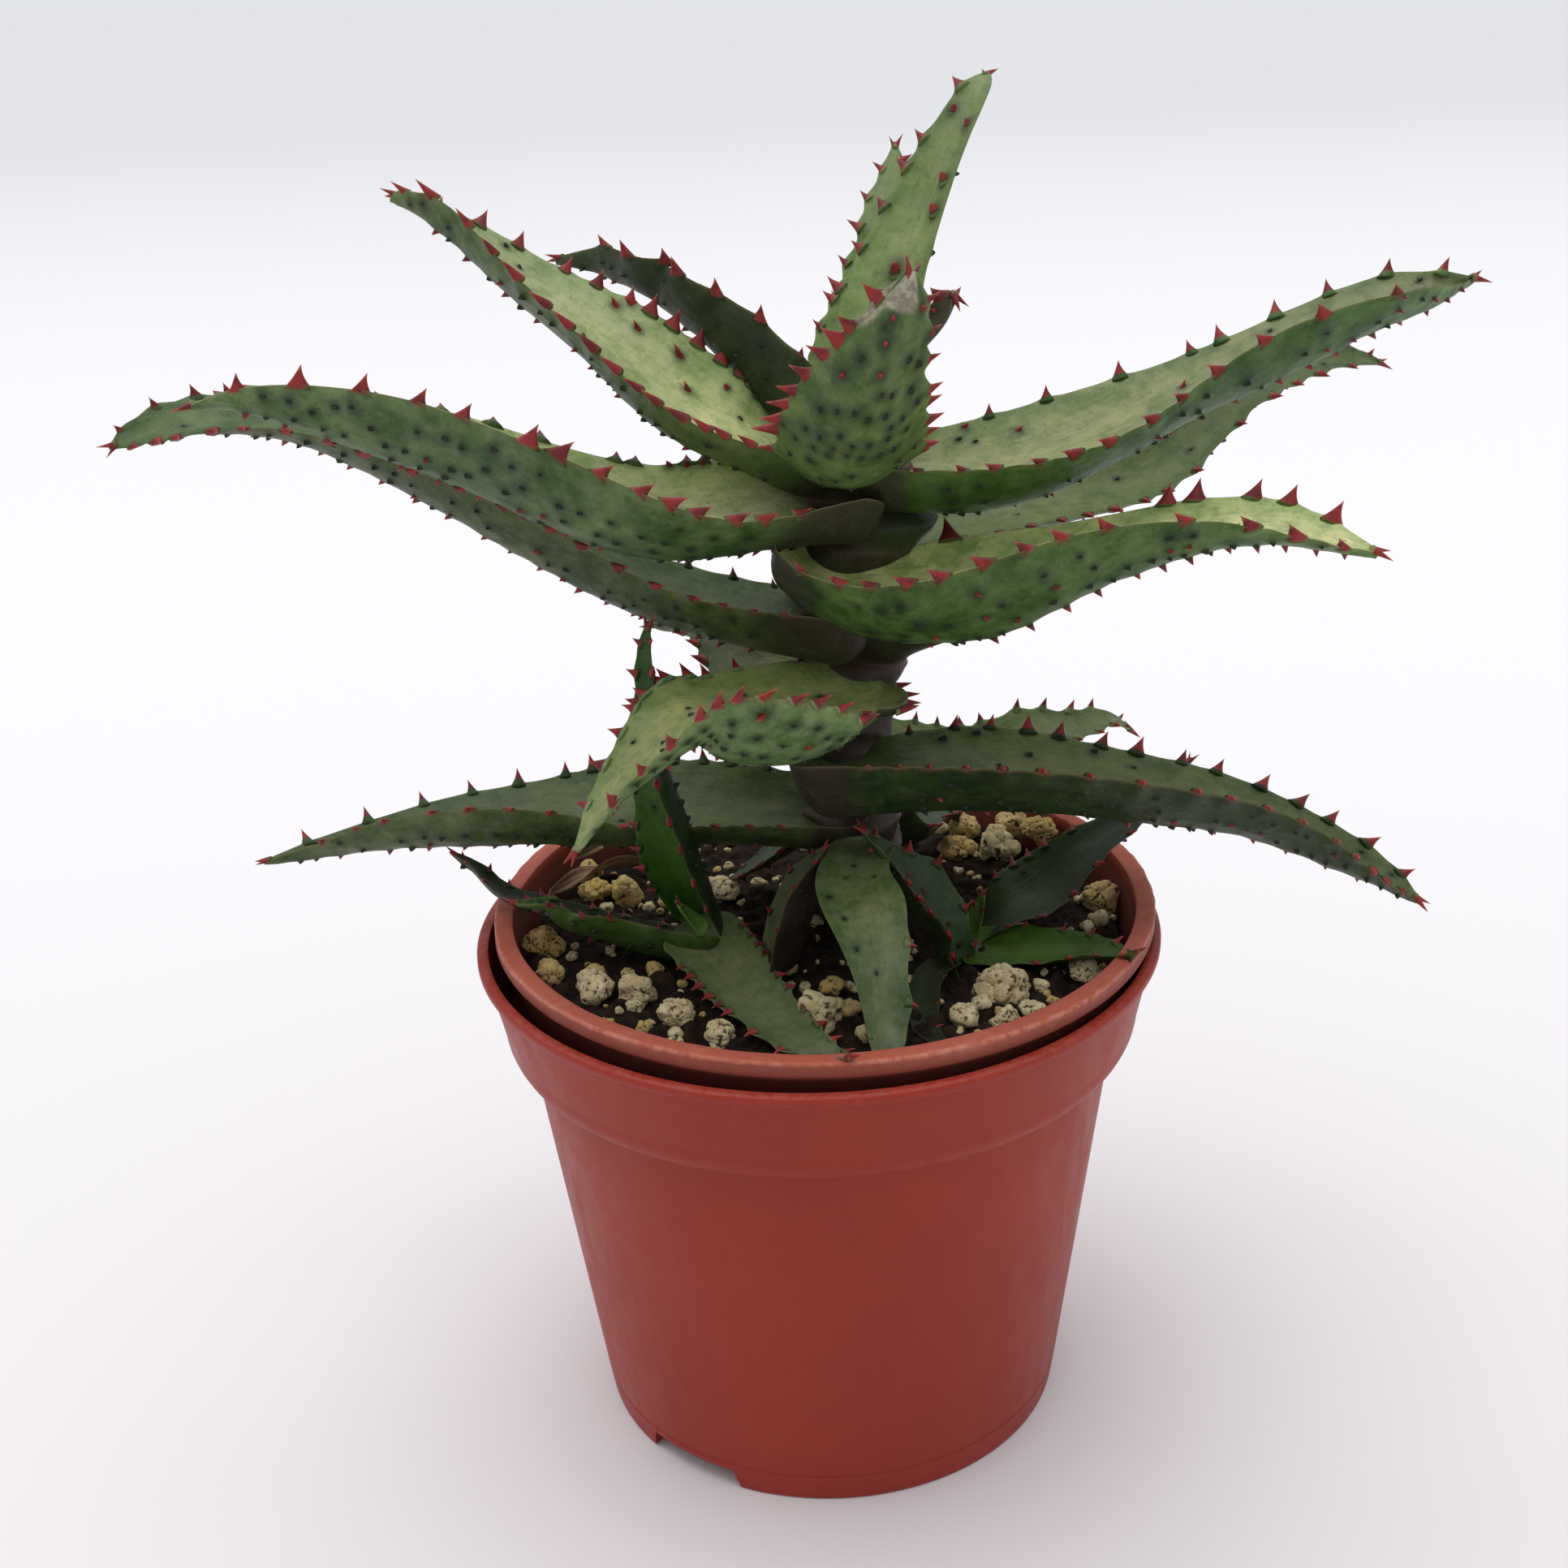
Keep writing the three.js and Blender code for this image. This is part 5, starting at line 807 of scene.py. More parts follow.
def leaf_material():
    t = Tree("leaf_skin")
    ob = t.coords()
    side, s, spot, tooth, halo = t.attr("side"), t.attr("s"), t.attr("spot"), t.attr("tooth"), t.attr("halo")
    across, arc, edge, scar = t.attr("across"), t.attr("arc"), t.attr("edge"), t.attr("scar")
    dust, mottle, foot = t.attr("dust"), t.attr("mottle"), t.attr("foot")
    lay = t.vec(t.mul(arc, 0.012), t.mul(across, 0.16), side)
    big = t.noise(ob, 60.0, 3.0, 0.5)
    patch = t.noise(ob, 190.0, 4.0, 0.6)
    fine = t.noise(ob, 900.0, 3.0, 0.6)
    grain = t.noise(ob, 430.0, 4.0, 0.65, 0.5)
    lines = t.noise(lay, 9.0, 3.0, 0.65)
    top, low = t.tint("top"), t.tint("low")
    # painted light: the channel is painted brighter near the stem, where the leaves above shade it, and darker towards
    # the well-lit tip; the underside is greyer near the tip
    top = t.mix(t.range(s, 0.15, 0.75), t.mix(1.0, top, (1.12, 1.10, 1.05), "MULTIPLY"), t.mix(1.0, top, (0.74, 0.76, 0.78), "MULTIPLY"))
    low = t.mix(t.range(s, 0.45, 0.95), low, t.mix(1.0, low, (1.42, 1.32, 1.46), "MULTIPLY"))
    # the channel is paler along its middle, greener and darker towards its margins
    top = t.mix(t.mul(t.range(edge, 0.25, 0.95), 0.55), top, t.mix(1.0, top, (0.62, 0.80, 0.58), "MULTIPLY"))
    top = t.mix(t.mul(t.range(big, 0.5, 0.66), 0.6), top, t.mix(1.0, top, (1.24, 1.14, 1.12), "MULTIPLY"))
    low = t.mix(t.mul(t.range(big, 0.42, 0.62), 0.55), low, t.mix(1.0, low, (1.40, 1.30, 1.30), "MULTIPLY"))
    low = t.mix(t.mul(t.range(edge, 0.80, 1.0), 0.4), low, t.mix(1.0, low, (1.5, 1.35, 1.3), "MULTIPLY"))
    col = t.mix(t.range(side, 0.2, 0.8), low, top)
    # blotches: darker green ones, and paler worn ones
    col = t.mix(t.mul(t.mul(t.range(patch, 0.52, 0.36), mottle), t.range(side, 0.2, 0.8, 1.0, 0.7)), col, t.mix(1.0, col, (0.48, 0.64, 0.44), "MULTIPLY"))
    calm = t.range(side, 0.2, 0.8, 1.0, 0.5)
    col = t.mix(t.mul(t.mul(t.mul(t.range(patch, 0.52, 0.66), mottle), 0.85), calm), col, t.mix(1.0, col, (1.45, 1.30, 1.36), "MULTIPLY"))
    col = t.mix(t.mul(t.range(lines, 0.44, 0.70), 0.45), col, t.mix(1.0, col, (0.60, 0.72, 0.56), "MULTIPLY"))
    col = t.mix(t.mul(t.range(fine, 0.5, 0.72), 0.35), col, t.mix(1.0, col, (1.40, 1.32, 1.3), "MULTIPLY"))
    col = t.mix(t.mul(t.range(grain, 0.50, 0.36), 0.55), col, t.mix(1.0, col, (0.58, 0.68, 0.55), "MULTIPLY"))
    col = t.mix(t.mul(t.mul(t.range(grain, 0.54, 0.68), 0.5), calm), col, t.mix(1.0, col, (1.5, 1.36, 1.42), "MULTIPLY"))
    speck = t.voronoi(ob, 620.0)
    col = t.mix(t.mul(t.mul(t.range(speck, 0.22, 0.10), mottle), 0.55), col, t.mix(1.0, col, (0.45, 0.58, 0.42), "MULTIPLY"))
    # towards the stem the skin turns dark, purplish brown
    col = t.mix(t.mul(t.mul(t.range(foot, 0.0, 0.8), t.range(side, 0.9, 0.1, 0.35, 1.0)), 0.85), col, lin(48, 37, 33))
    # waxy dust, thickest where the leaf is old
    wax = t.mul(t.mul(t.range(t.noise(ob, 260.0, 5.0, 0.7, 0.6), 0.50, 0.76), dust), 0.45)
    col = t.mix(wax, col, lin(158, 164, 136))
    # warts are dark green
    col = t.mix(t.mul(t.range(spot, 0.05, 0.9), 0.95), col, lin(24, 36, 19))
    # grazed, corky patch
    cork = t.mix(t.range(t.noise(ob, 700.0, 4.0, 0.7), 0.4, 0.65), lin(132, 118, 104), lin(178, 168, 154))
    col = t.mix(t.mul(t.range(scar, 0.30, 0.65), 0.8), col, cork)
    # a thin warm line along the margin and under each spine
    col = t.mix(t.mul(t.range(edge, 0.965, 1.0), 0.35), col, lin(112, 88, 58))
    col = t.mix(t.mul(t.range(halo, 0.35, 0.95), 0.6), col, lin(98, 56, 44))
    red = t.mix(t.range(t.noise(ob, 420.0, 2.0), 0.42, 0.62), lin(142, 43, 42), lin(106, 32, 33))
    red = t.mix(t.range(tooth, 0.70, 1.0), red, lin(164, 76, 66))
    col = t.mix(t.range(tooth, 0.0, 0.10), col, red)
    rough = t.range(t.add(fine, t.mul(wax, 0.6)), 0.3, 0.9, 0.44, 0.64)
    n1 = t.bump(lines, 0.22, 0.0006)
    n2 = t.bump(grain, 0.30, 0.0005, t.bump(fine, 0.2, 0.00025, n1))
    m = t.finish(col, rough, n2, Specular_IOR_Level=0.28, Subsurface_Weight=0.06, Subsurface_Scale=0.003, Coat_Weight=0.03, Coat_Roughness=0.4)
    t.bsdf.inputs["Subsurface Radius"].default_value = (0.5, 0.9, 0.3)
    return m


def pot_material(name, base, dark, haze, rough_lo, rough_hi, haze_amount, grime_and_shade):
    t = Tree(name)
    ob = t.coords()
    z = t.split(ob)[2]
    cloud = t.noise(ob, 28.0, 3.0, 0.5)
    fine = t.noise(ob, 1400.0, 2.0, 0.5)
    rub = t.noise(t.scale(ob, (1.0, 1.0, 0.35)), 210.0, 5.0, 0.72, 0.8)
    col = t.mix(t.range(cloud, 0.3, 0.7), base, t.mix(0.5, base, dark))
    col = t.mix(t.mul(t.range(fine, 0.35, 0.7), 0.14), col, dark)
    # hazy rub marks, more of them on the collar and the rim
    high = t.range(z, 0.060, 0.078, 0.25, 1.0)
    col = t.mix(t.mul(t.mul(t.range(rub, 0.52, 0.78), high), haze_amount), col, haze)
    scratch = t.noise(t.scale(ob, (14.0, 14.0, 1.0)), 60.0, 2.0, 0.5)
    col = t.mix(t.mul(t.range(scratch, 0.68, 0.8), 0.10), col, haze)
    worn = t.attr("worn")
    col = t.mix(t.mul(worn, t.range(t.noise(ob, 700.0, 4.0, 0.7), 0.35, 0.6)), col, haze)
    # dark marks from the pot's mark table: painted shade on the inner pot's rim side and in the gap below its rim, and
    # darkened inside walls
    dirt_and_shade = t.attr("dirt_and_shade")
    col = t.mix(t.mul(dirt_and_shade, grime_and_shade), col, lin(52, 20, 16))
    rough = t.range(rub, 0.3, 0.8, rough_lo, rough_hi)
    nrm = t.bump(fine, 0.10, 0.0002)
    nrm = t.bump(cloud, 0.12, 0.0015, nrm)
    return t.finish(col, rough, nrm, Specular_IOR_Level=0.32)


def soil_material():
    t = Tree("potting_soil")
    ob = t.coords()
    a = t.noise(ob, 420.0, 5.0, 0.7)
    b = t.noise(ob, 1500.0, 3.0, 0.6)
    col = t.mix(t.range(a, 0.35, 0.7), lin(20, 14, 10), lin(50, 35, 25))
    col = t.mix(t.mul(t.range(b, 0.62, 0.78), 0.5), col, lin(92, 68, 46))
    col = t.mix(t.mul(t.range(t.attr("high"), 0.3, 1.0), 0.3), col, lin(64, 46, 32))
    nrm = t.bump(a, 0.6, 0.0012)
    nrm = t.bump(b, 0.5, 0.0004, nrm)
    return t.finish(col, 0.92, nrm, Specular_IOR_Level=0.2)


def pumice_material():
    t = Tree("pumice_grain")
    ob = t.coords()
    tone, pit, rnd = t.attr("tone"), t.attr("pit"), t.attr("rnd")
    a = t.noise(ob, 380.0, 4.0, 0.6)
    b = t.noise(ob, 1700.0, 3.0, 0.6)
    col = t.mix(tone, lin(222, 208, 166), lin(200, 170, 98))
    col = t.mix(t.mul(rnd, 0.45), col, lin(198, 180, 138))
    col = t.mix(t.mul(t.range(a, 0.35, 0.65), 0.5), col, lin(168, 142, 92))
    pores = t.range(t.voronoi(ob, 1500.0), 0.28, 0.12)
    col = t.mix(t.mul(pores, 0.4), col, lin(110, 90, 66))
    col = t.mix(t.mul(t.range(pit, 0.25, 0.9), 0.85), col, lin(52, 40, 30))
    col = t.mix(t.mul(t.range(b, 0.66, 0.78), 0.4), col, lin(84, 68, 50))
    nrm = t.bump(a, 0.35, 0.0008)
    nrm = t.bump(t.mul(pores, -1.0), 0.5, 0.0003, nrm)
    return t.finish(col, 0.88, nrm, Specular_IOR_Level=0.25)


def stem_material():
    t = Tree("stem_sheath")
    ob = t.coords()
    z = t.attr("up")
    a = t.noise(ob, 120.0, 4.0, 0.6)
    lines = t.noise(t.vec(t.mul(t.attr("around"), 26.0), t.mul(z, 0.10), 0.0), 1.6, 3.0, 0.6)
    col = t.mix(t.range(a, 0.35, 0.7), lin(54, 42, 36), lin(70, 60, 48))
    col = t.mix(t.mul(t.range(a, 0.55, 0.75), 0.5), col, lin(62, 74, 46))
    col = t.mix(t.range(t.attr("green"), 0.15, 0.6), col, t.mix(t.range(a, 0.35, 0.7), lin(44, 56, 30), lin(64, 76, 46)))
    col = t.mix(t.mul(t.range(lines, 0.5, 0.7), 0.45), col, lin(44, 30, 28))
    col = t.mix(t.attr("rim"), col, lin(96, 74, 60))
    nrm = t.bump(lines, 0.35, 0.0006)
    nrm = t.bump(t.noise(ob, 1100.0, 2.0), 0.2, 0.0002, nrm)
    return t.finish(col, 0.5, nrm, Specular_IOR_Level=0.4)


def dry_material():
    t = Tree("dry_strip")
    ob = t.coords()
    rib = t.attr("rib")
    a = t.noise(ob, 300.0, 4.0, 0.6)
    col = t.mix(t.range(a, 0.3, 0.7), lin(120, 96, 68), lin(160, 136, 102))
    col = t.mix(t.mul(rib, 0.6), col, lin(104, 82, 60))
    col = t.mix(t.mul(t.range(t.noise(ob, 1200.0, 2.0), 0.6, 0.75), 0.5), col, lin(80, 62, 46))
    return t.finish(col, 0.75, t.bump(a, 0.4, 0.0006), Specular_IOR_Level=0.3)


# ------------------------------------------------------------------ build: leaves
def slotted(ob, node, mat):
    ob.data.materials.append(mat)
    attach(ob, "root")
    if node:
        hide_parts(node)
    return ob


# the near half of this leaf's foot stays behind its neighbour
LEAVES["pup_b_leaf_1"][0][:5] = [23.7, -3.5, 80.0, 4.0, 2.8]
LEAVES["pup_b_leaf_1"][1][:5] = [28.8, -3.2, 84.8, 5.2, 3.2]
leaf_mat = leaf_material()
for name in LEAVES:
    slotted(leaf(name), name, leaf_mat)


# ------------------------------------------------------------------ build: stems
def stem_piece(name, rows, collars, swell, segs=96, step=0.45):
    """An upright stem with the slanted edges of old sheaths and a swelling towards each leaf base."""
    rows = np.array(rows, float)
    z = np.arange(rows[0, 2], rows[-1, 2] + 1e-6, step)
    x = np.interp(z, rows[:, 2], rows[:, 0])
    y = np.interp(z, rows[:, 2], rows[:, 1])
    r = np.interp(z, rows[:, 2], rows[:, 3])
    az = np.linspace(0, 2 * np.pi, segs, endpoint=False)
    R = np.repeat(r[:, None], segs, 1)
    rim = np.zeros_like(R)
    for cz, a0, slant, thick, run in collars:
        top = cz + slant * np.cos(az - a0)[None, :] + 0.35 * np.sin(3 * az + cz)[None, :]
        below = top - z[:, None]
        R = R + thick * np.where(below > 0, np.exp(-below / run), np.exp(below / 0.25))
        rim = np.maximum(rim, np.exp(-((below / 0.5) ** 2)) * 0.6)
    green = np.zeros_like(R)
    for bz, a0, reach, spread in swell:
        da = (az[None, :] - a0 + np.pi) % (2 * np.pi) - np.pi
        zz = z[:, None] - bz
        fall = np.exp(-((zz / np.where(zz > 0, 2.6, spread)) ** 2))
        hump = fall * np.exp(-((da / (0.55 if reach > 10 else 0.85)) ** 2))
        R = R + np.maximum(0, reach) * hump
        green = np.maximum(green, hump * (1.0 if reach > 4 else 0.45))
    wob = fbm(np.stack([np.cos(az)[None, :] * 2 + z[:, None] * 0, np.sin(az)[None, :] * 2 + z[:, None] * 0, z[:, None] * 0.25 + az[None, :] * 0], -1).reshape(-1, 3), 11, 3).reshape(R.shape)
    R = R * (1 + 0.07 * (wob - 0.5))
    close = smooth(0, 1.2, rows[-1, 2] - z)[:, None]
    if name == "stem":  # the green growing tip tapers to a point
        close = np.clip((rows[-1, 2] - z) / 17.0, 0, 1)[:, None] ** 0.75
        green = np.maximum(green, smooth(22.0, 12.0, rows[-1, 2] - z)[:, None])
    R = R * np.maximum(close, 0.05)
    V = np.stack([x[:, None] + R * np.cos(az), y[:, None] + R * np.sin(az), np.repeat(z[:, None], segs, 1)], -1).reshape(-1, 3)
    quads = outward(V - V.mean(0), tube_faces(len(z), segs))
    n = len(V)
    V = np.vstack([V, [x[0], y[0], z[0]], [x[-1], y[-1], z[-1] + 0.1]])
    j = np.arange(segs)
    last = (len(z) - 1) * segs
    tris = np.vstack([np.stack([(j + 1) % segs, j, np.full(segs, n)], -1), np.stack([last + j, last + (j + 1) % segs, np.full(segs, n + 1)], -1)])
    geo = Geo("around", "up", "rim", "green")
    two = lambda a, e=0.0: np.concatenate([a.reshape(-1), [e, e]])
    geo.add(V, quads, tris, around=two(np.repeat(np.abs(az - np.pi)[None, :], len(z), 0)), up=two(np.repeat(z[:, None], segs, 1), z[0]), rim=two(rim), green=two(green))
    return geo.make("look_" + name)


stem_mat = stem_material()
collars, swell = [], []
axis_at = lambda zz: np.array([np.interp(zz, [q[2] for q in STEM], [q[c] for q in STEM]) for c in range(4) if c != 2])
for name, rows in LEAVES.items():
    if name.startswith("pup"):
        continue
    c = Spline(rows)(0.0)[0]
    zz = c[2] - 0.55 * c[4]
    if zz > 168:
        continue
    ax, ay, ar = axis_at(zz)
    dx, dy = c[0] - ax, c[1] - ay
    mid = Spline(rows)(0.35)[0]
    a0 = math.atan2(dy, dx) if math.hypot(dx, dy) > 4 else math.atan2(mid[1] - ay, mid[0] - ax)
    dist = math.hypot(dx, dy)
    collars.append((zz + 0.5, a0, 2.2, 0.8, 4.0))
    swell.append((zz, a0, min(0.5 * (dist - 0.35 * c[3] - ar), 3.5), 4.0))
swell.append((131.5, -0.72, 15.0, 6.6))  # the strong buttress under leaf_11
swell.append((144.0, -0.45, 6.0, 5.0))  # and the one under leaf_09
slotted(stem_piece("stem", STEM, collars, swell), "stem", stem_mat)
for name, (x, y, z0, z1, r) in PUP_STEMS.items():
    rows = [[x, y, z0, r * 0.8], [x, y, (z0 + z1) / 2, r], [x, y, z1, r * 0.75]]
    col = [(z0 + 9 + 2.3 * i, 1.9 * i, 1.0, 0.5, 1.6) for i in range(4)]
    slotted(stem_piece(name, rows, col, [], 64, 0.4), name, stem_mat)


# ------------------------------------------------------------------ build: pots
def lathe(name, profile, cx, cy, segs=192, extra=None):
    """A closed solid of revolution, with support rings next to each corner so that it shades crisply."""
    pts = [np.array(p, float) for p in profile]
    dense = [pts[0]]
    for a, b in zip(pts[:-1], pts[1:]):
        d = np.linalg.norm(b - a)
        cuts = []
        if d > 1.4:
            cuts = [0.22 / d, 1 - 0.22 / d]
            k = int(d // 6)
            cuts = [cuts[0], *[(i + 1) / (k + 1) for i in range(k)], cuts[1]]
        dense += [a + (b - a) * c for c in cuts] + [b]
    dense = np.array(dense)
    az = np.linspace(0, 2 * np.pi, segs, endpoint=False)
    on_axis = dense[:, 0] < 1e-6
    ring_id, V, attrs = [], [], []
    for (r, z), ax in zip(dense, on_axis):
        if ax:
            ring_id.append((len(V), 1))
            V.append([cx, cy, z])
        else:
            ring_id.append((len(V), segs))
            V += [[cx + r * c, cy + r * s_, z] for c, s_ in zip(np.cos(az), np.sin(az))]
    V = np.array(V, float)
    if extra is not None:
        V = extra(V)
    quads, tris = [], []
    n = len(ring_id)
    for i in range(n - (1 if on_axis[0] and on_axis[-1] else 0)):
        (a, ca), (b, cb) = ring_id[i], ring_id[(i + 1) % n]
        for j in range(segs):
            k = (j + 1) % segs
            if ca == 1 and cb == 1:
                break
            if ca == 1:
                tris.append([a, b + j, b + k])
            elif cb == 1:
                tris.append([a + j, b, a + k])
            else:
                quads.append([a + j, b + j, b + k, a + k])
    geo = Geo("worn", "dirt_and_shade")
    quads, tris = np.array(quads), np.array(tris)
    c = V.mean(0)
    vol = 0
    for f in (quads[:, :3], quads[:, [0, 2, 3]], tris):
        vol += np.einsum("ij,ij->i", V[f[:, 0]] - c, np.cross(V[f[:, 1]] - c, V[f[:, 2]] - c)).sum()
    if vol < 0:
        quads, tris = quads[:, ::-1], tris[:, ::-1]
    rad = np.hypot(V[:, 0] - cx, V[:, 1] - cy)
    worn, dirt_and_shade = POT_MARKS[name](rad, V[:, 2])
    geo.add(V, quads, tris, worn=worn, dirt_and_shade=dirt_and_shade)
    return geo.make(name, sharp=38)


def cut(ob, cutters):
    """Boolean cuts, applied to the mesh."""
    for c in cutters:
        mod = ob.modifiers.new("cut", "BOOLEAN")
        mod.operation, mod.solver, mod.object = "DIFFERENCE", "EXACT", c
    dg = bpy.context.evaluated_depsgraph_get()
    me = bpy.data.meshes.new_from_object(ob.evaluated_get(dg), preserve_all_data_layers=True, depsgraph=dg)
    ob.modifiers.clear()
    old = ob.data
    ob.data = me
    bpy.data.meshes.remove(old)
    for c in cutters:
        m = c.data
        bpy.data.objects.remove(c)
        bpy.data.meshes.remove(m)
    ob.data.set_sharp_from_angle(angle=math.radians(38))


def drills(cx, cy, z, notches):
    out = []

    def block(name, bm, loc, turn=0.0):
        me = bpy.data.meshes.new(name)
        bm.to_mesh(me)
        bm.free()
        ob = bpy.data.objects.new(name, me)
        bpy.context.scene.collection.objects.link(ob)
        ob.matrix_world = Matrix.Translation(Vector(np.array(loc) * 0.001 + SHIFT)) @ Matrix.Rotation(turn, 4, "Z")
        out.append(ob)

    for i in range(HOLES + 1):
        bm = bmesh.new()
        bmesh.ops.create_cone(bm, cap_ends=True, segments=48, radius1=HOLE_R * 0.001, radius2=HOLE_R * 0.001, depth=0.006)
        a = (i + 0.5) * 2 * math.pi / HOLES
        rr = HOLE_RING_R if i < HOLES else 0.0
        block("drill", bm, (cx + rr * math.cos(a), cy + rr * math.sin(a), z))
    for az in notches:
        a = math.radians(az)
        bm = bmesh.new()
        bmesh.ops.create_cube(bm, size=1.0)
        for v in bm.verts:  # slanted sides, wider at the table
            wide = NOTCH_W + (1.4 if v.co.z < 0 else -1.4)
            v.co = Vector((v.co.x * 0.009, v.co.y * wide * 0.001, (v.co.z + 0.5) * (NOTCH_H + 2) * 0.001 - 0.002))
        rr = BASE_R - 1.5
        block("notch", bm, (rr * math.cos(a), rr * math.sin(a), 0.0), a)
    return out


wall = lambda z: BASE_R + (STEP_R - STEP_IN - BASE_R) * z / STEP_Z


def shoulder(k, parts=16):
    a = k * math.pi / parts
    return [STEP_R + (COLLAR_LOW_R - STEP_R) * math.sin(a), COLLAR_LOW_Z - (COLLAR_LOW_Z - STEP_Z) * math.cos(a)]


outside = [
    [wall(0) - 0.5, 0], [wall(0) - 0.12, 0.15], [wall(0), 0.6],
    [wall(FOOT_H - 0.25), FOOT_H - 0.25], [wall(FOOT_H) - 0.16, FOOT_H], [wall(FOOT_H + 0.25), FOOT_H + 0.25],
    [wall(STEP_Z - 0.3), STEP_Z - 0.3], [STEP_R - 0.25, STEP_Z - 0.2],
    *[shoulder(k) for k in range(0, 8)],
    [COLLAR_LOW_R, COLLAR_LOW_Z],
    [COLLAR_TOP_R, POT_HEIGHT - LIP_DROP - 0.3], [LIP_R - 0.2, POT_HEIGHT - LIP_DROP],
    [LIP_R, POT_HEIGHT - LIP_DROP + 0.35], [LIP_R, POT_HEIGHT - 0.45], [LIP_R - 0.12, POT_HEIGHT - 0.2], [LIP_R - 0.5, POT_HEIGHT],
    [LIP_R - LIP_WIDTH + 0.35, POT_HEIGHT], [LIP_R - LIP_WIDTH + 0.08, POT_HEIGHT - 0.12], [LIP_R - LIP_WIDTH, POT_HEIGHT - 0.35],
]
inside = [
    [COLLAR_IN_LOW_R, COLLAR_LOW_Z], [STEP_R - WALL + 0.4, STEP_Z + 1.5], [wall(STEP_Z) - WALL, STEP_Z + 0.9],
    [wall(FLOOR_Z + FLOOR_T + 1.2) - WALL, FLOOR_Z + FLOOR_T + 1.2], [wall(FLOOR_Z + FLOOR_T) - WALL - 1.2, FLOOR_Z + FLOOR_T], [0, FLOOR_Z + FLOOR_T],
]
underside = [[0, FLOOR_Z], [wall(FLOOR_Z) - WALL - 1.1, FLOOR_Z], [wall(0) - 2.4, 0.2], [wall(0) - 2.2, 0]]
inner_body = lambda z: wall(z) - WALL - GAP - LEAN
inner_in_wall = lambda z: inner_body(z) - WALL
inner_out = [
    [inner_body(IN_FLOOR) - 2.0, IN_FLOOR], [inner_body(IN_FLOOR) - 1.0, IN_FLOOR + 0.4], [inner_body(IN_FLOOR + 2), IN_FLOOR + 2],
    [inner_body(STEP_Z), STEP_Z], [inner_body(STEP_Z) + 0.5, IN_STEP_Z], [COLLAR_IN_LOW_R - GAP - LEAN + 0.1, IN_STEP_Z + 3.2],
    [49.0, POT_HEIGHT], [49.2, INNER_TOP - INNER_RIM_H], [INNER_RIM_R - 0.15, INNER_TOP - INNER_RIM_H + 0.15], [INNER_RIM_R, INNER_TOP - INNER_RIM_H + 0.5],
    [INNER_RIM_R, INNER_TOP - 0.4], [INNER_RIM_R - 0.12, INNER_TOP - 0.12], [INNER_RIM_R - 0.4, INNER_TOP],
    [INNER_RIM_IN + 0.4, INNER_TOP], [INNER_RIM_IN + 0.1, INNER_TOP - 0.12], [INNER_RIM_IN, INNER_TOP - 0.4], [INNER_RIM_IN + 0.1, INNER_TOP - INNER_RIM_H],
]
inner_in = [
    [COLLAR_IN_LOW_R - GAP - LEAN - 1.0, IN_STEP_Z + 3.4], [inner_in_wall(STEP_Z) + 0.3, IN_STEP_Z + 0.6], [inner_in_wall(STEP_Z), STEP_Z],
    [inner_in_wall(IN_FLOOR + 5), IN_FLOOR + 5], [0, IN_FLOOR + 4.0],
]
inner_under = [[0, IN_FLOOR + 2.7], [inner_body(IN_FLOOR) - 4.4, IN_FLOOR + 2.7], [inner_body(IN_FLOOR) - 3.6, IN_FLOOR]]


def outer_marks(r, z):
    worn = 0.35 * smooth(POT_HEIGHT - 0.35, POT_HEIGHT, z)
    # the inside of the outer pot, seen only through the gap between the pots, is darkened
    body = (z > FLOOR_Z + 1) & (z < STEP_Z) & (r < wall(z) - 0.6)
    middle = np.interp(z, [STEP_Z, COLLAR_LOW_Z, POT_HEIGHT - LIP_DROP, POT_HEIGHT], [STEP_R - 1.0, COLLAR_LOW_R - 0.6, COLLAR_TOP_R - 0.65, LIP_R - LIP_WIDTH + 0.03])
    return worn, np.where(body | ((z >= STEP_Z) & (r < middle)), 0.75, 0.0)


def inner_marks(r, z):
    worn = 0.6 * smooth(INNER_RIM_R - 0.55, INNER_RIM_R - 0.1, r) * smooth(INNER_TOP - 0.9, INNER_TOP - 0.3, z) + 0.12 * smooth(INNER_TOP - 0.3, INNER_TOP, z)
    # the inside wall is darkened from just under the rim's top down towards the soil, and the inner part of the rim's
    # top a little
    dirt_and_shade = np.where((r < INNER_RIM_IN + 0.2) & (z > 20), smooth(INNER_TOP - 0.3, INNER_TOP - 3.5, z) * 0.8, 0.0)
    # painted shade: the rim's outer side is painted dark, as the shade under the rim's top
    dirt_and_shade = np.maximum(dirt_and_shade, np.where((r > INNER_RIM_R - 0.35) & (r < INNER_RIM_R + 0.2), 0.55 * smooth(INNER_TOP - 0.3, INNER_TOP - 0.9, z), 0.0))
    dirt_and_shade = np.maximum(dirt_and_shade, np.where(z > INNER_TOP - 0.3, 0.12 * smooth(INNER_RIM_IN + 1.7, INNER_RIM_IN + 1.2, r), 0.0))
    # painted shade: the wall under the rim, in the gap between the pots, is painted dark
    dirt_and_shade = np.maximum(dirt_and_shade, np.where((r > 48.4) & (r < INNER_RIM_R + 0.1), smooth(INNER_TOP - 2.2, INNER_TOP - 3.2, z) * 0.85, 0.0))
    return np.clip(worn, 0, 1), dirt_and_shade


POT_MARKS = {"look_outer_pot": outer_marks, "look_inner_pot": inner_marks}


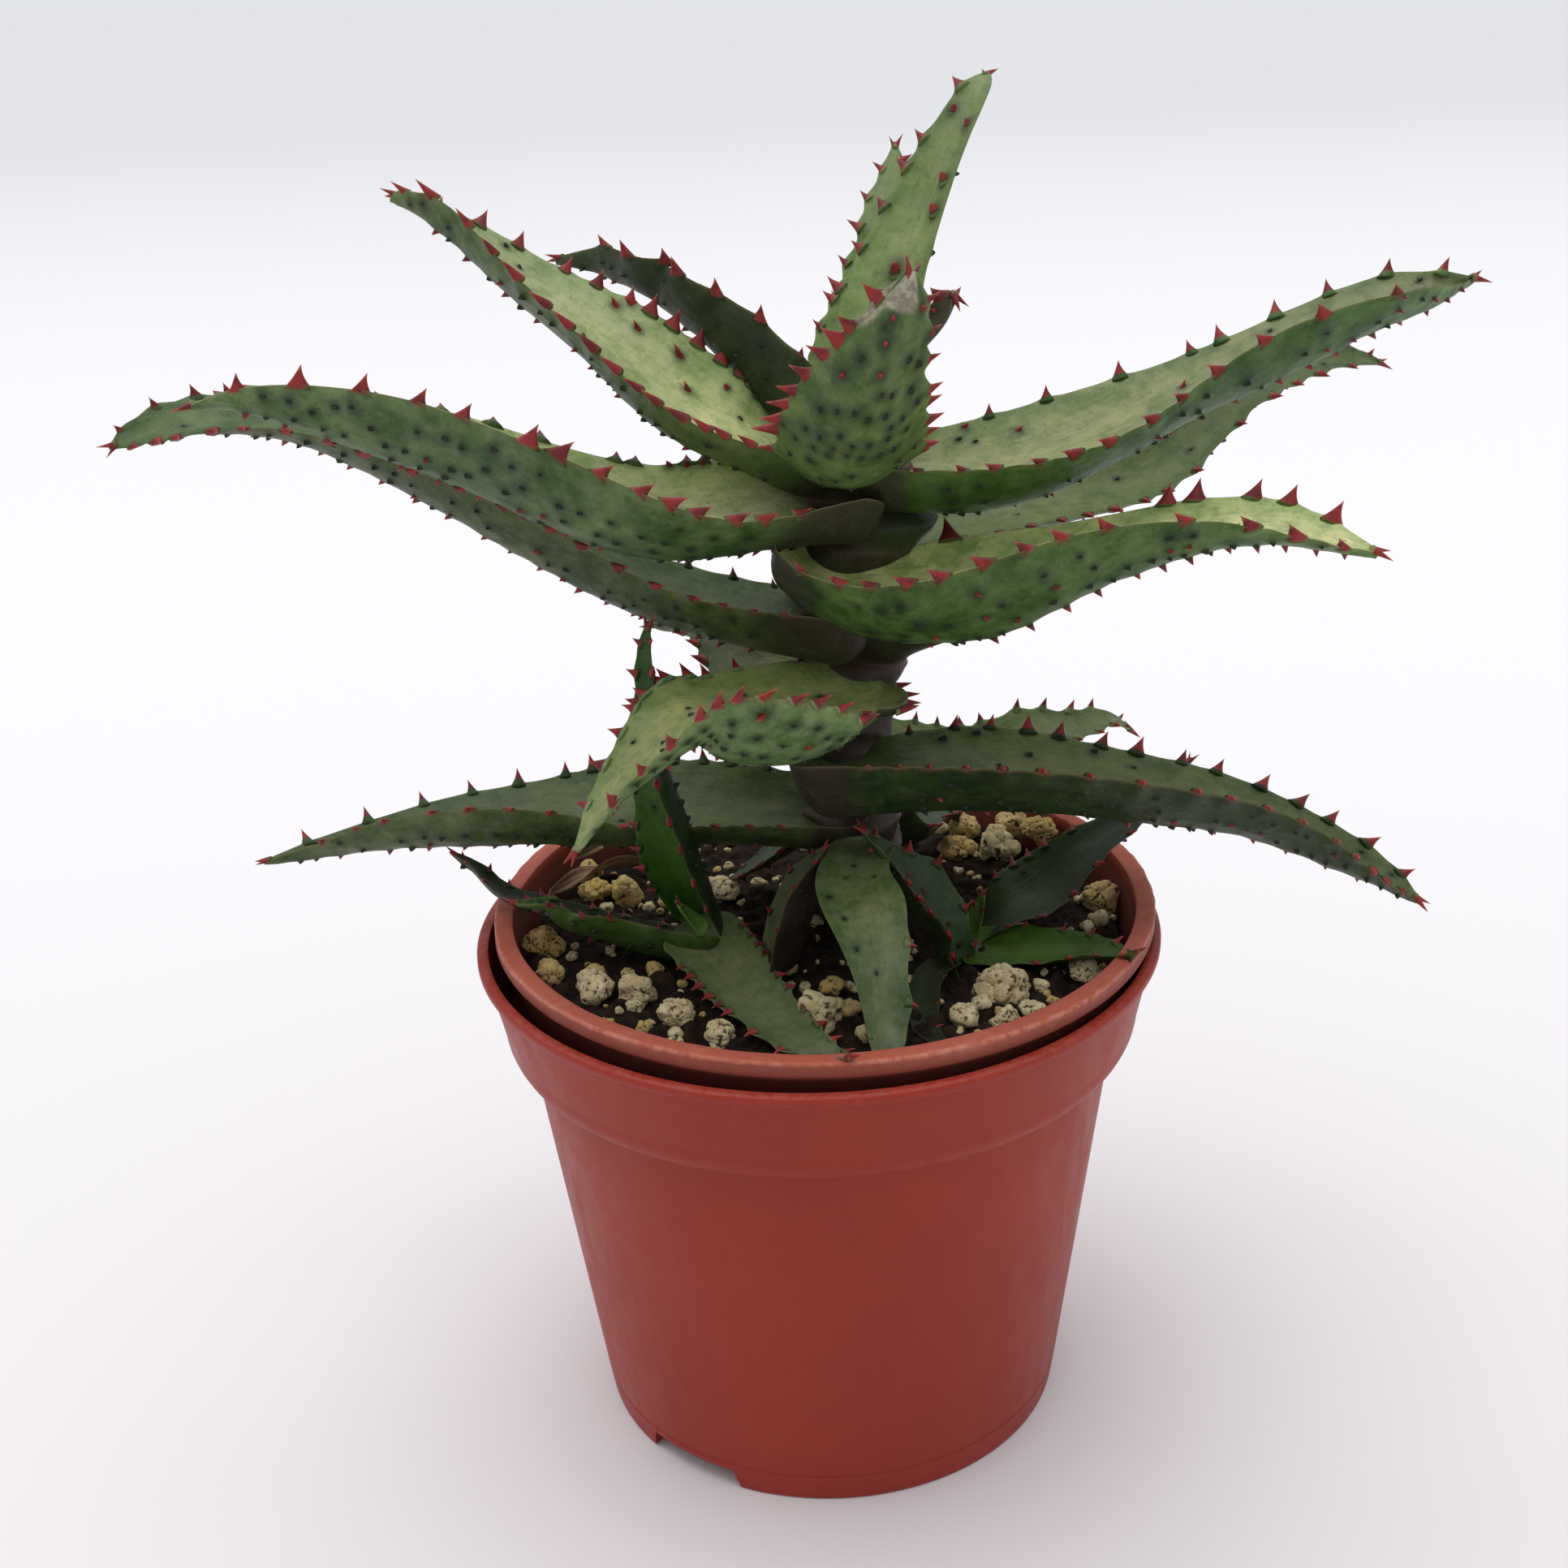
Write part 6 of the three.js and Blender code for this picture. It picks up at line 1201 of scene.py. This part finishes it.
def rough_rim(V):
    """The old rim is chipped and slightly uneven."""
    V = V.copy()
    rad = np.hypot(V[:, 0] - INNER_X, V[:, 1] - INNER_Y)
    az = np.arctan2(V[:, 1] - INNER_Y, V[:, 0] - INNER_X)
    top = smooth(INNER_TOP - 2.0, INNER_TOP, V[:, 2]) * (rad > INNER_RIM_IN - 0.2)
    p = np.stack([np.cos(az) * 12, np.sin(az) * 12, np.zeros_like(az)], -1)
    wave = fbm(p * 0.35, 3, 2) - 0.5
    nick = fbm(p * 2.4, 9, 3) - 0.5
    out = smooth(INNER_RIM_R - 1.2, INNER_RIM_R, rad)
    V[:, 2] += top * (0.5 * wave - 0.25 * np.maximum(nick, 0) * out)
    grow = 1 + top * out * (0.5 * wave + 0.55 * nick) / INNER_RIM_R
    V[:, 0] = INNER_X + (V[:, 0] - INNER_X) * grow
    V[:, 1] = INNER_Y + (V[:, 1] - INNER_Y) * grow
    return V


pot_out = pot_material("outer_pot_plastic", lin(154, 42, 26), lin(136, 36, 22), lin(170, 96, 78), 0.40, 0.58, 0.26, 0.8)
pot_in = pot_material("inner_pot_plastic", lin(180, 88, 66), lin(156, 70, 52), lin(200, 140, 120), 0.55, 0.75, 0.34, 0.95)
ob = lathe("look_outer_pot", [*underside, *outside, *inside], 0, 0)
cut(ob, drills(0, 0, FLOOR_Z + FLOOR_T / 2, NOTCH_AZ))
slotted(ob, "outer_pot", pot_out)
ob = lathe("look_inner_pot", [*inner_under, *inner_out, *inner_in], INNER_X, INNER_Y, 240, rough_rim)
cut(ob, drills(INNER_X, INNER_Y, IN_FLOOR + 3.3, []))
slotted(ob, "inner_pot", pot_in)


# ------------------------------------------------------------------ build: soil
def soil_top(x, y):
    r = np.hypot(x, y)
    z = np.interp(r, [0, 10, 20, 37, 45, 47.2], [79.1, 78.9, 78.1, 78.4, 78.1, 77.2])
    p = np.stack([x / 6, y / 6, np.zeros_like(x)], -1)
    return z + (fbm(p, 21, 3) - 0.5) * 2.0


def soil_piece():
    n = 216
    u, v = np.meshgrid(np.linspace(-1, 1, n), np.linspace(-1, 1, n), indexing="ij")
    big = np.maximum(np.abs(u), np.abs(v))
    ang = np.where(np.abs(u) >= np.abs(v), (np.pi / 4) * np.divide(v, u, out=np.zeros_like(u), where=u != 0), np.pi / 2 - (np.pi / 4) * np.divide(u, v, out=np.zeros_like(u), where=v != 0))
    flip = np.where(np.abs(u) >= np.abs(v), np.where(u < 0, -1, 1), np.where(v < 0, -1, 1))
    R = COLLAR_IN_LOW_R - GAP - LEAN - 1.0 - GAP + 0.08
    x = R * big * np.cos(ang) * flip
    y = R * big * np.sin(ang) * flip
    z = soil_top(x.ravel(), y.ravel()).reshape(x.shape)
    high = np.zeros_like(z)
    rng = np.random.default_rng(77)
    base = z.copy()
    for _ in range(1500):
        a, rr = rng.uniform(0, 2 * np.pi), R * math.sqrt(rng.uniform(0, 1))
        cx, cy = rr * math.cos(a), rr * math.sin(a)
        r = rng.uniform(0.45, 1.0) if rng.random() < 0.75 else rng.uniform(1.0, 2.1)
        el, tw = rng.uniform(0.55, 1.0), rng.uniform(0, np.pi)
        dx, dy = x - cx, y - cy
        near = (np.abs(dx) < r) & (np.abs(dy) < r)
        if not near.any():
            continue
        ax = (dx[near] * math.cos(tw) + dy[near] * math.sin(tw)) / r
        ay = (-dx[near] * math.sin(tw) + dy[near] * math.cos(tw)) / (r * el)
        d2 = ax * ax + ay * ay
        h = base[near] - 0.25 * r + 0.95 * r * np.sqrt(np.clip(1 - d2, 0, 1))
        h = np.where(d2 < 1, h, -1e9)
        up = h > z[near]
        z[near] = np.where(up, h, z[near])
        high[near] = np.where(up, rng.uniform(0, 1), high[near])
    jit = fbm(np.stack([x.ravel() / 0.9, y.ravel() / 0.9, np.zeros(x.size)], -1), 5, 2).reshape(x.shape) - 0.5
    z = z + jit * 0.5
    z = np.where(big > 0.999, np.minimum(z, 78.3), z)
    V = np.stack([x + INNER_X, y + INNER_Y, z], -1).reshape(-1, 3)
    i, j = np.meshgrid(np.arange(n - 1), np.arange(n - 1), indexing="ij")
    a = (i * n + j).ravel()
    quads = np.stack([a, a + n, a + n + 1, a + 1], -1)
    # skirt down inside the pot, ring by ring, and a floor
    border = np.concatenate([np.arange(n - 1) * n, (n - 1) * n + np.arange(n - 1), (n - 1 - np.arange(n - 1)) * n + n - 1, n - 1 - np.arange(n - 1)])
    m = len(border)
    dirs = unit(np.stack([x.ravel()[border], y.ravel()[border]], -1))
    levels = [(R, IN_STEP_Z + 3.6), (inner_in_wall(STEP_Z) - GAP, IN_STEP_Z + 0.2), (inner_in_wall(STEP_Z) - GAP, STEP_Z - 0.3), (inner_in_wall(IN_FLOOR + 5) - GAP - 0.6, IN_FLOOR + 5.6), (20.0, IN_FLOOR + 5.0)]
    prev = border
    for r, zz in levels:
        start = len(V)
        V = np.vstack([V, np.column_stack([dirs * r + [INNER_X, INNER_Y], np.full(m, zz)])])
        cur = start + np.arange(m)
        k = np.roll(np.arange(m), -1)
        quads = np.vstack([quads, np.stack([prev, prev[k], cur[k], cur], -1)])
        prev = cur
    V = np.vstack([V, [INNER_X, INNER_Y, IN_FLOOR + 4.6]])
    k = np.roll(np.arange(m), -1)
    tris = np.stack([prev, prev[k], np.full(m, len(V) - 1)], -1)
    c = V.mean(0)
    vol = np.einsum("ij,ij->i", V[quads[:, 0]] - c, np.cross(V[quads[:, 1]] - c, V[quads[:, 2]] - c)).sum()
    if vol < 0:
        quads, tris = quads[:, ::-1], tris[:, ::-1]
    geo = Geo("high")
    geo.add(V, quads, tris, high=np.concatenate([high.ravel(), np.zeros(len(V) - n * n)]))
    return geo.make("look_soil")


slotted(soil_piece(), "soil", soil_material())


# ------------------------------------------------------------------ build: pumice and grit
def ball(levels):
    bm = bmesh.new()
    bmesh.ops.create_icosphere(bm, subdivisions=levels, radius=1.0)
    bm.verts.ensure_lookup_table()
    v = np.array([q.co[:] for q in bm.verts])
    f = np.array([[q.index for q in face.verts] for face in bm.faces])
    bm.free()
    return unit(v), f


BALLS = {k: ball(k) for k in (3, 5)}


def grain(geo, x, y, z, r, seed, tone, level, rnd):
    """A broken, pitted lump: a ball flattened by a dozen soft facets, then roughened."""
    v, f = BALLS[level]
    k = int(seed * 10) + 3
    own = np.random.default_rng(k)
    cuts = unit(own.normal(size=(13, 3)))
    deep = own.uniform(0.74, 0.98, 13)
    dots = np.maximum(v @ cuts.T, 0.05)
    facet = (np.sum((dots / deep) ** 16, 1)) ** (-1 / 16)
    bump = 0.1 * np.sin(3.1 * v[:, 0] + seed) + 0.09 * np.sin(3.7 * v[:, 1] + 1.7 * seed) + 0.07 * np.sin(4.3 * v[:, 2] + 2.3 * seed)
    lump = fbm(v * 2.0 + seed, k, 3) - 0.5
    knobs = unit(own.normal(size=(22, 3)))
    away = np.sort(np.arccos(np.clip((v + 0.10 * lump[:, None]) @ knobs.T, -1, 1)), 1)
    crack = 1 - smooth(0.02, 0.16, away[:, 1] - away[:, 0])
    knob = np.clip(1 - (away[:, 0] / 0.55) ** 2, 0, 1)
    pit = smooth(0.66, 0.74, fbm(v * 3.6 + 2 * seed, k + 13, 2))
    small = smooth(0.72, 0.80, vnoise(v * 9.0 + seed, k + 19))
    rad = np.minimum(facet, 1.12) * (1 + 0.8 * bump) * 0.96 + 0.16 * lump + 0.13 * knob - 0.07 * crack - 0.14 * pit - 0.05 * small + 0.05 * (vnoise(v * 12, k + 2) - 0.5)
    p = v * (r * rad)[:, None]
    p[:, 2] *= 0.9
    geo.add(p + [x, y, z], None, f, tone=tone, pit=np.clip(pit + 0.7 * small + 0.35 * crack, 0, 1), rnd=rnd)


pumice_mat = pumice_material()
for i, (x, y, z, r, seed, tone) in enumerate(STONES):
    geo = Geo("tone", "pit", "rnd")
    grain(geo, x, y, z, r, seed, tone, 5, (seed * 0.37) % 1.0)
    name = "pumice_%02d" % (i + 1)
    slotted(geo.make("look_" + name), name, pumice_mat)
rng = np.random.default_rng(4242)
geo = Geo("tone", "pit", "rnd")
placed = [(s_[0], s_[1], s_[3]) for s_ in STONES]
GRIT = [[-36.5, -22.0, 1.1], [-31.0, -26.5, 1.2], [-33.5, -13.0, 1.7], [11.5, 22.0, 1.5], [32.5, -20.0, 1.2], [43.5, 0.5, 1.5], [34.5, 20.5, 1.7], [-37.0, 22.5, 2.2], [-18.0, 20.0, 1.1], [-15.5, 19.0, 1.1],
        [-3.0, -21.5, 2.1], [4.0, -26.0, 1.9], [1.5, -18.5, 1.9], [6.5, -33.5, 1.6], [-2.5, -35.5, 1.7], [36.0, -25.0, 1.3], [20.0, -36.5, 1.5], [-20.5, -33.5, 1.4], [-9.0, -37.5, 1.5], [29.0, -35.0, 1.2]]
low_leaf = []  # points on the undersides of the low leaves, which no loose grain may reach
for name_, rows_ in LEAVES.items():
    at_ = np.linspace(START.get(name_, 0.0), 1, 50)
    C_, T_, N_, B_, w_, k_ = frames(Spline(rows_), at_, FACING.get(name_, (0, 0, 1)))
    for q_ in np.linspace(-1, 1, 9):
        low_leaf.append(C_ + B_ * (q_ * w_)[:, None] - N_ * (k_ * (1 - abs(q_) ** 1.8))[:, None])
low_leaf = np.vstack(low_leaf)
low_leaf = low_leaf[low_leaf[:, 2] < 88]


def under_leaf(x, y, top, r):
    near_ = np.hypot(low_leaf[:, 0] - x, low_leaf[:, 1] - y) < r + 0.6
    return bool((low_leaf[near_, 2] < top + 0.2).any())


for gx, gy, gr in GRIT:
    gz = float(soil_top(np.array([gx - INNER_X]), np.array([gy - INNER_Y]))[0])
    if under_leaf(gx, gy, gz + gr * 1.5, gr):
        continue
    placed.append((gx, gy, gr))
    grain(geo, gx, gy, gz + gr * 0.55, gr, rng.uniform(0, 60), float(rng.random() < 0.4), 3, rng.uniform(0, 1))
for _ in range(420):
    a, rr = rng.uniform(0, 2 * np.pi), 45.5 * math.sqrt(rng.uniform(0, 1))
    gx, gy = rr * math.cos(a) + INNER_X, rr * math.sin(a) + INNER_Y
    gr = rng.uniform(0.35, 0.75) if rng.random() < 0.7 else rng.uniform(0.75, 1.5)
    sd, tn, rd = rng.uniform(0, 60), float(rng.random() < 0.35), rng.uniform(0, 1)
    if any((gx - px) ** 2 + (gy - py) ** 2 < (pr * 0.8 + gr) ** 2 for px, py, pr in placed):
        continue
    gz = float(soil_top(np.array([gx - INNER_X]), np.array([gy - INNER_Y]))[0])
    if under_leaf(gx, gy, gz + 0.45 + gr, gr):
        continue
    placed.append((gx, gy, gr))
    grain(geo, gx, gy, gz + 0.45, gr, sd, tn, 3, rd)
slotted(geo.make("look_grit"), None, pumice_mat)


# ------------------------------------------------------------------ build: dry strips
def strip_piece(name, points, half):
    curve = Spline([[*p, half * (0.55 if i in (0, len(points) - 1) else 1)] for i, p in enumerate(points)])
    n, side = 80, 21
    s = np.linspace(0, 1, n)
    row = curve(s)
    T = unit(np.gradient(row[:, :3], axis=0))
    Bh = unit(np.cross([0, 0, 1.0], T))
    roll = 1.25 * np.sin(s * 4.2 + half) + 0.35
    Nh = np.cross(T, Bh)
    B = Bh * np.cos(roll)[:, None] + Nh * np.sin(roll)[:, None]
    N = np.cross(T, B)
    t = np.linspace(-1, 1, side)
    curl = 0.8 * t**2
    ribs = 0.10 * np.cos(t * 9.5)
    frayed = 1 - 0.10 * fbm(np.stack([s * 14, s * 0, s * 0], -1), 31, 2)
    ends = np.sqrt(np.clip(1 - (2 * s - 1) ** 16, 0.02, 1))
    w = row[:, 3] * frayed * ends * 0.8
    thick = 0.24 * np.sqrt(np.clip(1 - t**4, 0.05, 1))
    top = row[:, None, :3] + B[:, None] * (w[:, None] * t)[..., None] + N[:, None] * (curl + ribs + thick)[None, :, None]
    bot = row[:, None, :3] + B[:, None] * (w[:, None] * t)[..., None] + N[:, None] * (curl + ribs - thick)[None, :, None]
    P = np.concatenate([top, bot[:, ::-1]], 1)
    m = P.shape[1]
    V = P.reshape(-1, 3)
    quads = tube_faces(n, m)
    caps = []
    for base in (0, (n - 1) * m):
        for j in range(side - 1):
            a, b, c, d = base + j, base + j + 1, base + m - 2 - j, base + m - 1 - j
            caps.append([a, b, c, d] if base else [d, c, b, a])
    quads = np.vstack([quads, caps])
    c = V.mean(0)
    mid = quads.mean
    a_, b_, c_, d_ = (V[quads[:, x]] - c for x in range(4))
    if np.einsum("ij,ij->i", a_, np.cross(b_, c_)).sum() + np.einsum("ij,ij->i", a_, np.cross(c_, d_)).sum() < 0:
        quads = quads[:, ::-1]
    rib = np.tile(np.concatenate([0.5 - 0.5 * np.cos(t * 9.5), 0.5 - 0.5 * np.cos(t[::-1] * 9.5)]), n)
    geo = Geo("rib")
    geo.add(V, quads, None, rib=rib)
    return geo.make("look_" + name, sharp=60)


dry_mat = dry_material()
for name, (points, half) in STRIPS.items():
    slotted(strip_piece(name, points, half), name, dry_mat)

# ------------------------------------------------------------------ stage, light, camera
scene = bpy.context.scene
me = bpy.data.meshes.new("floor")
me.from_pydata([(-9, -9, 0), (9, -9, 0), (9, 9, 0), (-9, 9, 0)], [], [(0, 1, 2, 3)])
floor = bpy.data.objects.new("floor", me)
scene.collection.objects.link(floor)
floor.location.z = float(SHIFT[2]) - 0.0001
t = Tree("paper_floor")
ob_ = t.coords()
back = t.split(ob_)[1]
# painted light: the floor is painted a little darker in front of the pot, brightest just behind it and much darker far
# back, standing in for the falloff of a soft light from above
paper_painted_falloff = t.mix(t.range(back, -0.12, 0.35), (0.80, 0.775, 0.785), (0.845, 0.83, 0.85))
paper_painted_falloff = t.mix(t.range(back, 0.5, 2.2), paper_painted_falloff, (0.66, 0.665, 0.685))
t.finish(t.mix(t.mul(t.noise(ob_, 6.0, 2.0), 0.04), paper_painted_falloff, (0.8, 0.8, 0.8)), 0.9, None, Specular_IOR_Level=0.1)
floor.data.materials.append(t.mat)

# a room lit from above: the sky dims towards the horizon
world = bpy.data.worlds.new("soft_room")
world.use_nodes = True
scene.world = world
wt = world.node_tree
dirn = wt.nodes.new("ShaderNodeTexCoord")
sep = wt.nodes.new("ShaderNodeSeparateXYZ")
ramp = wt.nodes.new("ShaderNodeMapRange")
ramp.interpolation_type = "SMOOTHSTEP"
for k, v in (("From Min", 0.0), ("From Max", 0.9), ("To Min", 0.44), ("To Max", 0.86)):
    ramp.inputs[k].default_value = v
wt.links.new(dirn.outputs["Generated"], sep.inputs[0])
wt.links.new(sep.outputs["Z"], ramp.inputs["Value"])
wt.links.new(ramp.outputs["Result"], wt.nodes["Background"].inputs["Strength"])
wt.nodes["Background"].inputs["Color"].default_value = (0.95, 0.965, 1.0, 1)

lamp = bpy.data.lights.new("window_light", "SUN")
lamp.energy = 1.45
lamp.angle = 1.1
lamp.color = (1.0, 0.985, 0.955)
sun = bpy.data.objects.new("window_light", lamp)
scene.collection.objects.link(sun)
sun.rotation_mode = "QUATERNION"
sun.rotation_quaternion = Vector((0.10, -0.10, -1.0)).to_track_quat("-Z", "Y")

PITCH, YAW, ROLL, DIST, HEIGHT = 0.403413206, -0.0148852543, 0.0389806703, 292.568603, 228.965466
cp, sp, cy, sy = math.cos(PITCH), math.sin(PITCH), math.cos(YAW), math.sin(YAW)
F = np.array([sy * cp, cy * cp, -sp])
Rt = np.array([cy, -sy, 0.0])
Dn = np.cross(F, Rt)
cr, sr = math.cos(ROLL), math.sin(ROLL)
right, down = cr * Rt + sr * Dn, -sr * Rt + cr * Dn
cam = bpy.data.cameras.new("camera")
cam.sensor_fit = "HORIZONTAL"
cam.sensor_width = 36.0
cam.lens = 36.0 * 2600.0 / 1932.0
cam.clip_start, cam.clip_end = 0.01, 60.0
camera = bpy.data.objects.new("camera", cam)
scene.collection.objects.link(camera)
at = np.array([0, -DIST, HEIGHT]) * 0.001 + SHIFT
camera.matrix_world = Matrix([[right[i], -down[i], -F[i], at[i]] for i in range(3)] + [[0, 0, 0, 1]])
scene.camera = camera
scene.view_settings.view_transform = "Standard"
scene.view_settings.look = "None"
scene.view_settings.exposure = 0.0
